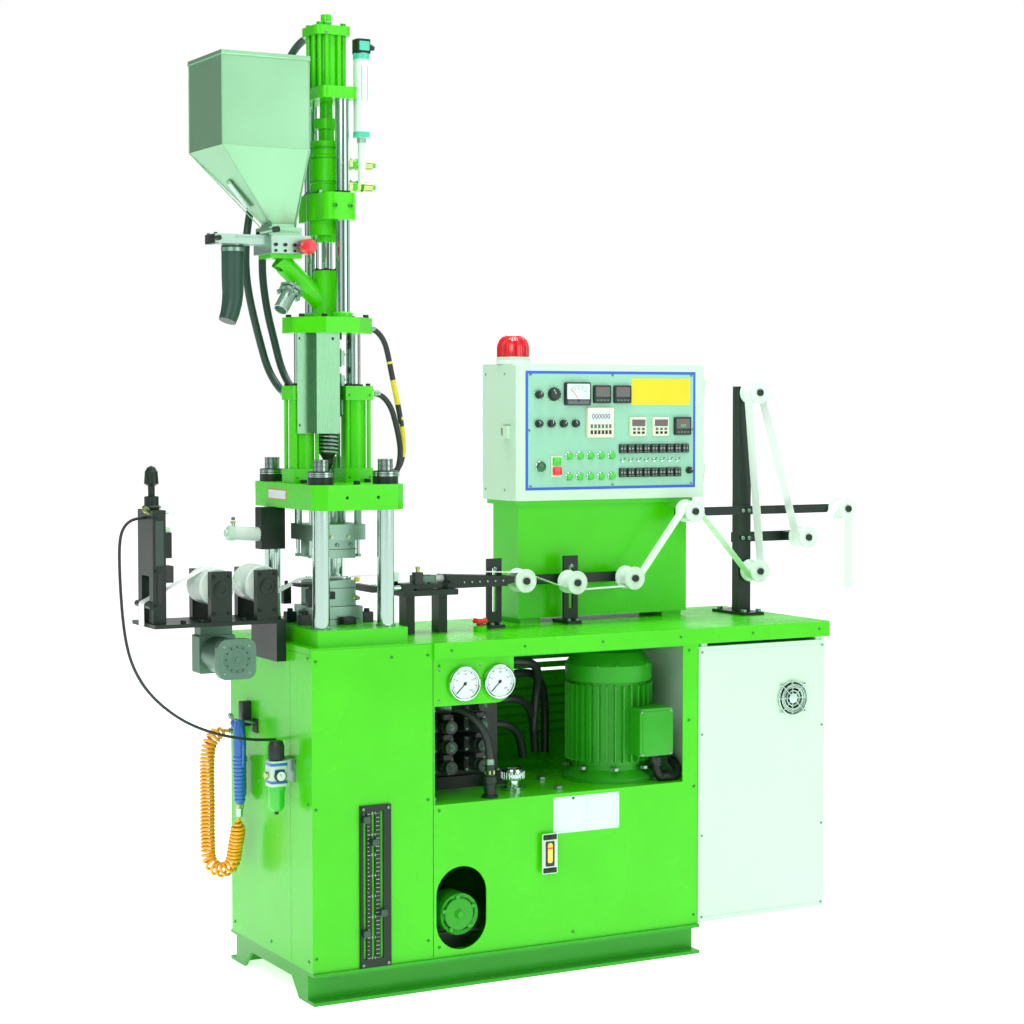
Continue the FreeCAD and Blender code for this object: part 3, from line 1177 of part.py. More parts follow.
CARRIAGE_HOSE_ROUTE = (
    (248.6, 240, 1588), (272, 240, 1587), (291, 240, 1572), (304, 240, 1551),
    (312, 240, 1522), (320, 240, 1484), (330, 240, 1438), (341, 240, 1388),
    (350, 240, 1338), (354, 240, 1294), (349, 240, 1262), (335, 240, 1238),
    (318, 240, 1230), (301, 240, 1230))
LIFT_HOSE_ROUTE = (
    (249.2, 212, 1429), (274, 212, 1428), (295, 212, 1411), (309, 212, 1388),
    (318, 212, 1358), (327, 212, 1322), (332, 212, 1288), (329, 212, 1260),
    (323, 212, 1238), (313, 212, 1231), (301, 212, 1230))


def build_cords():
    """Hoses held between two ports, the free loop and the curly hose."""
    single = (("bay_hoses", BAY_HOSE_ROUTE, 20), ("lift_hose", LIFT_HOSE_ROUTE, 14),
              ("loop_tube", LOOP_ROUTE, 7), ("curly_hose", CURLY_ROUTE, 40))
    for name, route, size in single:
        node(name, solid_feature(name, cord(name, route, size)))
    tower = [cord("cylinder_hose", CYLINDER_HOSE_ROUTE, 19),
             cord("flange_hose", FLANGE_HOSE_ROUTE, 19),
             cord("carriage_hose", CARRIAGE_HOSE_ROUTE, 14)]
    node("tower_hoses", solid_feature("tower_hoses", Part.makeCompound(tower)))


def wrap_route(stations, y):
    """Lines and arcs at one depth, for a band over stations of (x, z, radius, side)."""
    lines = []
    for (x0, z0, r0, s0), (x1, z1, r1, s1) in zip(stations, stations[1:]):
        span = Vector(x1 - x0, 0, z1 - z0)
        ahead = Vector(span).normalize()
        left = Vector(-ahead.z, 0, ahead.x)
        tilt = math.asin((s0 * r0 - s1 * r1) / span.Length)
        out = left * math.cos(tilt) + ahead * math.sin(tilt)
        start = Vector(x0, y, z0) + out * (s0 * r0)
        end = Vector(x1, y, z1) + out * (s1 * r1)
        lines.append((start, end, out))
    edges = []
    for index, (start, end, out) in enumerate(lines):
        edges.append(Part.LineSegment(start, end).toShape())
        if index + 1 < len(lines):
            x, z, radius, side = stations[index + 1]
            onward, _, turned_out = lines[index + 1]
            middle = Vector(x, y, z) + (out + turned_out).normalize() * (side * radius)
            edges.append(Part.Arc(end, middle, onward).toShape())
    return Part.Wire(edges)


def build_tape():
    """The moulding tape, threaded through the rollers, the mould and the idlers."""
    gap = number("seat + tape_thick / 2")
    pull = number("roller_radius") + gap
    core = number("spool_core") + gap
    left = number("column_left") - 2
    line = number("press_top + table_thick + mould_low") + 5
    stations = [(left - 8 - gap, 372, 0, 1), (left, number("puller_z") + 42, 8 + gap, 1)]
    stations += [(x, z, pull, side) for x, z, side in PULL_ROLLERS]
    stations += [(number("tower_x") - 70, line - 4 - gap, 4 + gap, 1),
                 (number("tower_x") + 74, line - 4 - gap, 4 + gap, 1),
                 (number("tower_x") + 300, 983, 4, 1)]
    stations += [(x, z, core, side) for x, z, side in IDLERS]
    x, z, _ = IDLERS[-1]
    stations.append((x + core, z - 220, 0, 1))
    wire = wrap_route(stations, number("tower_y"))
    wide = number("tape_width")
    thick = number("tape_thick")
    first = wire.Edges[0]
    start = first.Vertexes[0].Point
    way = first.tangentAt(first.FirstParameter)
    side = Vector(way.z, 0, -way.x) * (thick / 2)
    across = Vector(0, wide / 2, 0)
    corners = [start - side - across, start + side - across, start + side + across,
               start - side + across]
    ring = Part.makePolygon(corners + corners[:1])
    strip = wire.makePipeShell([ring], True, False)
    print(f"tape: {wire.Length:.0f} mm long, volume share "
          f"{strip.Volume / (wire.Length * wide * thick):.4f}")
    return node("tape", solid_feature("tape", strip))


# ---------------------------------------------------------------- air service unit

def build_air_regulator():
    """Filter, regulator and knob on their bracket, and the union of the curly hose."""
    bracket = box("-20", "air_y - 20", "air_low + 6", "20", "40", "air_side")
    body = slab("air_side", "air_side", "air_height", "air_x - air_side / 2",
                "air_y - air_side / 2", "air_low", "6")
    bowl = turned((("0", "0"), ("bowl_radius - 8", "0"), ("bowl_radius", "8"),
                   ("bowl_radius", "bowl_height"), ("0", "bowl_height")), "air_x",
                  "air_y", "air_low - bowl_height")
    knob = turned((("0", "0"), ("air_knob_radius - 3", "0"), ("air_knob_radius", "6"),
                   ("air_knob_radius", "34"), ("air_knob_radius - 4", "44"),
                   ("0", "48")), "air_x", "air_y", "air_low + air_height")
    union = rod("-union_length", "union_y", "union_z", "union_radius", "union_length",
                "x")
    return node("air_regulator", group(fuse(bracket, body, bowl, knob), union))


def build_air_gun():
    """The blow gun on its hook, with its inlet where the curly hose enters."""
    hook = box("-12", "gun_y - 13", "grip_low + 174", "12", "26", "30")
    ledge = box("gun_x - 17", "gun_y - 9", "grip_low + 196", "50", "18", "6")
    grip = turned((("0", "0"), ("10", "0"), ("14", "20"), ("16", "90"), ("15", "200"),
                   ("0", "206")), "gun_x", "gun_y", "grip_low")
    nose = rod("gun_x", "gun_y", "grip_low + 174", "9", "60", "y")
    inlet = box("gun_x - 10", "gun_y - 5", "inlet_low", "20", "24", "34")
    return node("air_gun", fuse(hook, ledge, grip, nose, inlet))


def build_all():
    """Build every sub-part in the order of the machine, from the floor up."""
    build_skid()
    build_press_cabinet()
    build_machine_body()
    build_bench_top()
    build_electrical_cabinet()
    build_fan_rotor()
    build_pump_motor()
    build_hydraulic_unit()
    build_gauges()
    build_scale_plate()
    for index, (column, height) in enumerate(SLIDERS, start=1):
        build_slider(index, column, height)
    build_lower_platen()
    build_lower_mould()
    build_upper_platen()
    build_tie_bars()
    build_upper_mould()
    build_lift_cylinders()
    build_carriage_plate()
    build_barrel()
    build_barrel_guard()
    build_feed_housing()
    build_guide_columns()
    build_injection_cylinder()
    build_transducer()
    build_hopper_base()
    build_hopper()
    build_hopper_lid()
    build_crosshead()
    build_hydraulic_motor()
    build_feed_screw()
    build_pedestal()
    build_control_box()
    build_control_door()
    build_door_controls()
    build_emergency_stop()
    for index, (x, z, _) in enumerate(IDLERS, start=1):
        build_idler(index, x, z)
    build_tape_stands()
    build_tape_feeder()
    for index, (x, z, _) in enumerate(PULL_ROLLERS, start=1):
        build_pull_roller(index, x, z)
    build_puller_frame()
    build_puller_motor()
    build_cords()
    build_tape()
    build_air_regulator()
    build_air_gun()


def check_and_write():
    """Stop on any failed object or bad shape, then write one STEP file a sub-part."""
    doc.recompute()
    for item in doc.Objects:
        if "Invalid" in item.State or "Error" in item.State:
            raise RuntimeError(f"{item.Name} ({item.Label}) failed: {item.State}")
    for item in nodes:
        if item.Shape.isNull() or not item.Shape.isValid() or not item.Shape.Solids:
            raise RuntimeError(f"{item.Label} has no valid solid")
    os.makedirs("parts", exist_ok=True)
    for item in nodes:
        item.Shape.exportStep(os.path.join("parts", item.Label + ".step"))
    print(len(nodes), "sub-parts written")


build_all()
check_and_write()
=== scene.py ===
"""Looks of a vertical injection moulding machine that moulds parts on to a carrier tape.

Sizes and places are in the machine's own millimetres: X from the left end of the skid, Y from
the front of the cabinets towards the back, Z up from the floor. Each piece is moved to the
frame's metres as it is finished.
"""

from __future__ import annotations

import logging
import math
import random
from dataclasses import dataclass
from enum import Enum
from typing import Iterable, Sequence

import bmesh
import bpy
from mathutils import Matrix, Vector


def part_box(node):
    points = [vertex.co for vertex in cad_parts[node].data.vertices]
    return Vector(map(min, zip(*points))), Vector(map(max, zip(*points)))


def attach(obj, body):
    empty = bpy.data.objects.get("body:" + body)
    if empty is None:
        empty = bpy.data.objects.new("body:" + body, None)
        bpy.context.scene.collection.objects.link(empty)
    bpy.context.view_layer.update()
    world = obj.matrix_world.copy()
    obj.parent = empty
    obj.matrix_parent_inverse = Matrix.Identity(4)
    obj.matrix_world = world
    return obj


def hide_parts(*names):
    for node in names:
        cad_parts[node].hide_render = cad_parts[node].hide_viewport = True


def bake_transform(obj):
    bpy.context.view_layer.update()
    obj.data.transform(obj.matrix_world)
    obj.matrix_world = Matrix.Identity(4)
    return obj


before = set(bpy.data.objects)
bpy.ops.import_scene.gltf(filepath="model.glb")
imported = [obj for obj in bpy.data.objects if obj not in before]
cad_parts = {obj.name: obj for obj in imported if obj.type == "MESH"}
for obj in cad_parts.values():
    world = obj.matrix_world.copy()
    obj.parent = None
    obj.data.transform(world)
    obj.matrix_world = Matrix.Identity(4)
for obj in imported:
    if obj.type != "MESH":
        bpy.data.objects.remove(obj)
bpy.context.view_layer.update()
ORIGIN = Vector((535.0, 255.0, 0.0))
MM = 0.001
UP = (0.0, 0.0, 1.0)
LOG = logging.getLogger("machine")
Point = Sequence[float]
Colour = tuple[float, float, float]


def at(x: float, y: float, z: float) -> Vector:
    """The frame's point, in metres, for a place on the machine in millimetres."""
    return (Vector((x, y, z)) - ORIGIN) * MM


# ---------------------------------------------------------------- finishes


class Grain(Enum):
    """The way the fine lines of a brushed or drawn metal run."""

    NONE = (1.0, 1.0, 1.0)
    ALONG_X = (0.02, 1.0, 1.0)
    ALONG_Y = (1.0, 0.02, 1.0)
    ALONG_Z = (1.0, 1.0, 0.02)


class Tree:
    """A node tree with short ways to add and join nodes."""

    def __init__(self, tree: bpy.types.NodeTree) -> None:
        """Keep the tree that the nodes go into.

        Args:
            tree: A material's or a group's node tree.
        """
        self.tree = tree

    def node(self, kind: str, **values: object) -> bpy.types.Node:
        """Add a node.

        Args:
            kind: The node's type name.
            **values: Attributes of the node, set as given.

        Returns:
            The new node.
        """
        made = self.tree.nodes.new(kind)
        for name, value in values.items():
            setattr(made, name, value)
        return made

    def join(self, source: bpy.types.NodeSocket, target: bpy.types.NodeSocket) -> None:
        """Link one socket to another."""
        self.tree.links.new(source, target)

    def sum(self, operation: str, first: object, second: object) -> bpy.types.NodeSocket:
        """Add a Math node whose inputs are sockets or plain numbers.

        Args:
            operation: The Math node's operation.
            first: The first input.
            second: The second input.

        Returns:
            The node's output.
        """
        made = self.node("ShaderNodeMath", operation=operation)
        for socket, value in zip(made.inputs, (first, second)):
            if isinstance(value, bpy.types.NodeSocket):
                self.join(value, socket)
            else:
                socket.default_value = value
        return made.outputs[0]


class Effects:
    """The node groups that several finishes share, each built once."""

    def __init__(self) -> None:
        """Build the three groups."""
        self.wear = self._wear()
        self.mottle = self._mottle()
        self.brushed = self._brushed()

    @staticmethod
    def _group(name: str, inputs: dict[str, float], outputs: Iterable[str]) -> tuple:
        """Make an empty group with float sockets and an optional vector.

        Args:
            name: The group's name.
            inputs: Input names with their usual values.
            outputs: Output names.

        Returns:
            The group, its tree helper, its input node and its output node.
        """
        group = bpy.data.node_groups.new(name, "ShaderNodeTree")
        for label, value in inputs.items():
            socket = group.interface.new_socket(label, in_out="INPUT",
                                                socket_type="NodeSocketFloat")
            socket.default_value = value
        group.interface.new_socket("Vector", in_out="INPUT", socket_type="NodeSocketVector")
        for label in outputs:
            group.interface.new_socket(label, in_out="OUTPUT",
                                       socket_type="NodeSocketFloat")
        tree = Tree(group)
        return group, tree, tree.node("NodeGroupInput"), tree.node("NodeGroupOutput")

    def _wear(self) -> bpy.types.NodeTree:
        """A mask of the edges where paint is rubbed thin."""
        group, tree, source, target = self._group(
            "edge_wear", {"Radius": 0.0012, "Reach": 0.25, "Amount": 0.5}, ["Mask"])
        rounded = tree.node("ShaderNodeBevel", samples=4)
        tree.join(source.outputs["Radius"], rounded.inputs["Radius"])
        plain = tree.node("ShaderNodeNewGeometry")
        dot = tree.node("ShaderNodeVectorMath", operation="DOT_PRODUCT")
        tree.join(rounded.outputs["Normal"], dot.inputs[0])
        tree.join(plain.outputs["Normal"], dot.inputs[1])
        bend = tree.sum("SUBTRACT", 1.0, dot.outputs["Value"])
        spread = tree.node("ShaderNodeMapRange")
        tree.join(bend, spread.inputs["Value"])
        tree.join(source.outputs["Reach"], spread.inputs["From Max"])
        chips = tree.node("ShaderNodeTexNoise")
        chips.inputs["Scale"].default_value = 55.0
        chips.inputs["Detail"].default_value = 6.0
        tree.join(source.outputs["Vector"], chips.inputs["Vector"])
        torn = tree.node("ShaderNodeMapRange")
        torn.inputs["From Min"].default_value = 0.5
        torn.inputs["From Max"].default_value = 0.62
        tree.join(chips.outputs["Fac"], torn.inputs["Value"])
        mask = tree.sum("MULTIPLY", spread.outputs["Result"], torn.outputs["Result"])
        tree.join(tree.sum("MULTIPLY", mask, source.outputs["Amount"]),
                  target.inputs["Mask"])
        return group

    def _mottle(self) -> bpy.types.NodeTree:
        """Slow changes of shade, as of hand-wiped paint, from 0 to 1."""
        group, tree, source, target = self._group(
            "mottle", {"Scale": 6.0, "Fine": 90.0}, ["Slow", "Fast"])
        for label, size, detail in (("Slow", "Scale", 3.0), ("Fast", "Fine", 2.0)):
            noise = tree.node("ShaderNodeTexNoise")
            noise.inputs["Detail"].default_value = detail
            tree.join(source.outputs[size], noise.inputs["Scale"])
            tree.join(source.outputs["Vector"], noise.inputs["Vector"])
            tree.join(noise.outputs["Fac"], target.inputs[label])
        return group

    def _brushed(self) -> bpy.types.NodeTree:
        """Fine lines stretched along one direction, from 0 to 1."""
        group, tree, source, target = self._group(
            "brushed_lines", {"Scale": 900.0}, ["Lines"])
        noise = tree.node("ShaderNodeTexNoise")
        noise.inputs["Detail"].default_value = 4.0
        noise.inputs["Roughness"].default_value = 0.7
        tree.join(source.outputs["Scale"], noise.inputs["Scale"])
        tree.join(source.outputs["Vector"], noise.inputs["Vector"])
        tree.join(noise.outputs["Fac"], target.inputs["Lines"])
        return group


@dataclass(frozen=True)
class Finish:
    """One surface finish, made into a material when it is first used."""

    name: str
    colour: Colour
    slot: str
    rough: float = 0.4
    metal: float = 0.0
    coat: float = 0.0
    shine: float = 0.5
    mottle: float = 0.12
    peel: float = 0.0
    peel_scale: float = 260.0
    grain: Grain = Grain.NONE
    grain_depth: float = 0.25
    wear: float = 0.0
    bare: Colour = (0.35, 0.42, 0.38)
    glow: float = 0.0
    clear: float = 0.0
    split: float = 0.0

    def material(self, effects: Effects) -> bpy.types.Material:
        """Build the material, or find it if it is there already.

        Args:
            effects: The shared node groups.

        Returns:
            The Blender material.
        """
        found = bpy.data.materials.get(self.name)
        if found:
            return found
        made = bpy.data.materials.new(self.name)
        made.use_nodes = True
        tree = Tree(made.node_tree)
        shader = made.node_tree.nodes["Principled BSDF"]
        shader.inputs["Metallic"].default_value = self.metal
        shader.inputs["Coat Weight"].default_value = self.coat
        shader.inputs["Coat Roughness"].default_value = 0.05
        shader.inputs["Specular IOR Level"].default_value = self.shine
        shader.inputs["Transmission Weight"].default_value = self.clear
        where = tree.node("ShaderNodeTexCoord").outputs["Object"]
        mottle = tree.node("ShaderNodeGroup", node_tree=effects.mottle)
        mottle.inputs["Fine"].default_value = self.peel_scale
        tree.join(where, mottle.inputs["Vector"])
        colour = self._colour(tree, mottle.outputs["Slow"])
        if self.wear > 0:
            colour = self._worn(tree, effects, where, colour)
        if self.split:
            colour = self._rods(tree, where, colour, shader)
        tree.join(colour, shader.inputs["Base Color"])
        rough = tree.sum("MULTIPLY_ADD", mottle.outputs["Slow"], 0.16)
        rough.node.inputs[2].default_value = self.rough - 0.08
        height = mottle.outputs["Fast"]
        depth = self.peel
        if self.grain is not Grain.NONE:
            lines = self._lines(tree, effects, where)
            rough = tree.sum("MULTIPLY_ADD", lines, 0.22)
            rough.node.inputs[2].default_value = self.rough - 0.11
            height, depth = lines, self.grain_depth
        tree.join(rough, shader.inputs["Roughness"])
        if depth > 0:
            bump = tree.node("ShaderNodeBump")
            bump.inputs["Strength"].default_value = depth
            bump.inputs["Distance"].default_value = 0.0004
            tree.join(height, bump.inputs["Height"])
            tree.join(bump.outputs["Normal"], shader.inputs["Normal"])
        if self.glow > 0:
            shader.inputs["Emission Color"].default_value = (*self.colour, 1.0)
            shader.inputs["Emission Strength"].default_value = self.glow
        return made

    def _colour(self, tree: Tree, slow: bpy.types.NodeSocket) -> bpy.types.NodeSocket:
        """The finish's colour, a little darker and lighter in slow patches."""
        mix = tree.node("ShaderNodeMix", data_type="RGBA")
        tree.join(slow, mix.inputs["Factor"])
        low = tuple(c * (1 - self.mottle) for c in self.colour)
        high = tuple(min(1.0, c * (1 + self.mottle)) for c in self.colour)
        mix.inputs["A"].default_value = (*low, 1.0)
        mix.inputs["B"].default_value = (*high, 1.0)
        return mix.outputs["Result"]

    def _rods(self, tree: Tree, where: bpy.types.NodeSocket, colour: bpy.types.NodeSocket,
              shader: bpy.types.Node) -> bpy.types.NodeSocket:
        """The paint above the split height, and bright chromed rod below it."""
        height = tree.node("ShaderNodeSeparateXYZ")
        tree.join(where, height.inputs[0])
        rod = tree.sum("LESS_THAN", height.outputs["Z"], self.split * MM)
        tree.join(rod, shader.inputs["Metallic"])
        mix = tree.node("ShaderNodeMix", data_type="RGBA")
        tree.join(rod, mix.inputs["Factor"])
        tree.join(colour, mix.inputs["A"])
        mix.inputs["B"].default_value = (0.50, 0.68, 0.60, 1.0)
        return mix.outputs["Result"]

    def _worn(self, tree: Tree, effects: Effects, where: bpy.types.NodeSocket,
              colour: bpy.types.NodeSocket) -> bpy.types.NodeSocket:
        """The colour with the bare metal showing at rubbed edges."""
        wear = tree.node("ShaderNodeGroup", node_tree=effects.wear)
        wear.inputs["Amount"].default_value = self.wear
        tree.join(where, wear.inputs["Vector"])
        mix = tree.node("ShaderNodeMix", data_type="RGBA")
        tree.join(wear.outputs["Mask"], mix.inputs["Factor"])
        tree.join(colour, mix.inputs["A"])
        mix.inputs["B"].default_value = (*self.bare, 1.0)
        return mix.outputs["Result"]

    def _lines(self, tree: Tree, effects: Effects,
               where: bpy.types.NodeSocket) -> bpy.types.NodeSocket:
        """The brushed lines of the metal, drawn out along the grain."""
        draw = tree.node("ShaderNodeMapping")
        draw.inputs["Scale"].default_value = self.grain.value
        tree.join(where, draw.inputs["Vector"])
        lines = tree.node("ShaderNodeGroup", node_tree=effects.brushed)
        tree.join(draw.outputs["Vector"], lines.inputs["Vector"])
        return lines.outputs["Lines"]


GREEN = Finish("vivid_green_paint", (0.055, 0.60, 0.0), "green_paint", rough=0.26, coat=0.12,
               shine=0.3,
               peel=0.12, wear=0.5, bare=(0.22, 0.5, 0.2))
GREEN_RODDED = Finish("green_paint_and_rods", (0.055, 0.60, 0.0), "green_paint", rough=0.2,
                      coat=0.12, shine=0.3, split=1571.6)
GREEN_DEEP = Finish("deep_green_paint", (0.018, 0.36, 0.004), "green_dark", rough=0.3,
                    coat=0.15, shine=0.3, peel=0.2, wear=0.5, bare=(0.16, 0.36, 0.16))
GREEN_CAST = Finish("green_painted_casting", (0.02, 0.34, 0.008), "green_paint", rough=0.42,
                    coat=0.1, shine=0.3, peel=0.5, peel_scale=420.0, wear=0.6, bare=(0.2, 0.45, 0.2))
WHITE_PAINT = Finish("white_cabinet_paint", (0.53, 0.76, 0.58), "white_paint", rough=0.36,
                     coat=0.2, mottle=0.03, peel=0.25, peel_scale=500.0)
PANEL_MINT = Finish("panel_face", (0.27, 0.60, 0.42), "white_paint", rough=0.42,
                    mottle=0.02)
BLACK_PAINT = Finish("black_oxide_steel", (0.006, 0.020, 0.011), "black_paint", rough=0.36,
                     shine=0.35, peel=0.25, wear=0.45, bare=(0.05, 0.09, 0.07))
BLACK_IRON = Finish("oiled_black_iron", (0.008, 0.022, 0.012), "black_iron", rough=0.4,
                    shine=0.4, peel=0.6, peel_scale=500.0, wear=0.4, bare=(0.05, 0.09, 0.07))
GREY_CAST = Finish("grey_aluminium_casting", (0.10, 0.20, 0.14), "grey_iron", rough=0.4,
                   metal=0.75, peel=0.4, peel_scale=600.0, wear=0.4)
STEEL = Finish("ground_steel", (0.26, 0.42, 0.33), "steel", rough=0.32, metal=0.9,
               grain=Grain.ALONG_X)
STAINLESS = Finish("brushed_stainless", (0.27, 0.54, 0.32), "stainless", rough=0.36,
                   metal=0.85, grain=Grain.ALONG_X, grain_depth=0.4, mottle=0.14)
GUARD_STEEL = Finish("guard_stainless", (0.20, 0.42, 0.24), "stainless", rough=0.26,
                     metal=0.95, grain=Grain.ALONG_Z)
CHROME = Finish("hard_chrome", (0.50, 0.68, 0.60), "chrome", rough=0.11, metal=1.0,
                mottle=0.04, grain=Grain.ALONG_Z, grain_depth=0.05)
ALUMINIUM = Finish("machined_aluminium", (0.34, 0.52, 0.42), "aluminium", rough=0.35,
                   metal=0.85, grain=Grain.ALONG_X)
BRASS = Finish("plated_brass", (0.42, 0.50, 0.20), "chrome", rough=0.28, metal=1.0,
               mottle=0.2)
BLACK_PLASTIC = Finish("black_moulding", (0.012, 0.02, 0.016), "black_plastic", rough=0.4,
                       peel=0.3, peel_scale=900.0)
WHITE_PLASTIC = Finish("white_moulding", (0.66, 0.80, 0.71), "white_plastic", rough=0.42,
                       mottle=0.04, peel=0.15)
IVORY = Finish("ivory_moulding", (0.74, 0.78, 0.60), "white_plastic", rough=0.4,
               mottle=0.03)
TEAL_PLASTIC = Finish("teal_moulding", (0.06, 0.55, 0.36), "white_plastic", rough=0.35)
DIAL = Finish("dial_face", (0.62, 0.76, 0.72), "white_dial", rough=0.5, mottle=0.02)
INK = Finish("black_ink", (0.01, 0.012, 0.012), "black_plastic", rough=0.5)
PALE_INK = Finish("pale_print", (0.30, 0.52, 0.58), "white_dial", rough=0.5)
WHITE_INK = Finish("white_print", (0.75, 0.85, 0.80), "white_dial", rough=0.5)
BLUE_BORDER = Finish("blue_border", (0.012, 0.10, 0.60), "blue_plastic", rough=0.35)
YELLOW_PLATE = Finish("yellow_plate", (0.86, 0.62, 0.0), "orange_plastic", rough=0.35)
AMBER_GLASS = Finish("oil_window", (0.80, 0.62, 0.02), "orange_plastic", rough=0.12,
                     coat=1.0)
RED = Finish("red_moulding", (0.75, 0.012, 0.02), "red_plastic", rough=0.22, coat=0.6,
             mottle=0.05)
RED_DOME = Finish("red_lamp_dome", (0.62, 0.004, 0.012), "red_plastic", rough=0.14,
                  coat=0.6, mottle=0.1)
ORANGE = Finish("orange_hose", (0.98, 0.46, 0.01), "orange_plastic", rough=0.25, coat=0.5,
                mottle=0.06)
BLUE = Finish("blue_moulding", (0.015, 0.14, 0.50), "blue_plastic", rough=0.3, coat=0.3)
GREEN_BUTTON = Finish("green_button", (0.03, 0.55, 0.02), "green_knob", rough=0.3,
                      coat=0.4)
GREEN_LENS = Finish("green_lens", (0.005, 0.11, 0.03), "green_knob", rough=0.2, coat=0.3)
DARK_GREEN_KNOB = Finish("dark_green_knob", (0.012, 0.045, 0.028), "green_knob", rough=0.3,
                         coat=0.3)
SCREEN = Finish("dark_display", (0.01, 0.03, 0.025), "black_plastic", rough=0.12, coat=1.0)
RED_DIGITS = Finish("red_digits", (0.30, 0.04, 0.03), "red_plastic", rough=0.4, glow=0.2)
RUBBER = Finish("black_hose", (0.014, 0.022, 0.018), "black_rubber", rough=0.42, peel=0.3,
                peel_scale=900.0)
GREEN_HOSE = Finish("dark_green_hose", (0.012, 0.055, 0.035), "black_rubber", rough=0.4,
                    peel=0.3, peel_scale=700.0)
YELLOW_MARK = Finish("yellow_hose_mark", (0.70, 0.62, 0.02), "orange_plastic", rough=0.5)
TAPE = Finish("carrier_tape", (0.88, 0.96, 0.93), "clear_tape", rough=0.3, mottle=0.03)


NODE_FINISHES: dict[Finish, tuple[str, ...]] = {
    GREEN: ("press_cabinet", "machine_body", "bench_top", "lower_platen", "upper_platen",
            "lift_cylinders", "feed_housing", "injection_cylinder",
            "crosshead", "pedestal", "hydraulic_motor"),
    GREEN_RODDED: ("carriage_plate",),
    GREEN_DEEP: ("skid",),
    GREEN_CAST: ("pump_motor",),
    WHITE_PAINT: ("electrical_cabinet", "control_box", "control_door"),
    BLACK_IRON: ("hydraulic_unit", "barrel"),
    BLACK_PAINT: ("tape_stands", "tape_feeder", "puller_frame", "scale_plate"),
    GREY_CAST: ("puller_motor",),
    STEEL: ("lower_mould", "upper_mould"),
    STAINLESS: ("hopper", "hopper_lid"),
    GUARD_STEEL: ("barrel_guard",),
    CHROME: ("tie_bars", "guide_columns", "feed_screw"),
    ALUMINIUM: ("hopper_base",),
    WHITE_PLASTIC: ("transducer",) + tuple(f"idler_{i}" for i in range(1, 9))
    + tuple(f"pull_roller_{i}" for i in range(1, 3)),
    DARK_GREEN_KNOB: tuple(f"stroke_slider_{i}" for i in range(1, 5)),
    BLACK_PLASTIC: ("fan_rotor",),
    RED: ("emergency_stop",),
}


# ---------------------------------------------------------------- pieces


class Side(Enum):
    """Which way a thing that is mounted on a flat face looks out from it."""

    FRONT = ((1, 0, 0), (0, 0, -1), (0, 1, 0))
    BACK = ((-1, 0, 0), (0, 0, 1), (0, 1, 0))
    LEFT = ((0, 0, -1), (-1, 0, 0), (0, 1, 0))
    RIGHT = ((0, 0, 1), (1, 0, 0), (0, 1, 0))
    TOP = ((1, 0, 0), (0, 1, 0), (0, 0, 1))
    UNDER = ((1, 0, 0), (0, -1, 0), (0, 0, -1))

    def turn(self) -> Matrix:
        """The turn from a plate's own axes, with Z out of its face."""
        return Matrix(self.value).to_4x4()


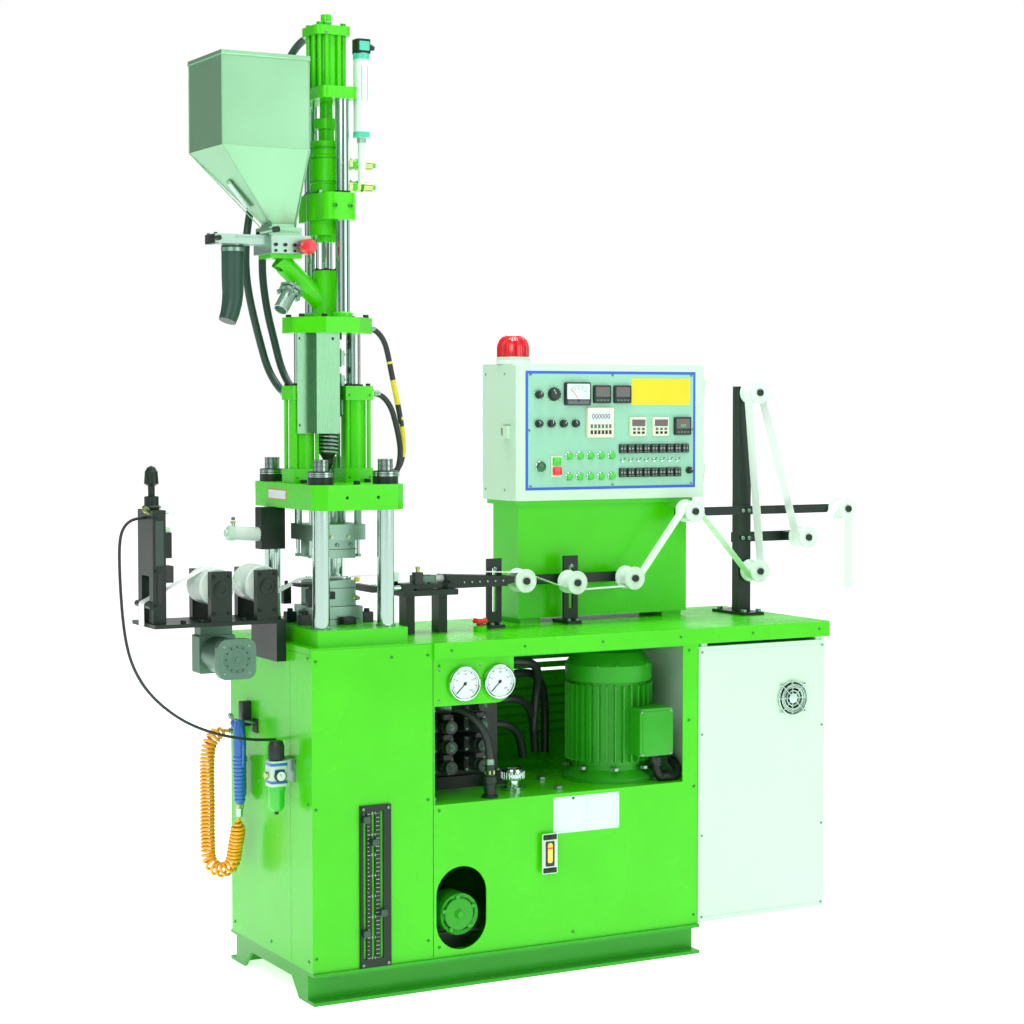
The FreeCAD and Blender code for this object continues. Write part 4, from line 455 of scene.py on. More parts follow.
class Piece:
    """A piece under construction, in machine millimetres."""

    effects: Effects

    def __init__(self, name: str) -> None:
        """Start an empty piece.

        Args:
            name: The name of its object.
        """
        self.name = name
        self.mesh = bmesh.new()
        self.finishes: list[Finish] = []
        self.base = Matrix()

    def _take(self, part: bmesh.types.BMesh, finish: Finish, place: Matrix) -> None:
        """Join a finished part to the piece.

        Args:
            part: The part's own bmesh, which is used up.
            finish: The finish of all its faces.
            place: Where it goes on the machine.
        """
        if finish not in self.finishes:
            self.finishes.append(finish)
        bmesh.ops.remove_doubles(part, verts=part.verts, dist=1e-4)
        bmesh.ops.recalc_face_normals(part, faces=part.faces)
        for face in part.faces:
            face.material_index = self.finishes.index(finish)
            face.smooth = True
        part.transform(self.base @ place)
        store = bpy.data.meshes.new("part")
        part.to_mesh(store)
        part.free()
        self.mesh.from_mesh(store)
        bpy.data.meshes.remove(store)

    def slab(self, centre: Point, size: Point, finish: Finish, side: Side = Side.FRONT,
             corner: float = 0.0, edge: float = 0.0, tilt: float = 0.0) -> None:
        """Add a plate or block that is mounted on a face.

        Args:
            centre: The middle of the face it is mounted on.
            size: Its width, its height and how far it stands out.
            finish: Its finish.
            side: Which way the face looks.
            corner: The radius of its four corners.
            edge: The radius of the rim round its outer face.
            tilt: A turn in its own plane, in degrees.
        """
        part = bmesh.new()
        bmesh.ops.create_cube(part, size=1.0)
        bmesh.ops.scale(part, vec=Vector(size), verts=part.verts)
        bmesh.ops.translate(part, vec=Vector((0, 0, size[2] / 2)), verts=part.verts)
        if corner:
            upright = [e for e in part.edges
                       if abs(e.verts[0].co.z - e.verts[1].co.z) > size[2] / 2]
            bmesh.ops.bevel(part, geom=upright, offset=corner, affect="EDGES", segments=4,
                            profile=0.5, material=-1)
        if edge:
            rim = [e for e in part.edges if min(v.co.z for v in e.verts) > size[2] - 1e-4]
            bmesh.ops.bevel(part, geom=rim, offset=edge, affect="EDGES", segments=2,
                            profile=0.5, material=-1)
        self._take(part, finish, Matrix.Translation(centre) @ side.turn()
                   @ Matrix.Rotation(math.radians(tilt), 4, "Z"))

    def turned(self, profile: Sequence[tuple[float, float]], start: Point, along: Point,
               finish: Finish, steps: int = 40) -> None:
        """Add a turned part.

        Args:
            profile: Its outline as (radius, height) points, from the axis to the axis.
            start: The point that heights are counted from.
            along: The direction of its axis.
            finish: Its finish.
            steps: How many flats stand for a full turn; six gives a hexagon.
        """
        part = bmesh.new()
        line = [part.verts.new((radius, 0.0, height)) for radius, height in profile]
        edges = [part.edges.new(pair) for pair in zip(line, line[1:])]
        bmesh.ops.spin(part, geom=line + edges, cent=(0, 0, 0), axis=UP,
                       angle=math.tau, steps=steps, use_merge=True)
        turn = Vector(UP).rotation_difference(Vector(along)).to_matrix().to_4x4()
        self._take(part, finish, Matrix.Translation(start) @ turn)

    def rod(self, start: Point, along: Point, radius: float, length: float, finish: Finish,
            steps: int = 28, soft: float = 0.0) -> None:
        """Add a round bar, its far end rounded where a radius is given.

        Args:
            start: The middle of its first end.
            along: Its direction.
            radius: Its radius.
            length: Its length.
            finish: Its finish.
            steps: How many flats stand for a full turn.
            soft: The radius of its far rim.
        """
        profile = [(0.0, 0.0), (radius, 0.0), (radius, length - soft)]
        if soft:
            profile.append((radius - 0.3 * soft, length - 0.3 * soft))
        profile += [(radius - soft, length), (0.0, length)]
        self.turned(profile, start, along, finish, steps)

    def hexagon(self, start: Point, along: Point, across: float, length: float,
                finish: Finish) -> None:
        """Add a hexagon nut or bolt head with chamfered corners."""
        radius = across / math.sqrt(3)
        cut = radius * 0.1
        self.turned([(0, 0), (radius - cut, 0), (radius, cut), (radius, length - cut),
                     (radius - cut, length), (0, length)], start, along, finish, 6)

    def cap_screw(self, start: Point, along: Point, radius: float,
                  finish: Finish = None) -> None:
        """Add a socket-head screw with its recess."""
        high = radius * 1.1
        socket = radius * 0.55
        self.turned([(0, high * 0.35), (socket, high * 0.35), (socket, high),
                     (radius * 0.88, high), (radius, high * 0.86), (radius, 0), (0, 0)],
                    start, along, finish or BLACK_PAINT, 18)

    def pan_screw(self, start: Point, side: Side, radius: float,
                  finish: Finish = None, tilt: float = 20.0) -> None:
        """Add a domed cross-head screw.

        Args:
            start: The middle of its seat.
            side: Which way it looks.
            radius: Its head's radius.
            finish: Its finish, steel if left out.
            tilt: How far its cross is turned, in degrees.
        """
        out = side.turn() @ Vector(UP)
        high = radius * 0.55
        self.turned([(0, 0), (radius, 0), (radius * 0.94, high * 0.5),
                     (radius * 0.6, high * 0.9), (0, high)], start, out,
                    finish or STEEL, 16)
        top = Vector(start) + out * (high * 0.86)
        for extra in (0.0, 90.0):
            self.slab(top, (radius * 1.1, radius * 0.24, high * 0.16), INK, side,
                      tilt=tilt + extra)

    def text(self, words: str, size: float, centre: Point, finish: Finish,
             side: Side = Side.FRONT, tilt: float = 0.0, depth: float = 0.25) -> None:
        """Add plain figures or marks as a thin raised solid.

        Args:
            words: What it says.
            size: The height of a line.
            centre: The middle of the words, on the face they are printed on.
            finish: The ink.
            side: Which way the face looks.
            tilt: A turn in the face's plane, in degrees.
            depth: How far the ink stands out.
        """
        curve = bpy.data.curves.new("words", "FONT")
        curve.body = words
        curve.size = size
        curve.align_x = "CENTER"
        curve.align_y = "CENTER"
        curve.extrude = depth / 2
        curve.resolution_u = 2
        holder = bpy.data.objects.new("words", curve)
        bpy.context.scene.collection.objects.link(holder)
        bpy.context.view_layer.update()
        flat = bpy.data.meshes.new_from_object(
            holder.evaluated_get(bpy.context.evaluated_depsgraph_get()))
        part = bmesh.new()
        part.from_mesh(flat)
        bpy.data.objects.remove(holder)
        bpy.data.curves.remove(curve)
        bpy.data.meshes.remove(flat)
        self._take(part, finish, Matrix.Translation(centre) @ side.turn()
                   @ Matrix.Rotation(math.radians(tilt), 4, "Z")
                   @ Matrix.Translation((0, 0, depth / 2)))

    def bar(self, start: Point, end: Point, radius: float, finish: Finish,
            steps: int = 14) -> None:
        """Add a straight round bar between two points."""
        way = Vector(end) - Vector(start)
        self.rod(start, way, radius, way.length, finish, steps)

    def finish(self, body: str, *replaced: str) -> bpy.types.Object:
        """Make the object, in the frame's metres, riding on its body.

        Args:
            body: The body that it moves with.
            *replaced: CAD nodes that it stands for.

        Returns:
            The new object.
        """
        self.mesh.transform(Matrix.Scale(MM, 4) @ Matrix.Translation(-ORIGIN))
        data = bpy.data.meshes.new(self.name)
        self.mesh.to_mesh(data)
        self.mesh.free()
        data.set_sharp_from_angle(angle=math.radians(32))
        for finish in self.finishes:
            data.materials.append(finish.material(self.effects))
        made = bpy.data.objects.new(self.name, data)
        bpy.context.scene.collection.objects.link(made)
        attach(made, body)
        if replaced:
            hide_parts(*replaced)
        LOG.info("%s: %d faces on %s", self.name, len(data.polygons), body)
        return made


class Hose:
    """A hose, tube or cable laid on one smooth curve through listed points."""

    def __init__(self, name: str, route: Sequence[Point], radius: float, finish: Finish,
                 order: int = 3) -> None:
        """Lay the curve.

        Args:
            name: The name of its object.
            route: Its control points, in machine millimetres.
            radius: Its radius in millimetres.
            finish: Its finish.
            order: The spline's order.
        """
        self.name = name
        self.finish = finish
        self.radius = radius
        self.curve = bpy.data.curves.new(name, "CURVE")
        self.curve.dimensions = "3D"
        self.curve.resolution_u = 6
        spline = self.curve.splines.new("NURBS")
        spline.points.add(len(route) - 1)
        for point, where in zip(spline.points, route):
            point.co = (*at(*where), 1.0)
        spline.order_u = order
        spline.use_endpoint_u = True
        self.object = bpy.data.objects.new(name, self.curve)
        bpy.context.scene.collection.objects.link(self.object)

    def line(self) -> list[Vector]:
        """The smooth line's own points, in the frame's metres."""
        bpy.context.view_layer.update()
        graph = bpy.context.evaluated_depsgraph_get()
        flat = bpy.data.meshes.new_from_object(self.object.evaluated_get(graph))
        points = [v.co.copy() for v in flat.vertices]
        bpy.data.meshes.remove(flat)
        return points

    def lay(self, body: str, *replaced: str) -> bpy.types.Object:
        """Give the curve its thickness and let it ride on a body.

        Args:
            body: The body that it moves with.
            *replaced: CAD nodes that it stands for.

        Returns:
            The curve's object.
        """
        self.curve.bevel_depth = self.radius * MM
        self.curve.bevel_resolution = 5
        self.curve.use_fill_caps = True
        self.curve.materials.append(self.finish.material(Piece.effects))
        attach(self.object, body)
        if replaced:
            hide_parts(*replaced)
        LOG.info("%s: hose on %s", self.name, body)
        return self.object

    def solid(self, faces: int = 5) -> bpy.types.Object:
        """Turn the curve into a tube of its thickness.

        Args:
            faces: How round the tube is, as the curve's bevel resolution.

        Returns:
            The mesh object, which takes the curve's place.
        """
        self.curve.bevel_depth = self.radius * MM
        self.curve.bevel_resolution = faces
        self.curve.use_fill_caps = True
        bpy.context.view_layer.update()
        graph = bpy.context.evaluated_depsgraph_get()
        data = bpy.data.meshes.new_from_object(self.object.evaluated_get(graph))
        bpy.data.objects.remove(self.object)
        data.name = self.name
        data.materials.clear()
        data.materials.append(self.finish.material(Piece.effects))
        made = bpy.data.objects.new(self.name, data)
        bpy.context.scene.collection.objects.link(made)
        return made

    def span(self, low_body: str, high_body: str, start: Point, end: Point,
             *replaced: str, bands: Sequence[tuple[float, float]] = ()
             ) -> bpy.types.Object:
        """Make the hose a mesh that stays fixed in the frame.

        Args:
            low_body: The body at its start.
            high_body: The body at its end.
            start: Not used.
            end: Not used.
            *replaced: CAD nodes that it stands for.
            bands: The heights between which the hose is marked yellow.

        Returns:
            The mesh object.
        """
        made = self.solid()
        made.data.materials.append(YELLOW_MARK.material(Piece.effects))
        for face in made.data.polygons:
            height = face.center.z / MM
            face.material_index = int(any(low < height < high for low, high in bands))
        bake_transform(made)
        if replaced:
            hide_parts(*replaced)
        LOG.info("%s: hose between %s and %s", self.name, low_body, high_body)
        return made


def crimp(piece: Piece, start: Point, along: Point, radius: float,
          nut: Finish = BRASS) -> None:
    """Add a hose end: a crimped sleeve with its ribs, and the union nut before it.

    Args:
        piece: The piece that it joins.
        start: The face of the port.
        along: The way the hose leaves.
        radius: The hose's radius.
        nut: The nut's finish.
    """
    start = Vector(start)
    along = Vector(along).normalized()
    piece.hexagon(start, along, radius * 2.5, radius * 1.2, nut)
    sleeve = [(0, 0), (radius * 1.05, 0)]
    for rib in range(4):
        low = radius * (0.2 + 0.55 * rib)
        sleeve += [(radius * 1.22, low), (radius * 1.22, low + radius * 0.35),
                   (radius * 1.12, low + radius * 0.45)]
    sleeve += [(radius * 1.12, radius * 2.6), (0, radius * 2.6)]
    piece.turned(sleeve, start + along * (radius * 1.2), along, STEEL, 24)


# ---------------------------------------------------------------- studio


@dataclass
class Studio:
    """The camera, the floor and the soft lights round the machine."""

    eye: tuple[float, float, float] = (-2.578, -4.971, 1.400)
    turn: float = 28.6
    dip: float = 2.756
    lens: float = 78.15
    floor_side: float = 60.0
    room_light: float = 0.5

    def camera(self) -> None:
        """Set up the camera and make it the scene's own."""
        data = bpy.data.cameras.new("camera")
        data.lens = self.lens
        data.sensor_width = 36.0
        data.clip_end = 200.0
        made = bpy.data.objects.new("camera", data)
        bpy.context.scene.collection.objects.link(made)
        made.location = self.eye
        made.rotation_euler = (math.radians(90.0 - self.dip), 0.0,
                               math.radians(-self.turn))
        bpy.context.scene.camera = made

    def floor(self) -> None:
        """Lay the plain pale floor."""
        mesh = bmesh.new()
        bmesh.ops.create_grid(mesh, x_segments=1, y_segments=1, size=self.floor_side / 2)
        data = bpy.data.meshes.new("floor")
        mesh.to_mesh(data)
        mesh.free()
        pale = bpy.data.materials.new("pale_floor")
        pale.use_nodes = True
        shader = pale.node_tree.nodes["Principled BSDF"]
        shader.inputs["Base Color"].default_value = (0.93, 0.96, 0.95, 1.0)
        shader.inputs["Roughness"].default_value = 0.9
        shader.inputs["Emission Color"].default_value = (1.0, 1.0, 1.0, 1.0)
        shader.inputs["Emission Strength"].default_value = 0.7
        data.materials.append(pale)
        made = bpy.data.objects.new("floor", data)
        bpy.context.scene.collection.objects.link(made)

    def lamp(self, name: str, place: Point, aim: Point, side: float, power: float) -> None:
        """Hang one soft square light.

        Args:
            name: Its name.
            place: Where it hangs, in metres.
            aim: The point it looks at.
            side: The length of its sides.
            power: Its power in watts.
        """
        data = bpy.data.lights.new(name, "AREA")
        data.shape = "SQUARE"
        data.size = side
        data.energy = power
        made = bpy.data.objects.new(name, data)
        bpy.context.scene.collection.objects.link(made)
        made.location = place
        way = Vector(aim) - Vector(place)
        made.rotation_euler = way.to_track_quat("-Z", "Y").to_euler()

    def build(self) -> None:
        """Set up everything that isn't the machine."""
        self.camera()
        self.floor()
        middle = (0.1, 0.0, 1.1)
        self.lamp("key_light", (-3.2, -3.6, 3.8), middle, 2.6, 80.0)
        self.lamp("front_fill", (2.4, -4.6, 2.4), middle, 3.0, 42.0)
        self.lamp("top_light", (0.2, -0.2, 4.6), (0.2, 0.0, 0.8), 2.4, 135.0)
        self.lamp("rim_light", (2.6, 3.0, 3.4), middle, 2.5, 80.0)
        world = bpy.data.worlds.new("soft_room")
        world.use_nodes = True
        tree = Tree(world.node_tree)
        sky = world.node_tree.nodes["Background"]
        sky.inputs["Color"].default_value = (1, 1, 1, 1)
        seen = tree.node("ShaderNodeLightPath").outputs["Is Camera Ray"]
        ways = tree.node("ShaderNodeSeparateXYZ")
        tree.join(tree.node("ShaderNodeTexCoord").outputs["Generated"], ways.inputs[0])
        round_way = tree.sum("ARCTAN2", ways.outputs["Y"], ways.outputs["X"])
        wave = tree.sum("SINE", tree.sum("MULTIPLY_ADD", round_way, 5.0), 0.0)
        wave.node.inputs[0].links[0].from_node.inputs[2].default_value = 0.9
        room = tree.sum("MULTIPLY_ADD", wave, self.room_light * 0.75)
        room.node.inputs[2].default_value = self.room_light
        tree.join(tree.sum("MAXIMUM", room, seen), sky.inputs["Strength"])
        bpy.context.scene.world = world
        bpy.context.scene.view_settings.view_transform = "Standard"


# ---------------------------------------------------------------- hoses and cords


LOOP_ROUTE = ((-320.3, 228, 1138), (-346, 226, 1137), (-367, 222, 1126), (-381, 217, 1107),
              (-388, 211, 1080), (-391, 204, 1044), (-392, 198, 1000), (-391, 193, 950),
              (-388, 190, 900), (-382, 188, 852), (-370, 188, 806), (-350, 188, 764),
              (-322, 188, 726), (-286, 188, 692), (-244, 190, 662), (-196, 194, 638),
              (-142, 200, 619), (-86, 207, 606), (-40, 214, 599), (-0.3, 218, 597))
CURLY_ROUTE = ((-34.4, 440, 592), (-56, 440, 592), (-76, 440, 578), (-88, 440, 556),
               (-91, 440, 516), (-91, 440.5, 464), (-90, 440, 410), (-91, 441, 362),
               (-90, 440, 318), (-90, 440, 281.6), (-84.4, 431.4, 263.6),
               (-74.6, 416.2, 253.3), (-63.4, 398.8, 253.3), (-53.6, 383.6, 263.6),
               (-48, 375, 281.6), (-46.5, 368, 316), (-43.5, 356, 352), (-43, 350, 392))
BAY_HOSE_ROUTE = ((486, 36, 525.3), (486.5, 37, 569), (474, 49.4, 613), (452, 74, 646),
                  (424.5, 104.7, 662), (400, 131.5, 663))
CYLINDER_HOSE_ROUTE = (
    (130, 275.8, 2293), (130, 317, 2292), (120, 354, 2275), (110, 383, 2244),
    (98, 398, 2204), (86, 402, 2160), (73, 401, 2112), (58, 397, 2058), (43, 392, 2002),
    (28, 388, 1946), (13, 384, 1892), (1, 381, 1838), (-5, 380, 1782), (-5, 380, 1728),
    (2, 381, 1676), (13, 382, 1627), (25, 382, 1581), (36, 381.3, 1540.6),
    (44, 375.7, 1505), (51, 358.8, 1473), (56, 332.5, 1448.6), (59.5, 299.6, 1430),
    (60, 265.2, 1429))
FLANGE_HOSE_ROUTE = (
    (150, 312.6, 2142), (150, 350, 2141), (143, 383, 2127), (136, 407, 2100),
    (126, 418, 2064), (112, 419, 2022), (96, 415, 1976), (79, 409, 1928), (63, 402, 1878),
    (50, 396, 1826), (43, 391, 1772), (42, 388, 1716), (48, 386, 1660), (57, 384, 1610),
    (66, 382.5, 1574), (74, 381.3, 1540.6), (81, 375.7, 1505), (86, 358.8, 1473),
    (90, 332.5, 1448.6), (92.2, 299.6, 1430), (92.5, 265.2, 1429))
CARRIAGE_HOSE_ROUTE = (
    (248.6, 240, 1588), (272, 240, 1587), (291, 240, 1572), (304, 240, 1551),
    (312, 240, 1522), (320, 240, 1484), (330, 240, 1438), (341, 240, 1388),
    (350, 240, 1338), (354, 240, 1294), (349, 240, 1262), (335, 240, 1238),
    (318, 240, 1230), (301, 240, 1230))
LIFT_HOSE_ROUTE = (
    (249.2, 212, 1429), (274, 212, 1428), (295, 212, 1411), (309, 212, 1388),
    (318, 212, 1358), (327, 212, 1322), (332, 212, 1288), (329, 212, 1260),
    (323, 212, 1238), (313, 212, 1231), (301, 212, 1230))


@dataclass
class Plumbing:
    """The hydraulic hoses and the two free cords: the loop tube and the curly air hose."""

    big_radius: float = 9.5
    small_radius: float = 7.0
    bay_radius: float = 10.0
    loop_radius: float = 3.5
    coil_radius: float = 15.6
    coil_tube: float = 4.0
    coil_pitch: float = 9.2
    turn_points: int = 14

    def cords(self) -> None:
        """Make the two free cords."""
        loop = Hose("loop_tube_soft", LOOP_ROUTE, self.loop_radius, RUBBER).lay(
            "root", "loop_tube")
        guide = Hose("curly_guide", CURLY_ROUTE, self.coil_tube, ORANGE)
        middle = guide.line()
        bpy.data.objects.remove(guide.object)
        turns = self.coil(middle)
        curly = Hose("curly_hose_coil", turns, self.coil_tube, ORANGE)
        curly.curve.resolution_u = 3
        path = curly.line()
        made = curly.solid(faces=2)
        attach(made, "root")
        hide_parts("curly_hose")

    def coil(self, middle: list[Vector]) -> list[Vector]:
        """The points of the curly hose, wound round its smooth middle line.

        The turns open out where the middle line bends, so that they don't lie in each
        other on the inside of the bend.

        Args:
            middle: The smooth middle line, in the frame's metres.

        Returns:
            The coil's points, in machine millimetres.
        """
        line = [p / MM + ORIGIN for p in middle]
        run = [0.0]
        for a, b in zip(line, line[1:]):
            run.append(run[-1] + (b - a).length)
        whole = run[-1]
        step = self.coil_pitch / self.turn_points
        side = Vector((0, 1, 0))
        points, angle, gone, i = [line[0]], 0.0, 0.0, 0
        while gone < whole:
            while i < len(run) - 2 and run[i + 1] < gone:
                i += 1
            here = line[i].lerp(line[i + 1], (gone - run[i]) / (run[i + 1] - run[i]))
            along = (line[i + 1] - line[i]).normalized()
            side = (side - along * side.dot(along)).normalized()
            last = max(0, i - 8), min(len(line) - 1, i + 9)
            before = (line[i] - line[last[0]]).normalized() if i else along
            after = (line[last[1]] - line[i]).normalized()
            bend = before.angle(after, 0.0) / max(1.0, (run[last[1]] - run[last[0]]) / 2)
            ends = min(1.0, gone / 34.0, (whole - gone) / 34.0)
            radius = self.coil_radius * ends * ends * (3 - 2 * ends)
            room = max(0.45, 1 - (self.coil_radius + 1) * bend)
            pitch = max(self.coil_pitch, (2 * self.coil_tube + 0.5) / room)
            angle += math.tau / self.turn_points
            gone += pitch / self.turn_points
            if 5.0 < gone < whole - 5.0:
                points.append(here + (side * math.cos(angle)
                                      + along.cross(side) * math.sin(angle)) * radius)
        LOG.info("curly hose: %d turns at %.2f mm steps", int(angle / math.tau), step)
        return points + [line[-1]]

    def hoses(self) -> None:
        """Make the hydraulic hoses; those that run between two bodies are fixed meshes."""
        Hose("bay_hose", BAY_HOSE_ROUTE, self.bay_radius, RUBBER).lay("root", "bay_hoses")
        Hose("lift_hose_short", LIFT_HOSE_ROUTE, self.small_radius, RUBBER).lay(
            "clamp", "lift_hose")
        for name, route in (("cylinder_hose", CYLINDER_HOSE_ROUTE),
                            ("flange_hose", FLANGE_HOSE_ROUTE)):
            Hose(name, route, self.big_radius, GREEN_HOSE).span(
                "carriage", "clamp", (60, 382, 1860), (60, 382, 1440), "tower_hoses")
        Hose("carriage_hose", CARRIAGE_HOSE_ROUTE, self.small_radius, RUBBER).span(
            "carriage", "clamp", (300, 240, 1575), (300, 240, 1245), "tower_hoses",
            bands=((1270, 1350), (1366, 1372), (1400, 1460), (1500, 1506)))

    def ends(self) -> None:
        """Make the crimped ends of the hoses."""
        bay = Piece("bay_hose_ends")
        crimp(bay, (486, 36, 500), (0.01, 0.02, 1), self.bay_radius)
        crimp(bay, (397, 134.5, 663), (0.67, -0.74, 0), self.bay_radius, STEEL)
        bay.finish("root")
        low = Piece("clamp_hose_ends")
        crimp(low, (249, 212, 1429), (1, 0, -0.02), self.small_radius)
        crimp(low, (301, 212, 1230), (0.55, 0, 0.03), self.small_radius * 0.92)
        crimp(low, (301, 240, 1230), (0.55, 0, 0.03), self.small_radius * 0.92)
        crimp(low, (60, 264, 1429), (0, 1, 0.02), self.big_radius, STEEL)
        crimp(low, (92.5, 264, 1429), (0, 1, 0.02), self.big_radius, STEEL)
        low.finish("clamp")
        high = Piece("carriage_hose_ends")
        crimp(high, (130, 275, 2293), (0, 1, -0.02), self.big_radius, STEEL)
        crimp(high, (150, 312, 2142), (0, 1, -0.02), self.big_radius, STEEL)
        crimp(high, (248, 240, 1588), (1, 0, -0.05), self.small_radius)
        high.finish("carriage")

    def build(self) -> None:
        """Make every hose."""
        self.cords()
        self.hoses()
        self.ends()


@dataclass
class TapePath:
    """The carrier tape."""

    width: float = 36.0
    length: float = 4014.0

    def tape(self) -> None:
        """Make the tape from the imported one, joined up and smooth."""
        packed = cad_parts["tape"]
        mesh = bmesh.new()
        mesh.from_mesh(packed.data)
        bmesh.ops.remove_doubles(mesh, verts=mesh.verts, dist=1e-6)
        bmesh.ops.recalc_face_normals(mesh, faces=mesh.faces)
        for face in mesh.faces:
            face.smooth = True
            face.material_index = 0
        data = bpy.data.meshes.new("carrier_tape")
        mesh.to_mesh(data)
        mesh.free()
        data.set_sharp_from_angle(angle=math.radians(40))
        data.materials.clear()
        data.materials.append(TAPE.material(Piece.effects))
        made = bpy.data.objects.new("carrier_tape", data)
        bpy.context.scene.collection.objects.link(made)
        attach(made, "root")
        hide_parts("tape")

    def build(self) -> None:
        """Make the tape."""
        self.tape()


# ---------------------------------------------------------------- cabinets and bench


@dataclass
class Cabinets:
    """Screws, seams, scales and plates on the cabinets."""

    press_width: float = 314.0
    body_right: float = 1070.0
    scale_x: float = 120.0
    scale_low: float = 75.0
    slots: tuple[float, ...] = (132.0, 154.0, 176.0)

    def screws(self) -> None:
        """The pan screws that hold the sheet panels."""
        piece = Piece("panel_screws")
        for x, z in ((10, 806), (10, 460), (10, 110), (300, 806), (300, 460), (300, 120),
                     (205, 806), (200, 92)):
            piece.pan_screw((x, 0, z), Side.FRONT, 4.2, GREEN_DEEP)
        for y, z in ((22, 812), (240, 812), (488, 812), (22, 470), (488, 470), (22, 100),
                     (250, 100), (488, 100)):
            piece.pan_screw((0, y, z), Side.LEFT, 4.2, GREEN_DEEP)
        for x, z in ((330, 778), (330, 430), (330, 100), (1056, 430), (1056, 100),
                     (700, 96), (700, 430), (1040, 778), (1040, 600)):
            piece.pan_screw((x, 0, z), Side.FRONT, 4.2, GREEN_DEEP)
        for x in (360, 560, 780, 1010, 1230, 1440):
            piece.pan_screw((x, -8, 814), Side.FRONT, 4.0, GREEN_DEEP)
        for z in (90, 300, 560, 770):
            piece.pan_screw((1456, 0, z), Side.FRONT, 3.6, STEEL)
            piece.pan_screw((1080, 0, z), Side.FRONT, 3.6, STEEL)
        for y in (40, 250, 470):
            piece.pan_screw((1465, y, 762), Side.RIGHT, 3.6, STEEL)
            piece.pan_screw((1465, y, 102), Side.RIGHT, 3.6, STEEL)
        for x in (40, 280, 360, 700, 1040):
            for z in (110, 420):
                piece.pan_screw((x, 510, z), Side.BACK, 4.2, GREEN_DEEP)
        piece.finish("root")

    def joints(self) -> None:
        """Dark hairline joints between the panels."""
        piece = Piece("panel_joints")
        piece.slab((314, 0, 436), (1.6, 716, 0.25), INK)
        piece.slab((157, 0, 832.4), (312, 1.2, 0.25), GREEN_DEEP)
        piece.slab((0, 128, 436), (1.2, 716, 0.25), GREEN_DEEP, Side.LEFT)
        piece.slab((0, 255, 820.4), (505, 1.2, 0.25), GREEN_DEEP, Side.LEFT)
        piece.slab((1067, 0, 430), (1.6, 700, 0.25), GREEN_DEEP)
        piece.slab((1268, 0, 774), (386, 1.0, 0.25), PALE_INK)
        piece.slab((1268, 0, 90), (386, 1.0, 0.25), PALE_INK)
        piece.finish("root")

    def scale(self) -> None:
        """The three stroke scales: marks, numbers and slot rims on the black plate."""
        piece = Piece("stroke_scales")
        face = -6.0
        for index, x in enumerate(self.slots):
            for wide in (-5.6, 5.6):
                piece.slab((x + wide, face, 270), (1.0, 352, 0.1), BLACK_PAINT)
            side = 1 if index < 2 else -1
            for step in range(36):
                z = 97 + step * 9.8
                long = 6.5 if step % 5 == 0 else 3.6
                piece.slab((x + side * (6.8 + long / 2), face, z), (long, 0.9, 0.1),
                           WHITE_INK)
                if step % 5 == 0 and index != 1:
                    piece.text(str(step // 5), 7.5, (x + side * 18, face, z), WHITE_INK, depth=0.1)
        for x in (127, 192):
            for z in (82, 452):
                piece.cap_screw((x, face, z), (0, -1, 0), 3.4, STEEL)
        piece.finish("root")

    def plate(self) -> None:
        """The bare white plate with its thin frame and rivets."""
        piece = Piece("bare_plate")
        x, z, wide, tall = 738.5, 390.0, 189.0, 90.0
        piece.slab((x, 0, z), (wide, tall, 1.0), DIAL, corner=2.5, edge=0.4)
        for dz in (-tall / 2 + 5, tall / 2 - 5):
            piece.slab((x, -1, z + dz), (wide - 14, 0.8, 0.15), PALE_INK)
        for dx in (-wide / 2 + 7, 0, wide / 2 - 7):
            piece.slab((x + dx, -1, z), (0.8, tall - 10, 0.15), PALE_INK)
        for dx in (-wide / 2 + 3.5, wide / 2 - 3.5):
            for dz in (-tall / 2 + 3.5, tall / 2 - 3.5):
                piece.turned([(0, 0), (2.2, 0), (1.8, 0.9), (0, 1.3)],
                             (x + dx, -1, z + dz), (0, -1, 0), STEEL, 14)
        piece.finish("root")

    def level_gauge(self) -> None:
        """The oil level gauge: body, end caps, slot and amber glass."""
        piece = Piece("oil_level_gauge")
        x, z = 626.5, 300.5
        piece.slab((x, -13.6, z), (43.6, 99.6, 1.0), WHITE_PAINT, corner=4, edge=0.8)
        for dz in (-41, 41):
            piece.slab((x, -14.2, z + dz), (38, 13, 1.6), BLACK_PAINT, corner=2, edge=0.6)
            piece.cap_screw((x, -14.2, z + dz), (0, -1, 0), 3.6, BLACK_PAINT)
        piece.slab((x, -14.4, z), (25, 62, 1.2), BLACK_PLASTIC, corner=3)
        piece.slab((x, -15.4, z + 2), (14, 50, 1.4), AMBER_GLASS, corner=6, edge=0.6)
        piece.slab((x, -16.6, z + 14), (14.4, 3.4, 0.5), RED)
        piece.finish("root")

    def fan_guard(self) -> None:
        """The cooling fan's wire guard, frame and screws on the white cabinet."""
        piece = Piece("fan_guard")
        x, z, face = 1360.0, 637.0, -6.6
        for radius in (12, 20, 28, 36, 43.5):
            self.ring(piece, (x, face, z), radius, 1.25)
        for turn in range(4):
            angle = math.radians(45 + 90 * turn)
            tip = (x + 50 * math.cos(angle), face + 0.6, z + 50 * math.sin(angle))
            piece.bar((x + 8 * math.cos(angle), face, z + 8 * math.sin(angle)), tip, 1.3,
                      CHROME)
            piece.pan_screw((tip[0], face + 1.4, tip[2]), Side.FRONT, 4.2, CHROME)
        piece.turned([(0, 0), (13, 0), (12.4, 1.6), (0, 2.0)], (x, face + 0.5, z),
                     (0, -1, 0), CHROME)
        piece.finish("root")

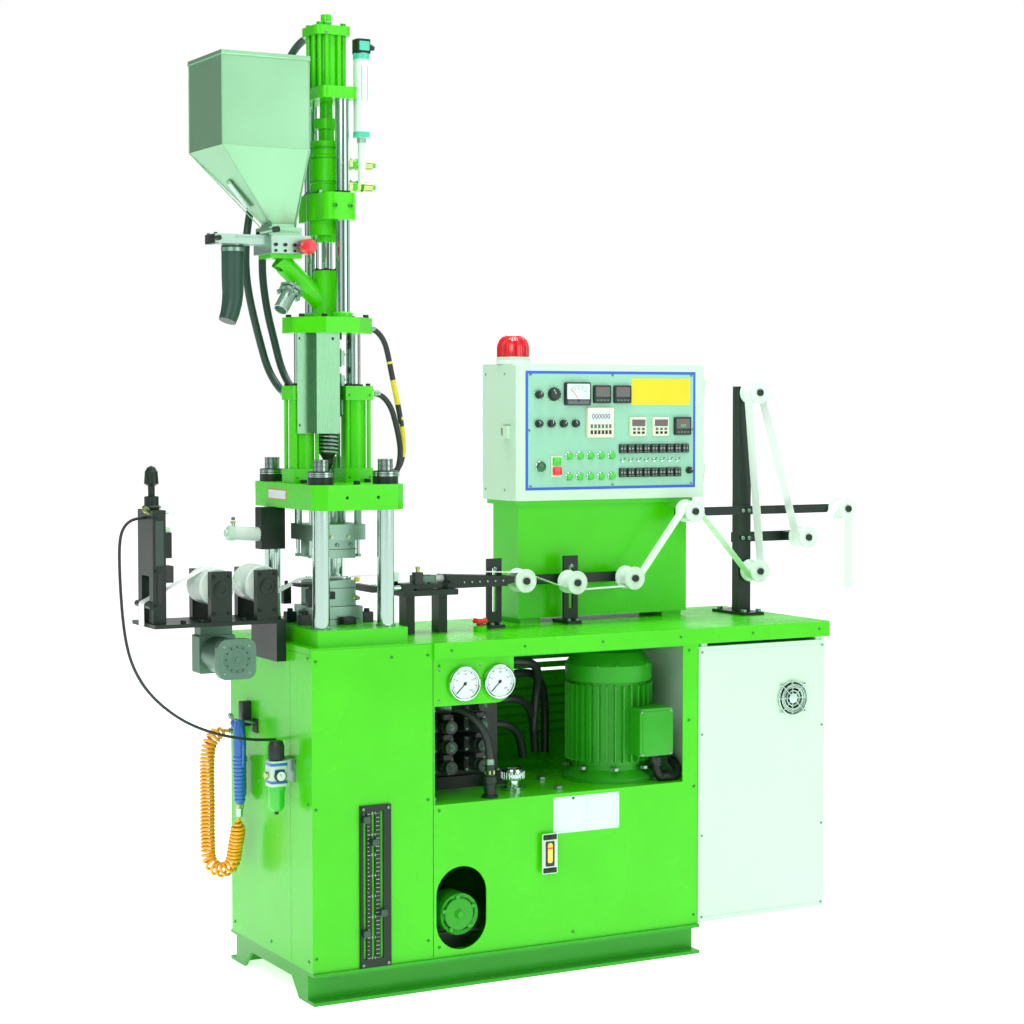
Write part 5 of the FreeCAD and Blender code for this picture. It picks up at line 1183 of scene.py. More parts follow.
    @staticmethod
    def ring(piece: Piece, centre: Point, radius: float, wire: float,
             finish: Finish = CHROME, along: Point = (0, -1, 0)) -> None:
        """Add a round wire ring to a piece.

        Args:
            piece: The piece it joins.
            centre: Its middle.
            radius: Its radius at the wire's middle.
            wire: The wire's own radius.
            finish: Its finish.
            along: Its axis.
        """
        around = [(radius + wire * math.cos(a), wire * math.sin(a))
                  for a in (math.tau * k / 10 for k in range(10))]
        piece.turned(around + around[:1], centre, along, finish, 48)

    def build(self) -> None:
        """Dress the cabinets."""
        self.screws()
        self.joints()
        self.scale()
        self.plate()
        self.level_gauge()
        self.fan_guard()


# ---------------------------------------------------------------- hydraulics in the bay


@dataclass
class Hydraulics:
    """Pressure gauges, valves, filler cap, motor trim and oil pump."""

    gauge_x: tuple[float, ...] = (394.0, 489.0)
    gauge_z: float = 733.0
    gauge_radius: float = 42.5
    face_y: float = -12.0
    motor: tuple[float, float] = (897.0, 158.0)

    def gauge(self, piece: Piece, x: float, reading: float) -> None:
        """Add one pressure gauge.

        Args:
            piece: The piece it joins.
            x: Its middle.
            reading: The needle's turn from straight up, in degrees.
        """
        z, r, out = self.gauge_z, self.gauge_radius, (0, -1, 0)
        piece.turned([(0, 0), (30, 0), (30, 3.2), (r - 1.5, 3.2), (r, 5), (r, 11),
                      (r - 1.2, 13.4), (r - 3.4, 14.2), (r - 5.6, 13.4), (r - 6.4, 11),
                      (0, 11)], (x, 0, z), out, CHROME, 56)
        piece.turned([(0, 0), (r - 6.5, 0), (r - 6.5, 0.5), (0, 0.5)], (x, -11, z), out,
                     DIAL, 48)
        piece.turned([(r - 6.5, 0.4), (r - 4.4, 0.4), (r - 4.4, 2.6), (r - 6.5, 0.7),
                      (r - 6.5, 0.4)], (x, -11, z), out, INK, 48)
        face = -11.5
        for step in range(41):
            turn = math.radians(-135 + step * 6.75)
            long = 5.2 if step % 5 == 0 else 2.6
            reach = r - 9 - long / 2
            piece.slab((x + reach * math.sin(turn), face, z + reach * math.cos(turn)),
                       (1.1 if step % 5 else 1.8, long, 0.15), INK,
                       tilt=-math.degrees(turn))
            if step % 10 == 0:
                near = r - 19.5
                piece.text(str(step // 10 * 50), 6.2,
                           (x + near * math.sin(turn), face, z + near * math.cos(turn)),
                           INK, depth=0.15)
        way = math.radians(reading)
        tip = 13.0
        piece.slab((x + tip * math.sin(way), face - 1, z + tip * math.cos(way)),
                   (2.2, 36, 0.4), INK, tilt=-reading)
        piece.turned([(0, 0), (4.2, 0), (3.6, 1.6), (0, 2.0)], (x, face - 0.4, z), out,
                     INK, 20)

    def gauges(self) -> None:
        """Both gauges, with the screws of their panel."""
        piece = Piece("pressure_gauges")
        for x, reading in zip(self.gauge_x, (-135, -135)):
            self.gauge(piece, x, reading)
        for x, z in ((330, 766), (520, 766), (330, 694), (512, 694), (441, 772)):
            piece.pan_screw((x, 0, z), Side.FRONT, 3.4, STEEL)
        piece.finish("root", "gauges")

    def valves(self) -> None:
        """The valves' solenoid coils, end nuts, plugs and name-free plates."""
        piece = Piece("valve_stack_trim")
        for row in range(5):
            z = 494 + 50 * row + 19
            for column, x in enumerate((410, 500)):
                piece.slab((x, 140, z), (50, 34, 1.2), BLACK_PLASTIC, corner=3, edge=0.6)
                for dx in (-24, 24):
                    for dz in (-14, 14):
                        piece.cap_screw((x + dx, 140, z + dz), (0, -1, 0), 3.2, STEEL)
                if (row, column) == (3, 0):
                    continue
                piece.turned([(0, 0), (16.6, 0), (18, 1.5), (18, 30), (16.6, 31.5),
                              (12.5, 31.5), (12.5, 40), (0, 40)], (x, 139, z),
                             (0, -1, 0), BLACK_PLASTIC, 32)
                piece.hexagon((x, 99, z), (0, -1, 0), 19, 9, GREY_CAST)
                piece.slab((x, 121, z + 17), (26, 22, 13), BLACK_PLASTIC, Side.TOP,
                           corner=3, edge=1)
                piece.bar((x, 121, z + 24), (x + 24, 132, z + 24), 3.2, RUBBER)
        for z in (480, 756):
            for x in (380, 450, 590):
                piece.cap_screw((x, 190 if z < 500 else 210, z), UP, 6, STEEL)
        piece.finish("root")

    def back(self) -> None:
        """Louvre hoods over the lower air slots, and the hoses behind the valves."""
        piece = Piece("louvre_hoods")
        for index in range(2, 9):
            piece.base = (Matrix.Translation((867, 512, 518 + 24 * (index - 2)))
                          @ Matrix.Rotation(math.radians(-18), 4, "X"))
            piece.slab((0, 0, 0), (264, 26, 1.2), GREEN_DEEP, Side.BACK)
        piece.finish("root")
        for number, route in enumerate((
                ((592, 232, 700), (640, 234, 712), (700, 250, 716), (762, 284, 700),
                 (800, 320, 640), (812, 340, 560), (812, 340, 490)),
                ((592, 226, 650), (632, 226, 656), (684, 240, 648), (730, 268, 616),
                 (756, 296, 560), (760, 300, 500)),
                ((592, 240, 590), (626, 240, 590), (668, 250, 576), (700, 266, 540),
                 (708, 272, 494)),
                ((560, 214, 735), (590, 190, 752), (650, 180, 756), (704, 196, 742),
                 (736, 240, 700), (744, 270, 640), (744, 280, 560))), start=1):
            Hose(f"back_hose_{number}", route, 11.0, RUBBER).lay("root")

    def tank_top(self) -> None:
        """The chrome filler cap with its grip, and small plugs on the tank."""
        piece = Piece("filler_cap_trim")
        x, y, z = 590.0, 110.0, 444.0
        piece.turned([(0, 0), (29, 0), (29, 7), (27.4, 8.6), (20, 8.6), (20, 25),
                      (28.4, 25), (29, 26.5), (29, 48), (27, 52), (22, 55), (0, 55.6)],
                     (x, y, z + 0.4), UP, CHROME, 48)
        for index in range(24):
            turn = math.tau * index / 24
            piece.bar((x + 29 * math.cos(turn), y + 29 * math.sin(turn), z + 29),
                      (x + 29 * math.cos(turn), y + 29 * math.sin(turn), z + 46), 1.3,
                      CHROME, 8)
        for index in range(6):
            turn = math.tau * (index + 0.5) / 6
            piece.pan_screw((x + 24 * math.cos(turn), y + 24 * math.sin(turn), z + 9),
                            Side.TOP, 2.6)
        for px, py in ((690, 60), (720, 200), (340, 60), (980, 60)):
            piece.hexagon((px, py, z), UP, 22, 9, STEEL)
        piece.finish("root")

    def motor_trim(self) -> None:
        """The motor's terminal box lid, eye bolt, plate and foot bolts."""
        piece = Piece("motor_trim")
        x, y = self.motor
        piece.slab((946, 8, 576), (99, 121, 4.5), GREEN_CAST, corner=12, edge=1.6)
        piece.slab((946, 3.6, 576), (84, 106, 2.0), GREEN_CAST, corner=8, edge=1.4)
        for dx in (-43, 43):
            for dz in (-54, 54):
                piece.pan_screw((946 + dx, 3.5, 576 + dz), Side.FRONT, 4.4, STEEL)
        piece.turned([(0, 0), (15, 0), (15, 12), (18, 12), (18, 24), (13, 24), (13, 34),
                      (0, 34)], (962, 44, 516), (0.25, -0.2, -1), BLACK_PLASTIC, 24)
        for index in range(8):
            turn = math.tau * (index + 0.5) / 8
            px, py = x + 112 * math.cos(turn), y + 112 * math.sin(turn)
            piece.hexagon((px, py, 476), UP, 17, 9, STEEL)
        for turn_degrees in (225, 250, 275, 300):
            turn = math.radians(turn_degrees)
            piece.pan_screw((x + 113 * math.cos(turn), y + 113 * math.sin(turn), 742),
                            Side.FRONT, 4, GREEN_DEEP)
        piece.finish("root")

    def conduit(self) -> None:
        """The ribbed conduit that loops from the terminal box to the right post."""
        route = ((966, 40, 486), (972, 36, 452), (990, 32, 420 + 38), (1012, 34, 452),
                 (1034, 44, 458), (1046, 64, 476), (1050, 96, 486))
        line = Hose("conduit_guide", route, 11.0, RUBBER)
        middle = [p / MM + ORIGIN for p in line.line()]
        bpy.data.objects.remove(line.object)
        piece = Piece("motor_conduit")
        run = 0.0
        for a, b in zip(middle, middle[1:]):
            way = b - a
            piece.turned([(0, -1.2), (10.4, -1.2), (10.4, way.length + 1.2),
                          (0, way.length + 1.2)], a, way, BLACK_PLASTIC, 18)
            while run < way.length:
                place = a + way.normalized() * run
                piece.turned([(10.2, -1.6), (12.2, -0.8), (12.2, 0.8), (10.2, 1.6)],
                             place, way, BLACK_PLASTIC, 18)
                run += 5.0
            run -= way.length
        piece.finish("root")

    def oil_pump(self) -> None:
        """The fan cowl face in the round opening, with its ribs and bolts."""
        piece = Piece("oil_pump_face")
        x, y, z = 390.0, 15.6, 172.0
        piece.turned([(0, 0), (45, 0), (50.4, 4), (50.4, -60), (0, -60)], (x, y + 0.4, z),
                     (0, -1, 0), GREEN_CAST, 48)
        piece.turned([(38, 0), (38, 3.2), (33, 4.4), (12, 4.4), (12, 7), (0, 7), (0, 0)],
                     (x, y, z), (0, -1, 0), GREEN_CAST, 48)
        for index in range(5):
            turn = math.tau * index / 5 + 0.4
            piece.hexagon((x + 42 * math.cos(turn), y, z + 42 * math.sin(turn)),
                          (0, -1, 0), 10, 5, GREEN_DEEP)
        piece.hexagon((x, y - 7, z), (0, -1, 0), 16, 5, GREEN_DEEP)
        piece.bar((x - 62, 30, z - 46), (x + 62, 30, z - 46), 5, BLACK_PAINT)
        piece.finish("root")

    def build(self) -> None:
        """Dress the hydraulics."""
        self.gauges()
        self.valves()
        self.back()
        self.tank_top()
        self.motor_trim()
        self.conduit()
        self.oil_pump()


# ---------------------------------------------------------------- control box


@dataclass
class ControlBox:
    """The instruments on the control box's door, its beacon and its latch."""

    face: float = 285.0
    left: float = 723.0
    right: float = 1243.0
    low: float = 1180.0
    high: float = 1488.0

    def field(self, piece: Piece) -> None:
        """The pale field, its blue border, thin dividers and the screws round it."""
        x, z = (self.left + self.right) / 2, (self.low + self.high) / 2
        wide, tall = self.right - self.left, self.high - self.low
        piece.slab((x, self.face, z), (wide, tall, 0.6), BLUE_BORDER)
        piece.slab((x, self.face - 0.5, z), (wide - 15, tall - 15, 0.5), PANEL_MINT)
        face = self.face - 1.0
        for z_line in (1385, 1297, 1192):
            piece.slab((800, face, z_line), (126, 0.8, 0.15), PALE_INK)
        piece.slab((886, face, 1340), (0.8, 200, 0.15), PALE_INK)
        for dx in range(4):
            piece.slab((990 + 62 * dx, face, 1304), (46, 0.8, 0.15), PALE_INK)
        for x_screw in (self.left + 14, x, self.right - 14):
            for z_screw in (self.low + 10, self.high - 10):
                piece.pan_screw((x_screw, face + 0.4, z_screw), Side.FRONT, 4.2, STEEL)
        for x_screw in (self.left + 10, self.right - 10):
            piece.pan_screw((x_screw, face + 0.4, z), Side.FRONT, 4.2, STEEL)

    def knob(self, piece: Piece, x: float, z: float, radius: float,
             pointer: float) -> None:
        """Add a turning knob with its skirt and pointer line.

        Args:
            piece: The piece it joins.
            x: Its middle.
            z: Its middle.
            radius: Its skirt's radius.
            pointer: The pointer's turn from straight up, in degrees.
        """
        out, face = (0, -1, 0), self.face - 0.9
        piece.turned([(0, 0), (radius, 0), (radius, 2), (radius * 0.86, 3.4),
                      (radius * 0.78, 13), (radius * 0.7, 14.4), (0, 14.4)],
                     (x, face, z), out, BLACK_PLASTIC, 32)
        for index in range(12):
            turn = math.tau * index / 12
            reach = radius * 0.82
            piece.bar((x + reach * math.cos(turn), face - 3, z + reach * math.sin(turn)),
                      (x + reach * math.cos(turn), face - 13, z + reach * math.sin(turn)),
                      radius * 0.07, BLACK_PLASTIC, 6)
        turn = math.radians(pointer)
        piece.slab((x + radius * 0.4 * math.sin(turn), face - 14.3,
                    z + radius * 0.4 * math.cos(turn)), (1.2, radius * 0.7, 0.4),
                   WHITE_INK, tilt=-pointer)

    def dial(self, piece: Piece, x: float, z: float, radius: float) -> None:
        """Add the ring of marks round a knob."""
        for step in range(11):
            turn = math.radians(-140 + 28 * step)
            piece.slab((x + radius * math.sin(turn), self.face - 1.0,
                        z + radius * math.cos(turn)), (0.9, 3.4, 0.15), INK,
                       tilt=-math.degrees(turn))

    def meter(self, piece: Piece) -> None:
        """The needle meter with its arc of marks."""
        x, z, wide, tall = 874.0, 1429.0, 76.0, 60.0
        face = self.face - 1
        piece.slab((x, face, z), (wide, tall, 11), BLACK_PLASTIC, corner=4, edge=1.6)
        piece.slab((x, face - 10.8, z + 6), (wide - 8, tall - 20, 0.6), DIAL, corner=2)
        piece.slab((x, face - 10.8, z - 22), (wide - 12, 10, 1.0), SCREEN, corner=2)
        front = face - 11.4
        for step in range(21):
            turn = math.radians(-44 + step * 4.4)
            long = 4 if step % 5 == 0 else 2.2
            reach = 36 - long / 2
            piece.slab((x + reach * math.sin(turn), front, z - 14 + reach
                        * math.cos(turn)), (0.7, long, 0.15), INK,
                       tilt=-math.degrees(turn))
            if step % 5 == 0:
                near = 27.5
                piece.text(str(step * 5), 4.4, (x + near * math.sin(turn), front, z - 14
                                                + near * math.cos(turn)), INK,
                           depth=0.15)
        piece.bar((x, front - 0.5, z - 14), (x - 21, front - 0.5, z + 12), 0.5, RED)
        piece.pan_screw((x, front + 0.4, z - 19), Side.FRONT, 2.6, BLACK_PLASTIC)

    def timer(self, piece: Piece, x: float, z: float, wide: float, tall: float,
              rows: int) -> None:
        """Add a panel controller with its display, figures and keys.

        Args:
            piece: The piece it joins.
            x: Its middle.
            z: Its middle.
            wide: Its width.
            tall: Its height.
            rows: How many rows of figures it shows.
        """
        face = self.face - 1
        piece.slab((x, face, z), (wide, tall, 9), BLACK_PLASTIC, corner=3, edge=1.4)
        piece.slab((x, face - 8.8, z + tall * 0.13), (wide - 9, tall * 0.54, 0.5), SCREEN)
        for row in range(rows):
            spot = z + tall * (0.25 - 0.24 * row)
            piece.text("888", tall * 0.24, (x, face - 9.3, spot),
                       RED_DIGITS if row == 0 else GREEN_BUTTON, depth=0.15)
        for key in range(4):
            piece.slab((x + (key - 1.5) * wide * 0.2, face - 8.8, z - tall * 0.33),
                       (wide * 0.13, tall * 0.1, 1.0), GREY_CAST, corner=0.8)

    def counter(self, piece: Piece, x: float, z: float, wide: float, tall: float,
                wheels: int, dark: bool) -> None:
        """Add a counter with a row of figure wheels and their keys.

        Args:
            piece: The piece it joins.
            x: Its middle.
            z: Its middle.
            wide: Its width.
            tall: Its height.
            wheels: How many figures it has.
            dark: Whether its upper half is a dark display.
        """
        face = self.face - 1
        piece.slab((x, face, z), (wide, tall, 9), IVORY, corner=3, edge=1.4)
        piece.slab((x, face - 8.8, z + tall * 0.2), (wide * 0.84, tall * 0.36, 0.6),
                   SCREEN if dark else DIAL)
        piece.text("0" * wheels, tall * 0.24, (x, face - 9.4, z + tall * 0.2),
                   RED_DIGITS if dark else INK, depth=0.15)
        for key in range(wheels):
            spot = x + (key - (wheels - 1) / 2) * wide * 0.84 / wheels
            piece.slab((spot, face - 8.8, z - tall * 0.12),
                       (wide * 0.5 / wheels, tall * 0.13, 1.4), GREY_CAST, corner=0.6)
            piece.slab((spot, face - 8.8, z - tall * 0.32),
                       (wide * 0.5 / wheels, tall * 0.13, 1.4), BLACK_PLASTIC, corner=0.6)

    def thumbwheel(self, piece: Piece, x: float, z: float) -> None:
        """Add one two-figure thumbwheel switch."""
        face = self.face - 1
        piece.slab((x, face, z), (20.5, 24, 7), BLACK_PLASTIC, corner=1.6, edge=1.0)
        for dx in (-4.6, 4.6):
            piece.text("0", 8.5, (x + dx, face - 6.9, z), WHITE_INK, depth=0.15)
            for dz in (-8.4, 8.4):
                piece.slab((x + dx, face - 6.9, z + dz), (5.4, 3.2, 1.4), GREY_CAST)

    def toggle(self, piece: Piece, x: float, z: float) -> None:
        """Add one toggle switch with its nut and bat lever."""
        face = self.face - 1
        piece.hexagon((x, face, z), (0, -1, 0), 10.5, 2.2, CHROME)
        piece.rod((x, face - 2, z), (0, -1, 0), 3.2, 3.6, CHROME)
        piece.turned([(0, 0), (1.5, 0), (2.4, 11), (1.8, 12.6), (0, 13)],
                     (x, face - 5, z), (0, -0.82, 0.57), CHROME, 14)

    def button(self, piece: Piece, x: float, z: float, finish: Finish,
               radius: float = 9.2) -> None:
        """Add one push button with its bezel.

        Args:
            piece: The piece it joins.
            x: Its middle.
            z: Its middle.
            finish: The cap's finish.
            radius: The cap's radius.
        """
        out, face = (0, -1, 0), self.face - 1
        piece.turned([(0, 0), (radius + 1.6, 0), (radius + 1.4, 2.2), (radius + 0.2, 3.2),
                      (radius + 0.2, 0.6), (0, 0.6)], (x, face, z), out, CHROME, 28)
        piece.turned([(0, 0.5), (radius, 0.5), (radius, 8), (radius * 0.84, 9.4),
                      (radius * 0.4, 9.9), (0, 10)], (x, face, z), out, finish, 28)

    def door(self) -> None:
        """Everything on the door."""
        piece = Piece("control_panel")
        self.field(piece)
        self.knob(piece, 761, 1427, 11, 20)
        self.knob(piece, 806, 1428, 18, -30)
        self.dial(piece, 806, 1428, 22)
        self.dial(piece, 761, 1427, 14.4)
        self.meter(piece)
        for x in (949, 1011):
            self.timer(piece, x, 1428, 51, 47, 1)
        piece.slab((1133, self.face - 0.9, 1435), (183, 69, 0.8), YELLOW_PLATE, corner=2)
        for index in range(4):
            x = 760.5 + 36.4 * index
            self.knob(piece, x, 1352, 10.4, (-35, 0, 35, -35)[index])
            self.dial(piece, x, 1352, 14)
        self.counter(piece, 943, 1354, 80, 78, 6, False)
        self.counter(piece, 1059, 1343, 49, 50, 3, True)
        self.counter(piece, 1129.5, 1343, 49, 50, 3, True)
        self.timer(piece, 1199, 1344, 51, 48, 2)
        self.button(piece, 766, 1241, GREEN_LENS, 13)
        self.mains(piece)
        for index in range(5):
            for z in (1268, 1214):
                self.button(piece, 851 + 32.2 * index, z, GREEN_BUTTON)
        for index in range(9):
            self.thumbwheel(piece, 1013.5 + 24.4 * index, 1285)
        for index in range(8):
            self.thumbwheel(piece, 1013.5 + 24.4 * index, 1222)
            self.toggle(piece, 1013.5 + 24.4 * index, 1254)
        self.knob(piece, 1222, 1226, 9.5, 40)
        piece.finish("door", "door_controls")

    def mains(self, piece: Piece) -> None:
        """The mains switch: a green and a red rocker in a pale frame."""
        face = self.face - 1
        piece.slab((813, face, 1241), (31, 54, 4), IVORY, corner=3, edge=1.2)
        piece.slab((813, face - 3.6, 1254), (24, 21, 5), GREEN_BUTTON, corner=2, edge=1.4)
        piece.slab((813, face - 3.6, 1229), (24, 21, 8), RED, corner=2, edge=1.4)

    def beacon(self) -> None:
        """The ribbed red lamp on its white ring."""
        piece = Piece("beacon_lamp")
        centre = (733, 370, 1506)
        piece.turned([(0, 0), (43.8, 0), (43.8, 8), (42, 11), (0, 11)], centre, UP,
                     WHITE_PLASTIC, 56)
        dome = [(0, 10), (41, 10), (41, 44), (39, 52), (34.5, 62), (27, 69.5), (20, 73.2),
                (12, 75.6), (0, 76.4)]
        piece.turned(dome, centre, UP, RED_DOME, 56)
        for index in range(28):
            turn = math.tau * index / 28
            side = Vector((math.cos(turn), math.sin(turn), 0))
            for (near, low), (far, high) in zip(dome[1:6], dome[2:7]):
                piece.bar(Vector(centre) + side * near + Vector((0, 0, low)),
                          Vector(centre) + side * far + Vector((0, 0, high)), 1.2,
                          RED_DOME, 6)
        piece.finish("root")

    def latch(self) -> None:
        """The toggle latch on the box's left side, with the screws of its hinges."""
        piece = Piece("box_latch")
        piece.slab((695, 330, 1331), (34, 36, 3), STEEL, Side.LEFT, corner=2, edge=0.6)
        piece.slab((692, 318, 1331), (12, 26, 8), BLACK_PAINT, Side.LEFT, corner=2, edge=1)
        piece.slab((692, 338, 1331), (9, 20, 10), STEEL, Side.LEFT, corner=2, edge=1)
        piece.bar((688, 330, 1322), (688, 330, 1340), 2.4, CHROME)
        for y, z in ((322, 1344), (338, 1344), (322, 1318), (338, 1318)):
            piece.pan_screw((692.4, y, z), Side.LEFT, 2.2)
        for y in (345, 450):
            for z in (1180, 1480):
                piece.pan_screw((695, y, z), Side.LEFT, 3.4)
        piece.finish("root")

    def build(self) -> None:
        """Dress the control box."""
        self.door()
        self.beacon()
        self.latch()


# ---------------------------------------------------------------- press tower


def box_of(node: str) -> tuple[Vector, Vector]:
    """The lowest and highest corner of a CAD node, in machine millimetres."""
    low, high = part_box(node)
    return Vector(low) / MM + ORIGIN, Vector(high) / MM + ORIGIN


@dataclass
class ClampTower:
    """Tie-bar nuts, mould furniture and screws of the clamp unit."""

    bars: tuple[tuple[float, float], ...] = ((60, 80), (60, 376), (228, 80), (228, 376))
    nut_low: float = 1213.0
    nut_radius: float = 30.6
    middle: tuple[float, float] = (144.0, 228.0)

    def nuts(self) -> None:
        """The black round nuts, with their grooved tops, and the threaded studs."""
        piece = Piece("tie_bar_nuts")
        for x, y in self.bars:
            r, z = self.nut_radius, self.nut_low
            profile = [(0, 0), (r, 0), (r, 18)]
            for index in range(3):
                low = 18.5 + 4 * index
                profile += [(r - 1.6, low), (r - 1.6, low + 1.6), (r, low + 2.2),
                            (r, low + 3.6)]
            profile += [(r - 3, 31), (0, 31)]
            piece.turned(profile, (x, y, z), UP, BLACK_PAINT, 48)
            thread = [(0, 0)]
            for index in range(10):
                low = 3.0 * index
                thread += [(17.4, low), (18.6, low + 1.5)]
            piece.turned(thread + [(17, 28.6), (0, 28.6)], (x, y, z + 30), UP,
                         BLACK_PAINT, 36)
        piece.finish("clamp")
        wipers = Piece("tie_bar_wipers")
        table = box_of("lower_platen")[1].z
        for x, y in self.bars:
            wipers.turned([(20.8, 0), (23.5, 0), (23.5, 3), (21.6, 4.5), (20.8, 4.5),
                           (20.8, 0)], (x, y, table + 0.1), UP, STEEL, 40)
        wipers.finish("root")

    def platen(self) -> None:
        """The upper platen's bare plate, and the screws in its tapped holes."""
        piece = Piece("upper_platen_trim")
        low, high = box_of("upper_platen")
        middle = (low.z + high.z) / 2
        piece.slab((low.x, 262, middle + 2), (112, 25, 0.8), RED, Side.LEFT, corner=2)
        piece.slab((low.x - 0.6, 262, middle + 2), (107, 20, 0.6), DIAL, Side.LEFT,
                   corner=1.5)
        for dy in (-52, 52):
            piece.turned([(0, 0), (1.8, 0), (1.2, 0.9), (0, 1.1)],
                         (low.x - 1, 262 + dy, middle + 2), (-1, 0, 0), STEEL, 12)
        for x, y in ((144, 60), (60, 180), (228, 180), (60, 280), (228, 280), (144, 400)):
            piece.cap_screw((x, y, high.z), UP, 8)
        piece.finish("clamp")

    def cylinders(self) -> None:
        """Head screws of the two lift cylinders."""
        piece = Piece("lift_cylinder_trim")
        for x in (75.5, 212.5):
            for dx in (-27, 27):
                for dy in (-27, 27):
                    piece.cap_screw((x + dx, 228 + dy, 1446), UP, 5.6)
            piece.turned([(0, 0), (24, 0), (24, 4), (20.5, 5.5), (0, 5.5)],
                         (x, 228, 1446), UP, BLACK_PAINT, 36)
            for z in (1424, 1226):
                for dx in (-27, 27):
                    piece.pan_screw((x + dx, 192, z), Side.FRONT, 3.0, GREEN_DEEP)
        piece.finish("clamp")

    def upper_mould(self) -> None:
        """Plates, pins and pipes of the upper mould."""
        piece = Piece("upper_mould_trim")
        low, high = box_of("upper_mould")
        x, y = self.middle
        for z in (low.z + 22, low.z + 45, low.z + 64):
            piece.slab((x, low.y + 10, z), (104, 1.4, 0.3), INK)
        for dx in (-36, 0, 36):
            piece.cap_screw((x + dx, low.y + 10, low.z + 32), (0, -1, 0), 5, STEEL)
        for dx in (-62, 62):
            for dy in (-40, 40):
                piece.rod((x + dx, y + dy, low.z + 6), UP, 4.6, 112, CHROME)
                piece.hexagon((x + dx, y + dy, low.z + 2), UP, 14, 7, STEEL)
                piece.hexagon((x + dx, y + dy, low.z + 62), UP, 14, 6, STEEL)
        for dx in (-20, 24):
            piece.turned([(0, 0), (6, 0), (6, 5), (4, 6), (4, 14), (0, 14)],
                         (x + dx, low.y + 9, low.z + 52), (0, -1, 0), BRASS, 18)
        piece.finish("clamp")

    def lower_mould(self) -> None:
        """Clamps, guide pins, pipes and cables round the lower mould."""
        piece = Piece("lower_mould_trim")
        low, high = box_of("lower_mould")
        x, y = self.middle
        for z in (low.z + 12, low.z + 42, high.z - 18):
            piece.slab((x, low.y + (0 if z < low.z + 42 else 10), z), (106, 1.4, 0.3), INK)
        for dx in (-82, 82):
            for dy in (-44, 44):
                piece.slab((x + dx, y + dy, low.z), (26, 22, 26), BLACK_PAINT, Side.TOP,
                           edge=2)
                piece.cap_screw((x + dx, y + dy, low.z + 26), UP, 7)
        for dx in (-40, 40):
            for dy in (-30, 30):
                piece.rod((x + dx, y + dy, high.z), UP, 6.5, 8, CHROME, soft=2)
        piece.slab((x + 18, low.y, low.z + 8), (34, 20, 22), BLACK_PLASTIC, corner=2,
                   edge=1.5)
        piece.slab((x - 30, low.y + 10, high.z - 34), (38, 18, 12), BLACK_PAINT, edge=1)
        for dx in (-46, 46):
            piece.turned([(0, 0), (7, 0), (7, 7), (4.6, 8), (4.6, 20), (0, 20)],
                         (x + dx, low.y + 10, low.z + 62), (0, -1, 0), BRASS, 18)
        piece.turned([(0, 0), (6, 0), (7.4, 3), (7.4, 8), (6, 10.5), (0, 11.5)],
                     (x + 52, y - 52, high.z - 4), UP, YELLOW_MARK, 20)
        for dx, dy in ((-74, -64), (-50, -70), (-86, 58)):
            piece.slab((x + dx, y + dy, low.z + 44), (20, 16, 44), BLACK_PAINT, Side.TOP,
                       edge=1.5)
            piece.rod((x + dx, y + dy, low.z + 88), UP, 4.4, 12, BLACK_PAINT)
        piece.slab((x - 76, y - 30, high.z - 12), (46, 40, 8), BLACK_PAINT, Side.TOP,
                   edge=1)
        piece.finish("root")

    def ejector(self) -> None:
        """The white air cylinder and its black bracket at the platen's back left."""
        piece = Piece("air_cylinder")
        piece.slab((30, 318, 1050), (62, 40, 102), BLACK_PAINT, Side.TOP, edge=2)
        piece.rod((4, 318, 1086), (-1, 0, 0.06), 17, 74, WHITE_PLASTIC, soft=2)
        piece.turned([(0, 0), (18.6, 0), (18.6, 14), (9, 16), (9, 22), (0, 22)],
                     (-66, 318, 1090), (-1, 0, 0.06), WHITE_PAINT, 28)
        piece.rod((-66, 318, 1105), UP, 5, 14, CHROME)
        piece.hexagon((-66, 318, 1114), UP, 13, 6, BRASS)
        piece.turned([(0, 0), (4.5, 0), (5.5, 6), (0, 9)], (-66, 318, 1122), UP, GREY_CAST,
                     16)
        piece.finish("clamp")

    def build(self) -> None:
        """Dress the clamp unit."""
        self.nuts()
        self.platen()
        self.cylinders()
        self.upper_mould()
        self.lower_mould()
        self.ejector()


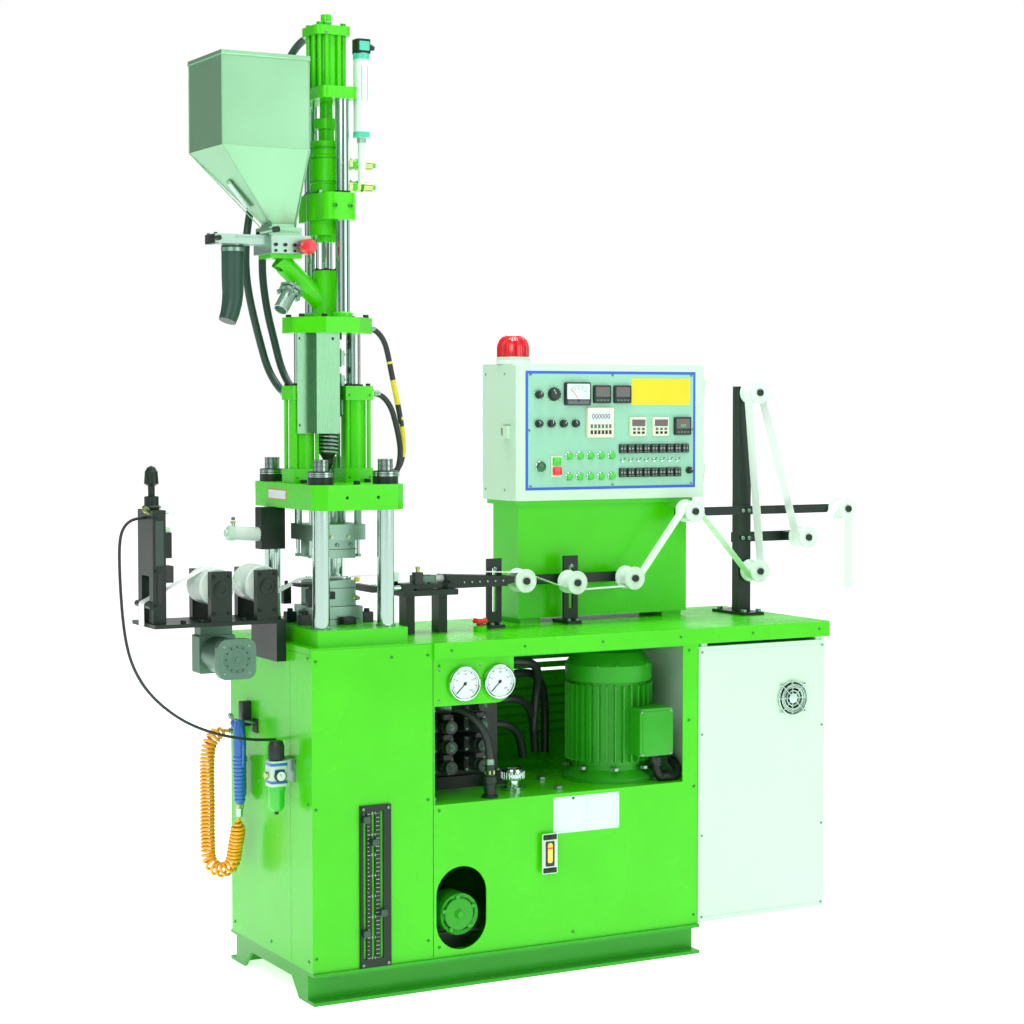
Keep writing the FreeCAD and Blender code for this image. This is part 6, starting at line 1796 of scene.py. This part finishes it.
@dataclass
class InjectionUnit:
    """Nozzle heater, guard, carriage screws, throat spout, drive and transducer trim."""

    middle: tuple[float, float] = (144.0, 228.0)
    columns: tuple[tuple[float, float], ...] = ((157, 166), (131, 290))

    def nozzle(self) -> None:
        """The bright heater coil round the nozzle and the barrel's heater bands."""
        piece = Piece("nozzle_heater")
        x, y = self.middle
        for turn in range(8):
            Cabinets.ring(piece, (x, y, 1286 + 9.2 * turn), 27, 3.2, ALUMINIUM,
                          (0.10, 0.05, 1))
        piece.turned([(0, 0), (24.4, 0), (24.4, 62), (0, 62)], (x, y, 1282), UP,
                     BLACK_IRON, 32)
        for z in (1372, 1432, 1492):
            piece.turned([(0, 0), (34, 0), (34, 44), (0, 44)], (x, y, z), UP, GUARD_STEEL,
                         36)
            piece.slab((x + 33, y, z + 22), (12, 36, 10), STEEL, Side.RIGHT, edge=1)
            piece.cap_screw((x + 43, y, z + 30), (1, 0, 0), 3.4, STEEL)
        piece.finish("carriage")

    def guard(self) -> None:
        """Screws and a small dark round mark on the barrel's guard."""
        piece = Piece("guard_trim")
        low, high = box_of("barrel_guard")
        for z in (high.z - 14, low.z + 20):
            piece.pan_screw((low.x, (low.y + high.y) / 2, z), Side.LEFT, 3.6, BLACK_PAINT)
        piece.slab(((low.x + high.x) / 2 + 30, low.y, high.z - 14), (7, 7, 0.5), INK,
                   corner=3.4)
        piece.finish("carriage")

    def carriage(self) -> None:
        """Screws and column collars on the carriage plate and cylinder flanges."""
        piece = Piece("carriage_trim")
        low, high = box_of("carriage_plate")
        for dx, dy in ((-84, -40), (-84, 40), (84, -40), (84, 40), (-40, -74), (60, 74)):
            piece.cap_screw((144 + dx, 228 + dy, 1610), UP, 7)
        for x, y in self.columns:
            for z in (1610,):
                piece.turned([(0, 0), (24, 0), (24, 10), (21, 12.5), (0, 12.5)],
                             (x, y, z), UP, GREEN, 40)
            piece.turned([(0, 0), (19.5, 0), (19.5, 5), (0, 5)], (x, y, 1905.5), UP,
                         BLACK_PAINT, 32)
        for turn in range(6):
            angle = math.tau * turn / 6
            piece.cap_screw((144 + 27 * math.cos(angle), 228 + 27 * math.sin(angle), 1725),
                            UP, 3.6)
        piece.turned([(0, 0), (33.6, 0), (33.6, 3), (0, 3)], (144, 228, 1723), UP,
                     BLACK_PAINT, 40)
        for z in (1640, 1668, 1696):
            piece.hexagon((166, 200, z), (0.6, -0.8, 0), 9, 9, GREEN_DEEP)
        piece.finish("carriage")

    def cylinder(self) -> None:
        """The injection cylinder's tie rods, nuts and head fitting."""
        piece = Piece("injection_cylinder_trim")
        low, high = box_of("injection_cylinder")
        x, y = self.middle
        for dx in (-31, 31):
            for dy in (-31, 31):
                piece.rod((x + dx, y + dy, low.z + 12), UP, 5, high.z - low.z - 46, GREEN)
                piece.hexagon((x + dx, y + dy, 2304), UP, 14, 8, GREEN_DEEP)
        piece.hexagon((x, y, 2306), UP, 30, 12, GREEN_DEEP)
        piece.turned([(0, 0), (9, 0), (9, 4), (7, 5), (7, 12), (0, 12)], (x, y, 2318), UP,
                     BRASS, 24)
        piece.cap_screw((x - 20, 182, 2286), (0, -1, 0), 4, STEEL)
        piece.finish("carriage")

    def drive(self) -> None:
        """The hydraulic motor's flanges, seams, bolts and brass unions."""
        piece = Piece("screw_drive_trim")
        x, y = self.middle
        for z, r in ((1908, 43.2), (1934, 42.8), (1990, 42.8), (2014, 42.8)):
            piece.turned([(0, 0), (r, 0), (r + 0.4, 1.2), (r, 2.6), (0, 2.6)], (x, y, z),
                         UP, GREEN_DEEP, 48)
        for z in (1930, 1983):
            piece.hexagon((196, 234, z), (1, 0, 0), 27, 16, BRASS)
            piece.hexagon((222, 234, z), (1, 0, 0), 24, 12, BRASS)
            piece.turned([(0, 0), (12.6, 0), (12.6, 24), (10.6, 26), (0, 26)],
                         (240, 234, z), (1, 0, 0), BRASS, 24)
        low, high = box_of("crosshead")
        for dx in (-20, 20):
            piece.cap_screw((x + dx, low.y, 1873), (0, -1, 0), 5.5, GREEN_DEEP)
        for turn in range(4):
            angle = math.tau * (turn + 0.5) / 4
            piece.hexagon((x + 46 * math.cos(angle), y + 46 * math.sin(angle), 1905), UP,
                          13, 9, STEEL)
        piece.finish("crosshead_unit")

    def transducer(self) -> None:
        """End caps, head, clamps and plug of the stroke transducer."""
        piece = Piece("transducer_trim")
        x, y = 211.0, 172.0
        for z in (2040, 2226):
            piece.turned([(0, 0), (20.4, 0), (20.4, 13), (0, 13)], (x, y, z), UP,
                         TEAL_PLASTIC, 36)
        piece.turned([(0, 0), (19.5, 0), (19.5, 100), (0, 100)], (x, y, 2116), UP,
                     WHITE_PLASTIC, 36)
        piece.slab((x, 154.6, 2168), (16, 84, 0.8), GREY_CAST, corner=1)
        piece.slab((x, y, 2239.5), (35, 35, 35), BLACK_PAINT, Side.TOP, corner=4, edge=2)
        piece.slab((x, 154.8, 2257), (26, 22, 1.4), TEAL_PLASTIC, corner=2)
        piece.turned([(0, 0), (8, 0), (8, 10), (6, 12), (6, 16), (0, 16)],
                     (x + 17, y, 2258), (1, 0, -0.2), BLACK_PLASTIC, 20)
        piece.turned([(0, 0), (11, 0), (11, 10), (0, 10)], (x, y, 2028), UP, ALUMINIUM, 24)
        piece.finish("carriage")

    def throat(self) -> None:
        """The throat's pale cleaning spout with its flange, and the drain hose."""
        piece = Piece("throat_spout")
        start, way = Vector((34, 186, 1676)), Vector((-44, -22, -62)).normalized()
        piece.turned([(0, 0), (29, 0), (29, 7), (0, 7)], start, way, ALUMINIUM, 6)
        piece.turned([(0, 0), (27, 0), (27, 7), (0, 7)], start + way * 10, way, ALUMINIUM,
                     6)
        piece.turned([(0, 0), (17.5, 0), (17.5, 50), (15, 50), (15, 30), (0, 30)],
                     start + way * 16, way, ALUMINIUM, 32)
        side = way.cross(Vector((0, 0, 1))).normalized()
        other = way.cross(side).normalized()
        for a, b in ((1, 1), (1, -1), (-1, 1), (-1, -1)):
            place = start + side * (19 * a) + other * (14 * b) - way * 6
            piece.rod(place, way, 3.2, 34, STEEL)
            piece.hexagon(place + way * 23, way, 11, 6, STEEL)
        piece.finish("carriage")
        hose = Piece("drain_hose")
        points = [Vector(p) for p in ((-99, 228, 1776), (-99, 228, 1700), (-99, 227, 1664),
                                      (-102, 226, 1640), (-108, 223, 1618),
                                      (-116, 220, 1598))]
        radii = (26.5, 26, 25, 24, 22.6, 21)
        for a, b, r, s in zip(points, points[1:], radii, radii[1:]):
            hose.turned([(0, -0.5), (r, -0.5), (s, (b - a).length + 0.8),
                         (0, (b - a).length + 0.8)], a, b - a, GREEN_HOSE, 32)
        hose.turned([(0, 0), (27.4, 0), (27.4, 9), (0, 9)], (-99, 228, 1762), UP, STEEL, 36)
        hose.finish("carriage")

    def slide(self) -> None:
        """The hopper slide's red knob, lever clamp, rail screws and end stop."""
        piece = Piece("hopper_slide_trim")
        piece.turned([(0, 9), (16.6, 9), (18.6, 13), (18.6, 20), (17.8, 33), (14, 40.8),
                      (6, 42), (0, 42.4)], (61, 172, 1774), (0, -1, 0), RED, 40)
        piece.turned([(0, 0), (9.6, 0), (9.6, 10), (0, 10)], (61, 172, 1774), (0, -1, 0),
                     BLACK_PAINT, 24)
        for x in (-12, 12, 36):
            piece.cap_screw((x, 171.6, 1778), (0, -1, 0), 4.2)
            piece.cap_screw((x, 171.6, 1764), (0, -1, 0), 3.2)
        piece.slab((-70, 194, 1795), (66, 3, 2), STEEL)
        piece.slab((-150, 228, 1778), (14, 60, 22), BLACK_PAINT, Side.TOP, corner=3, edge=2)
        piece.cap_screw((-150, 204, 1800), UP, 4)
        piece.cap_screw((-150, 252, 1800), UP, 4)
        piece.rod((-150, 196, 1790), (0, -1, 0), 6, 16, BLACK_PAINT)
        piece.bar((-44, 190, 1806), (-20, 168, 1812), 5, STEEL)
        piece.rod((-20, 168, 1812), (0.7, -0.7, 0.1), 7, 16, BLACK_PLASTIC, soft=3)
        piece.finish("carriage")

    def build(self) -> None:
        """Dress the injection unit."""
        self.nozzle()
        self.guard()
        self.carriage()
        self.cylinder()
        self.drive()
        self.transducer()
        self.throat()
        self.slide()


@dataclass
class Hopper:
    """The stainless hopper's folds, corner seams, window and outlet flange."""

    low: tuple[float, float] = (-165.0, 120.0)
    high: tuple[float, float] = (53.0, 336.0)
    shoulder: float = 1999.0
    top: float = 2214.0
    outlet: tuple[float, float] = (19.0, 228.0)
    outlet_half: float = 30.0
    outlet_z: float = 1815.0

    def body(self) -> None:
        """Seams down the corners and the slopes, and the fold at the shoulder."""
        piece = Piece("hopper_seams")
        corners = [(x, y) for x in (self.low[0], self.high[0])
                   for y in (self.low[1], self.high[1])]
        for x, y in corners:
            piece.bar((x, y, self.shoulder), (x, y, self.top - 8), 1.3, STAINLESS, 8)
            end = (self.outlet[0] + math.copysign(self.outlet_half, x + 56),
                   self.outlet[1] + math.copysign(self.outlet_half, y - 228),
                   self.outlet_z + 4)
            piece.bar((x, y, self.shoulder), end, 1.5, STAINLESS, 8)
        ring = (corners[0], corners[1], corners[3], corners[2], corners[0])
        for a, b in zip(ring, ring[1:]):
            piece.bar((*a, self.shoulder), (*b, self.shoulder), 1.2, STAINLESS, 8)
        piece.slab((*self.outlet, self.outlet_z - 8), (84, 84, 6), STAINLESS, Side.TOP,
                   corner=4)
        for dx in (-34, 34):
            for dy in (-34, 34):
                piece.cap_screw((self.outlet[0] + dx, self.outlet[1] + dy,
                                 self.outlet_z - 2), UP, 4.4, STEEL)
        piece.finish("hopper_unit")

    def window(self) -> None:
        """The sight window along the middle of the left slope."""
        piece = Piece("hopper_window")
        start = Vector((self.low[0], 228, self.shoulder))
        end = Vector((self.outlet[0] - self.outlet_half, 228, self.outlet_z))
        way = (end - start).normalized()
        out = Vector((way.z, 0, -way.x))
        turn = Matrix((Vector((0, -1, 0)), way, out)).transposed().to_4x4()
        piece.base = Matrix.Translation(start.lerp(end, 0.56) + Vector((0, 12, 0))) @ turn
        piece.slab((0, 0, 0), (30, 84, 1.6), STAINLESS, Side.TOP, corner=4, edge=0.6)
        piece.slab((0, 0, 1.2), (19, 70, 1.2), DIAL, Side.TOP, corner=3)
        for dy in (-38, 38):
            piece.pan_screw((0, dy, 1.6), Side.TOP, 2.4)
        piece.finish("hopper_unit")

    def rim(self) -> None:
        """The lid's folded edge."""
        piece = Piece("lid_rim")
        low, high = box_of("hopper_lid")
        x, y = (low.x + high.x) / 2, (low.y + high.y) / 2
        corners = ((low.x, low.y), (high.x, low.y), (high.x, high.y), (low.x, high.y),
                   (low.x, low.y))
        for a, b in zip(corners, corners[1:]):
            piece.bar((*a, low.z + 2.4), (*b, low.z + 2.4), 1.6, STAINLESS, 8)
        piece.finish("lid")

    def build(self) -> None:
        """Dress the hopper."""
        self.body()
        self.window()
        self.rim()


# ---------------------------------------------------------------- tape line


@dataclass
class TapeLine:
    """The puller, the feeder table, the idlers' hubs and the mast's screws."""

    pull_rollers: tuple[tuple[float, float], ...] = ((-160, 973), (-45, 976))
    idlers: tuple[tuple[float, float], ...] = (
        (680, 954), (830, 944), (1004, 949), (1190, 1119), (1399, 953), (1395, 1433),
        (1558, 1040), (1691, 1115))
    front: float = 150.0

    def rollers(self) -> None:
        """Hubs, rims and shaft ends of the pull rollers and the idlers."""
        for index, (x, z) in enumerate(self.pull_rollers, start=1):
            piece = Piece(f"pull_roller_{index}_hub")
            for y, out in ((183, -1), (273, 1)):
                piece.turned([(11, -1), (27, -1), (27, 0.8), (23, 1.4), (23, 0.6),
                              (14, 0.6), (14, 1.6), (11, 1.6), (11, -1)], (x, y, z),
                             (0, out, 0), IVORY, 40)
                piece.turned([(9.6, -1), (14, -1), (14, 1.0), (9.6, 1.0), (9.6, -1)],
                             (x, y, z), (0, out, 0), DARK_GREEN_KNOB, 32)
            piece.finish(f"pull_roller_{index}")
        for index, (x, z) in enumerate(self.idlers, start=1):
            piece = Piece(f"idler_{index}_hub")
            for y, out in ((203, -1), (253, 1)):
                Cabinets.ring(piece, (x, y + 0.4 * out, z), 27.5, 1.1, WHITE_PLASTIC)
                Cabinets.ring(piece, (x, y + 0.3 * out, z), 14, 0.9, WHITE_PLASTIC)
            piece.finish(f"idler_{index}")

    def puller(self) -> None:
        """Bearing caps, screws, column details and the plate's bolts."""
        piece = Piece("puller_trim")
        for x, z in self.pull_rollers:
            face = self.front + 4
            piece.turned([(0, 0), (19, 0), (19, 2.4), (16, 3.6), (9, 3.6), (9, 1.2),
                          (0, 1.2)], (x, face, z - 4), (0, -1, 0), BLACK_PAINT, 36)
            for dx in (-19, 19):
                for dz in (-60, 26):
                    piece.cap_screw((x + dx, face, z + dz), (0, -1, 0), 4.2)
        for x in (-250, -205, -100, -12):
            piece.cap_screw((x, 168, 893), UP, 6.5)
        x, y = -304.0, 176.0
        piece.slab((x, y, 1080), (20, 104, 1.2), DARK_GREEN_KNOB, corner=1)
        piece.slab((x, y - 0.6, 975), (11, 74, 1.0), INK, corner=5)
        for z in (910, 936, 1016, 1140):
            piece.cap_screw((x - 9, y, z), (0, -1, 0), 3.8)
        piece.hexagon((-304, 228, 1157.5), UP, 40, 9, BLACK_PAINT)
        piece.turned([(0, 0), (6, 0), (6, 12), (8, 13), (8, 20), (0, 20)],
                     (-316, 204, 1150), (-0.8, -0.3, 0.5), BRASS, 18)
        piece.turned([(0, 0), (5, 0), (5, 16), (0, 16)], (-289, 200, 1150), (1, -0.1, 0.1),
                     WHITE_PLASTIC, 18)
        piece.slab((-288, 228, 1092), (30, 46, 26), WHITE_PAINT, Side.RIGHT, corner=3,
                   edge=2)
        piece.slab((-288, 216, 1006), (36, 40, 27), BLACK_PLASTIC, Side.RIGHT, corner=3,
                   edge=2)
        piece.finish("root")

    def gearmotor(self) -> None:
        """The gearmotor's eight-sided cap with its round vents and its screws."""
        piece = Piece("gearmotor_cap")
        low, high = box_of("puller_motor")
        x, y, z = -150.0, low.y, 812.0
        for radius in (32, 25, 18, 11):
            Cabinets.ring(piece, (x, y, z), radius, 1.3, GREY_CAST)
        piece.turned([(0, 0), (6, 0), (5, 2), (0, 2.4)], (x, y, z), (0, -1, 0), GREY_CAST)
        for index in range(12):
            turn = math.tau * index / 12
            piece.slab((x + 28 * math.sin(turn), y, z + 28 * math.cos(turn)),
                       (3.4, 5.4, 0.4), INK, tilt=-math.degrees(turn))
        for dx in (-36, 36):
            for dz in (-36, 36):
                piece.pan_screw((x + dx * 0.86, y, z + dz * 0.86), Side.FRONT, 3.4)
        piece.turned([(0, 0), (44.4, 0), (44.4, 3), (0, 3)], (x, y + 26, z), (0, 1, 0),
                     STEEL, 48)
        piece.finish("root")

    def feeder(self) -> None:
        """Cylinder, sensors, screws and fittings on the tape guide table."""
        piece = Piece("tape_feeder_trim")
        for dy in (-36, 36):
            for x in (334, 400, 460):
                piece.cap_screw((x, 228 + dy, 944 if x == 334 else 958), UP, 4.6)
        piece.slab((400, 228, 958), (56, 40, 20), GREY_CAST, Side.TOP, corner=3, edge=2)
        piece.rod((428, 228, 968), (1, 0, 0), 10, 52, WHITE_PLASTIC, soft=2)
        piece.slab((372, 200, 958), (24, 18, 30), BLACK_PLASTIC, Side.TOP, corner=2,
                   edge=1.5)
        piece.turned([(0, 0), (5, 0), (5, 8), (6.4, 9), (6.4, 14), (0, 14)],
                     (372, 200, 988), UP, BRASS, 16)
        for x in (300, 268):
            piece.slab((x, 184, 970), (18, 16, 22), ALUMINIUM, Side.TOP, edge=1)
        for dy in (-44, 44):
            piece.rod((250, 228 + dy, 952), (1, 0, 0), 6.4, 72, CHROME)
        for index in range(6):
            piece.cap_screw((500 + 22 * index, 198, 958), (0, -1, 0), 2.6, STEEL)
        piece.finish("root")

    def mast(self) -> None:
        """Screws that hold the arms, brackets and feet."""
        piece = Piece("mast_screws")
        low, high = box_of("tape_stands")
        for x, z in ((1376, 1115), (1396, 1115), (1376, 1041), (1396, 1041)):
            piece.cap_screw((x, 254, z), (0, -1, 0), 5, STEEL)
        for x in (1362, 1410):
            for y in (226, 340):
                piece.hexagon((x, y, 842), UP, 15, 8, STEEL)
        for x in (618, 843):
            for z in (984, 850 + 110):
                piece.cap_screw((x, 258, z), (0, -1, 0), 4.6, STEEL)
            for dx in (-12, 12):
                piece.cap_screw((x + dx, 246, 842), UP, 5, STEEL)
        piece.finish("root")

    def build(self) -> None:
        """Dress the tape line."""
        self.rollers()
        self.puller()
        self.gearmotor()
        self.feeder()
        self.mast()


@dataclass
class AirService:
    """The filter regulator, the blow gun and the curly hose's union."""

    regulator: tuple[float, float] = (-40.0, 118.0)
    gun: tuple[float, float] = (-43.0, 343.0)

    def make_regulator(self) -> None:
        """The regulator's body, knob, bowl, gauge and bracket, and the hose union."""
        piece = Piece("air_regulator_unit")
        x, y = self.regulator
        piece.slab((0, 118, 534), (46, 44, 3), STEEL, Side.LEFT, corner=2)
        piece.slab((-11, 118, 566), (24, 46, 3), STEEL, Side.TOP)
        piece.slab((-3, 118, 552), (46, 30, 3), STEEL, Side.LEFT)
        piece.slab((x, y, 504), (42, 42, 60), WHITE_PAINT, Side.TOP, corner=6, edge=2)
        for z in (511, 553):
            piece.slab((x, y, z), (43, 43, 7), BLUE, Side.TOP, corner=6)
        piece.slab((x, y - 21, 534), (26, 22, 1.2), BLUE, corner=3)
        piece.turned([(0, 0), (14, 0), (14, 8), (12.6, 9.4), (0, 9.4)], (x, y - 21, 530),
                     (0, -1, 0), BLACK_PLASTIC, 28)
        piece.turned([(0, 0), (11, 0), (11, 0.5), (0, 0.5)], (x, y - 30.2, 530),
                     (0, -1, 0), DIAL, 24)
        piece.slab((x - 1.6, y - 30.6, 533), (1, 8, 0.4), INK, tilt=30)
        knob = [(0, 0), (16, 0), (19, 4), (19, 36), (17, 40), (15.5, 46), (0, 48)]
        piece.turned(knob, (x, y, 564), UP, BLACK_PLASTIC, 36)
        for index in range(24):
            turn = math.tau * index / 24
            piece.bar((x + 18.4 * math.cos(turn), y + 18.4 * math.sin(turn), 569),
                      (x + 18.4 * math.cos(turn), y + 18.4 * math.sin(turn), 599), 1.0,
                      BLACK_PLASTIC, 6)
        piece.turned([(0, 0), (8, 1), (14, 4), (19, 12), (19.6, 52), (21, 53), (21, 62),
                      (0, 62)], (x, y, 442), UP, GREEN_BUTTON, 40)
        piece.turned([(0, 0), (5, 0), (5, 8), (0, 8)], (x, y, 436), UP, BLACK_PLASTIC, 16)
        piece.turned([(0, 0), (9, 0), (9, 8), (0, 8)], (x - 21, y, 530), (-1, 0, 0), BRASS,
                     6)
        piece.finish("root", "air_regulator")
        union = Piece("hose_union")
        union.slab((0, 440, 592), (40, 46, 14), TEAL_PLASTIC, Side.LEFT, corner=3, edge=2)
        union.hexagon((-14, 440, 592), (-1, 0, 0), 19, 8, BRASS)
        union.turned([(0, 0), (8, 0), (8, 8), (6, 9), (6, 12.5), (0, 12.5)],
                     (-22, 440, 592), (-1, 0, 0), CHROME, 24)
        union.finish("root")

    def make_gun(self) -> None:
        """The blue blow gun hanging on its hook, nozzle up, with its brass inlet."""
        piece = Piece("blow_gun")
        x, y = self.gun
        grip = [(0, 0), (10, 0)]
        for index in range(12):
            low = 6 + 9.5 * index
            wide = 12.4 + 0.3 * index
            grip += [(wide, low), (wide + 1.6, low + 2.4), (wide + 1.6, low + 5),
                     (wide, low + 7)]
        grip += [(15.4, 124), (16.4, 150), (14.6, 184), (11, 204), (0, 207)]
        piece.turned(grip, (x, y, 426), UP, BLUE, 36)
        piece.bar((x, y, 600), (x, y + 34, 622), 11, BLUE, 20)
        piece.bar((x, y + 30, 619), (x, y + 58, 634), 5, CHROME, 16)
        piece.turned([(0, 0), (7, 0), (7, 6), (3, 12), (0, 12)], (x, y + 56, 633),
                     (0, 0.9, 0.45), CHROME, 18)
        piece.bar((x, y - 16, 606), (x, y - 27, 572), 3.6, BLUE, 12)
        piece.bar((x, y - 27, 572), (x, y - 22, 520), 3.6, BLUE, 12)
        piece.bar((x, y - 8, 622), (x, y - 17, 606), 4, BLUE, 12)
        piece.hexagon((x, y, 414), UP, 19, 12, BRASS)
        piece.turned([(0, 0), (7, 0), (8.4, 2), (8.4, 16), (10, 17), (10, 22), (0, 22)],
                     (x, y + 3, 393), UP, CHROME, 24)
        piece.slab((0, y, 615), (30, 34, 3), BLACK_PAINT, Side.LEFT, corner=2)
        piece.bar((-2, y, 622), (-30, y, 628), 3, STEEL, 12)
        piece.slab((0, 388, 640), (32, 60, 22), BLACK_PLASTIC, Side.LEFT, corner=3, edge=2)
        piece.turned([(0, 0), (6, 0), (8, 6), (12, 8), (15, 18), (15, 96), (17, 98),
                      (17, 108), (0, 108)], (-22, 392, 424), UP, GREEN_CAST, 28)
        piece.finish("root", "air_gun")

    def build(self) -> None:
        """Make the air service parts."""
        self.make_regulator()
        self.make_gun()


ASSEMBLIES = (Studio, Plumbing, TapePath, Cabinets, Hydraulics, ControlBox, ClampTower,
              InjectionUnit, Hopper, TapeLine, AirService)


def dress_nodes() -> None:
    """Give each CAD node that stays in view its own finish."""
    for finish, names in NODE_FINISHES.items():
        for name in names:
            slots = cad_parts[name].data.materials
            slots.clear()
            slots.append(finish.material(Piece.effects))


def main() -> None:
    """Build the scene in order: studio, cords and hoses, then each sub-assembly."""
    logging.basicConfig(level=logging.INFO, format="%(name)s: %(message)s")
    random.seed(7)
    Piece.effects = Effects()
    dress_nodes()
    for part in ASSEMBLIES:
        part().build()
        LOG.info("%s is built", part.__name__)


if __name__ == "__main__":
    main()
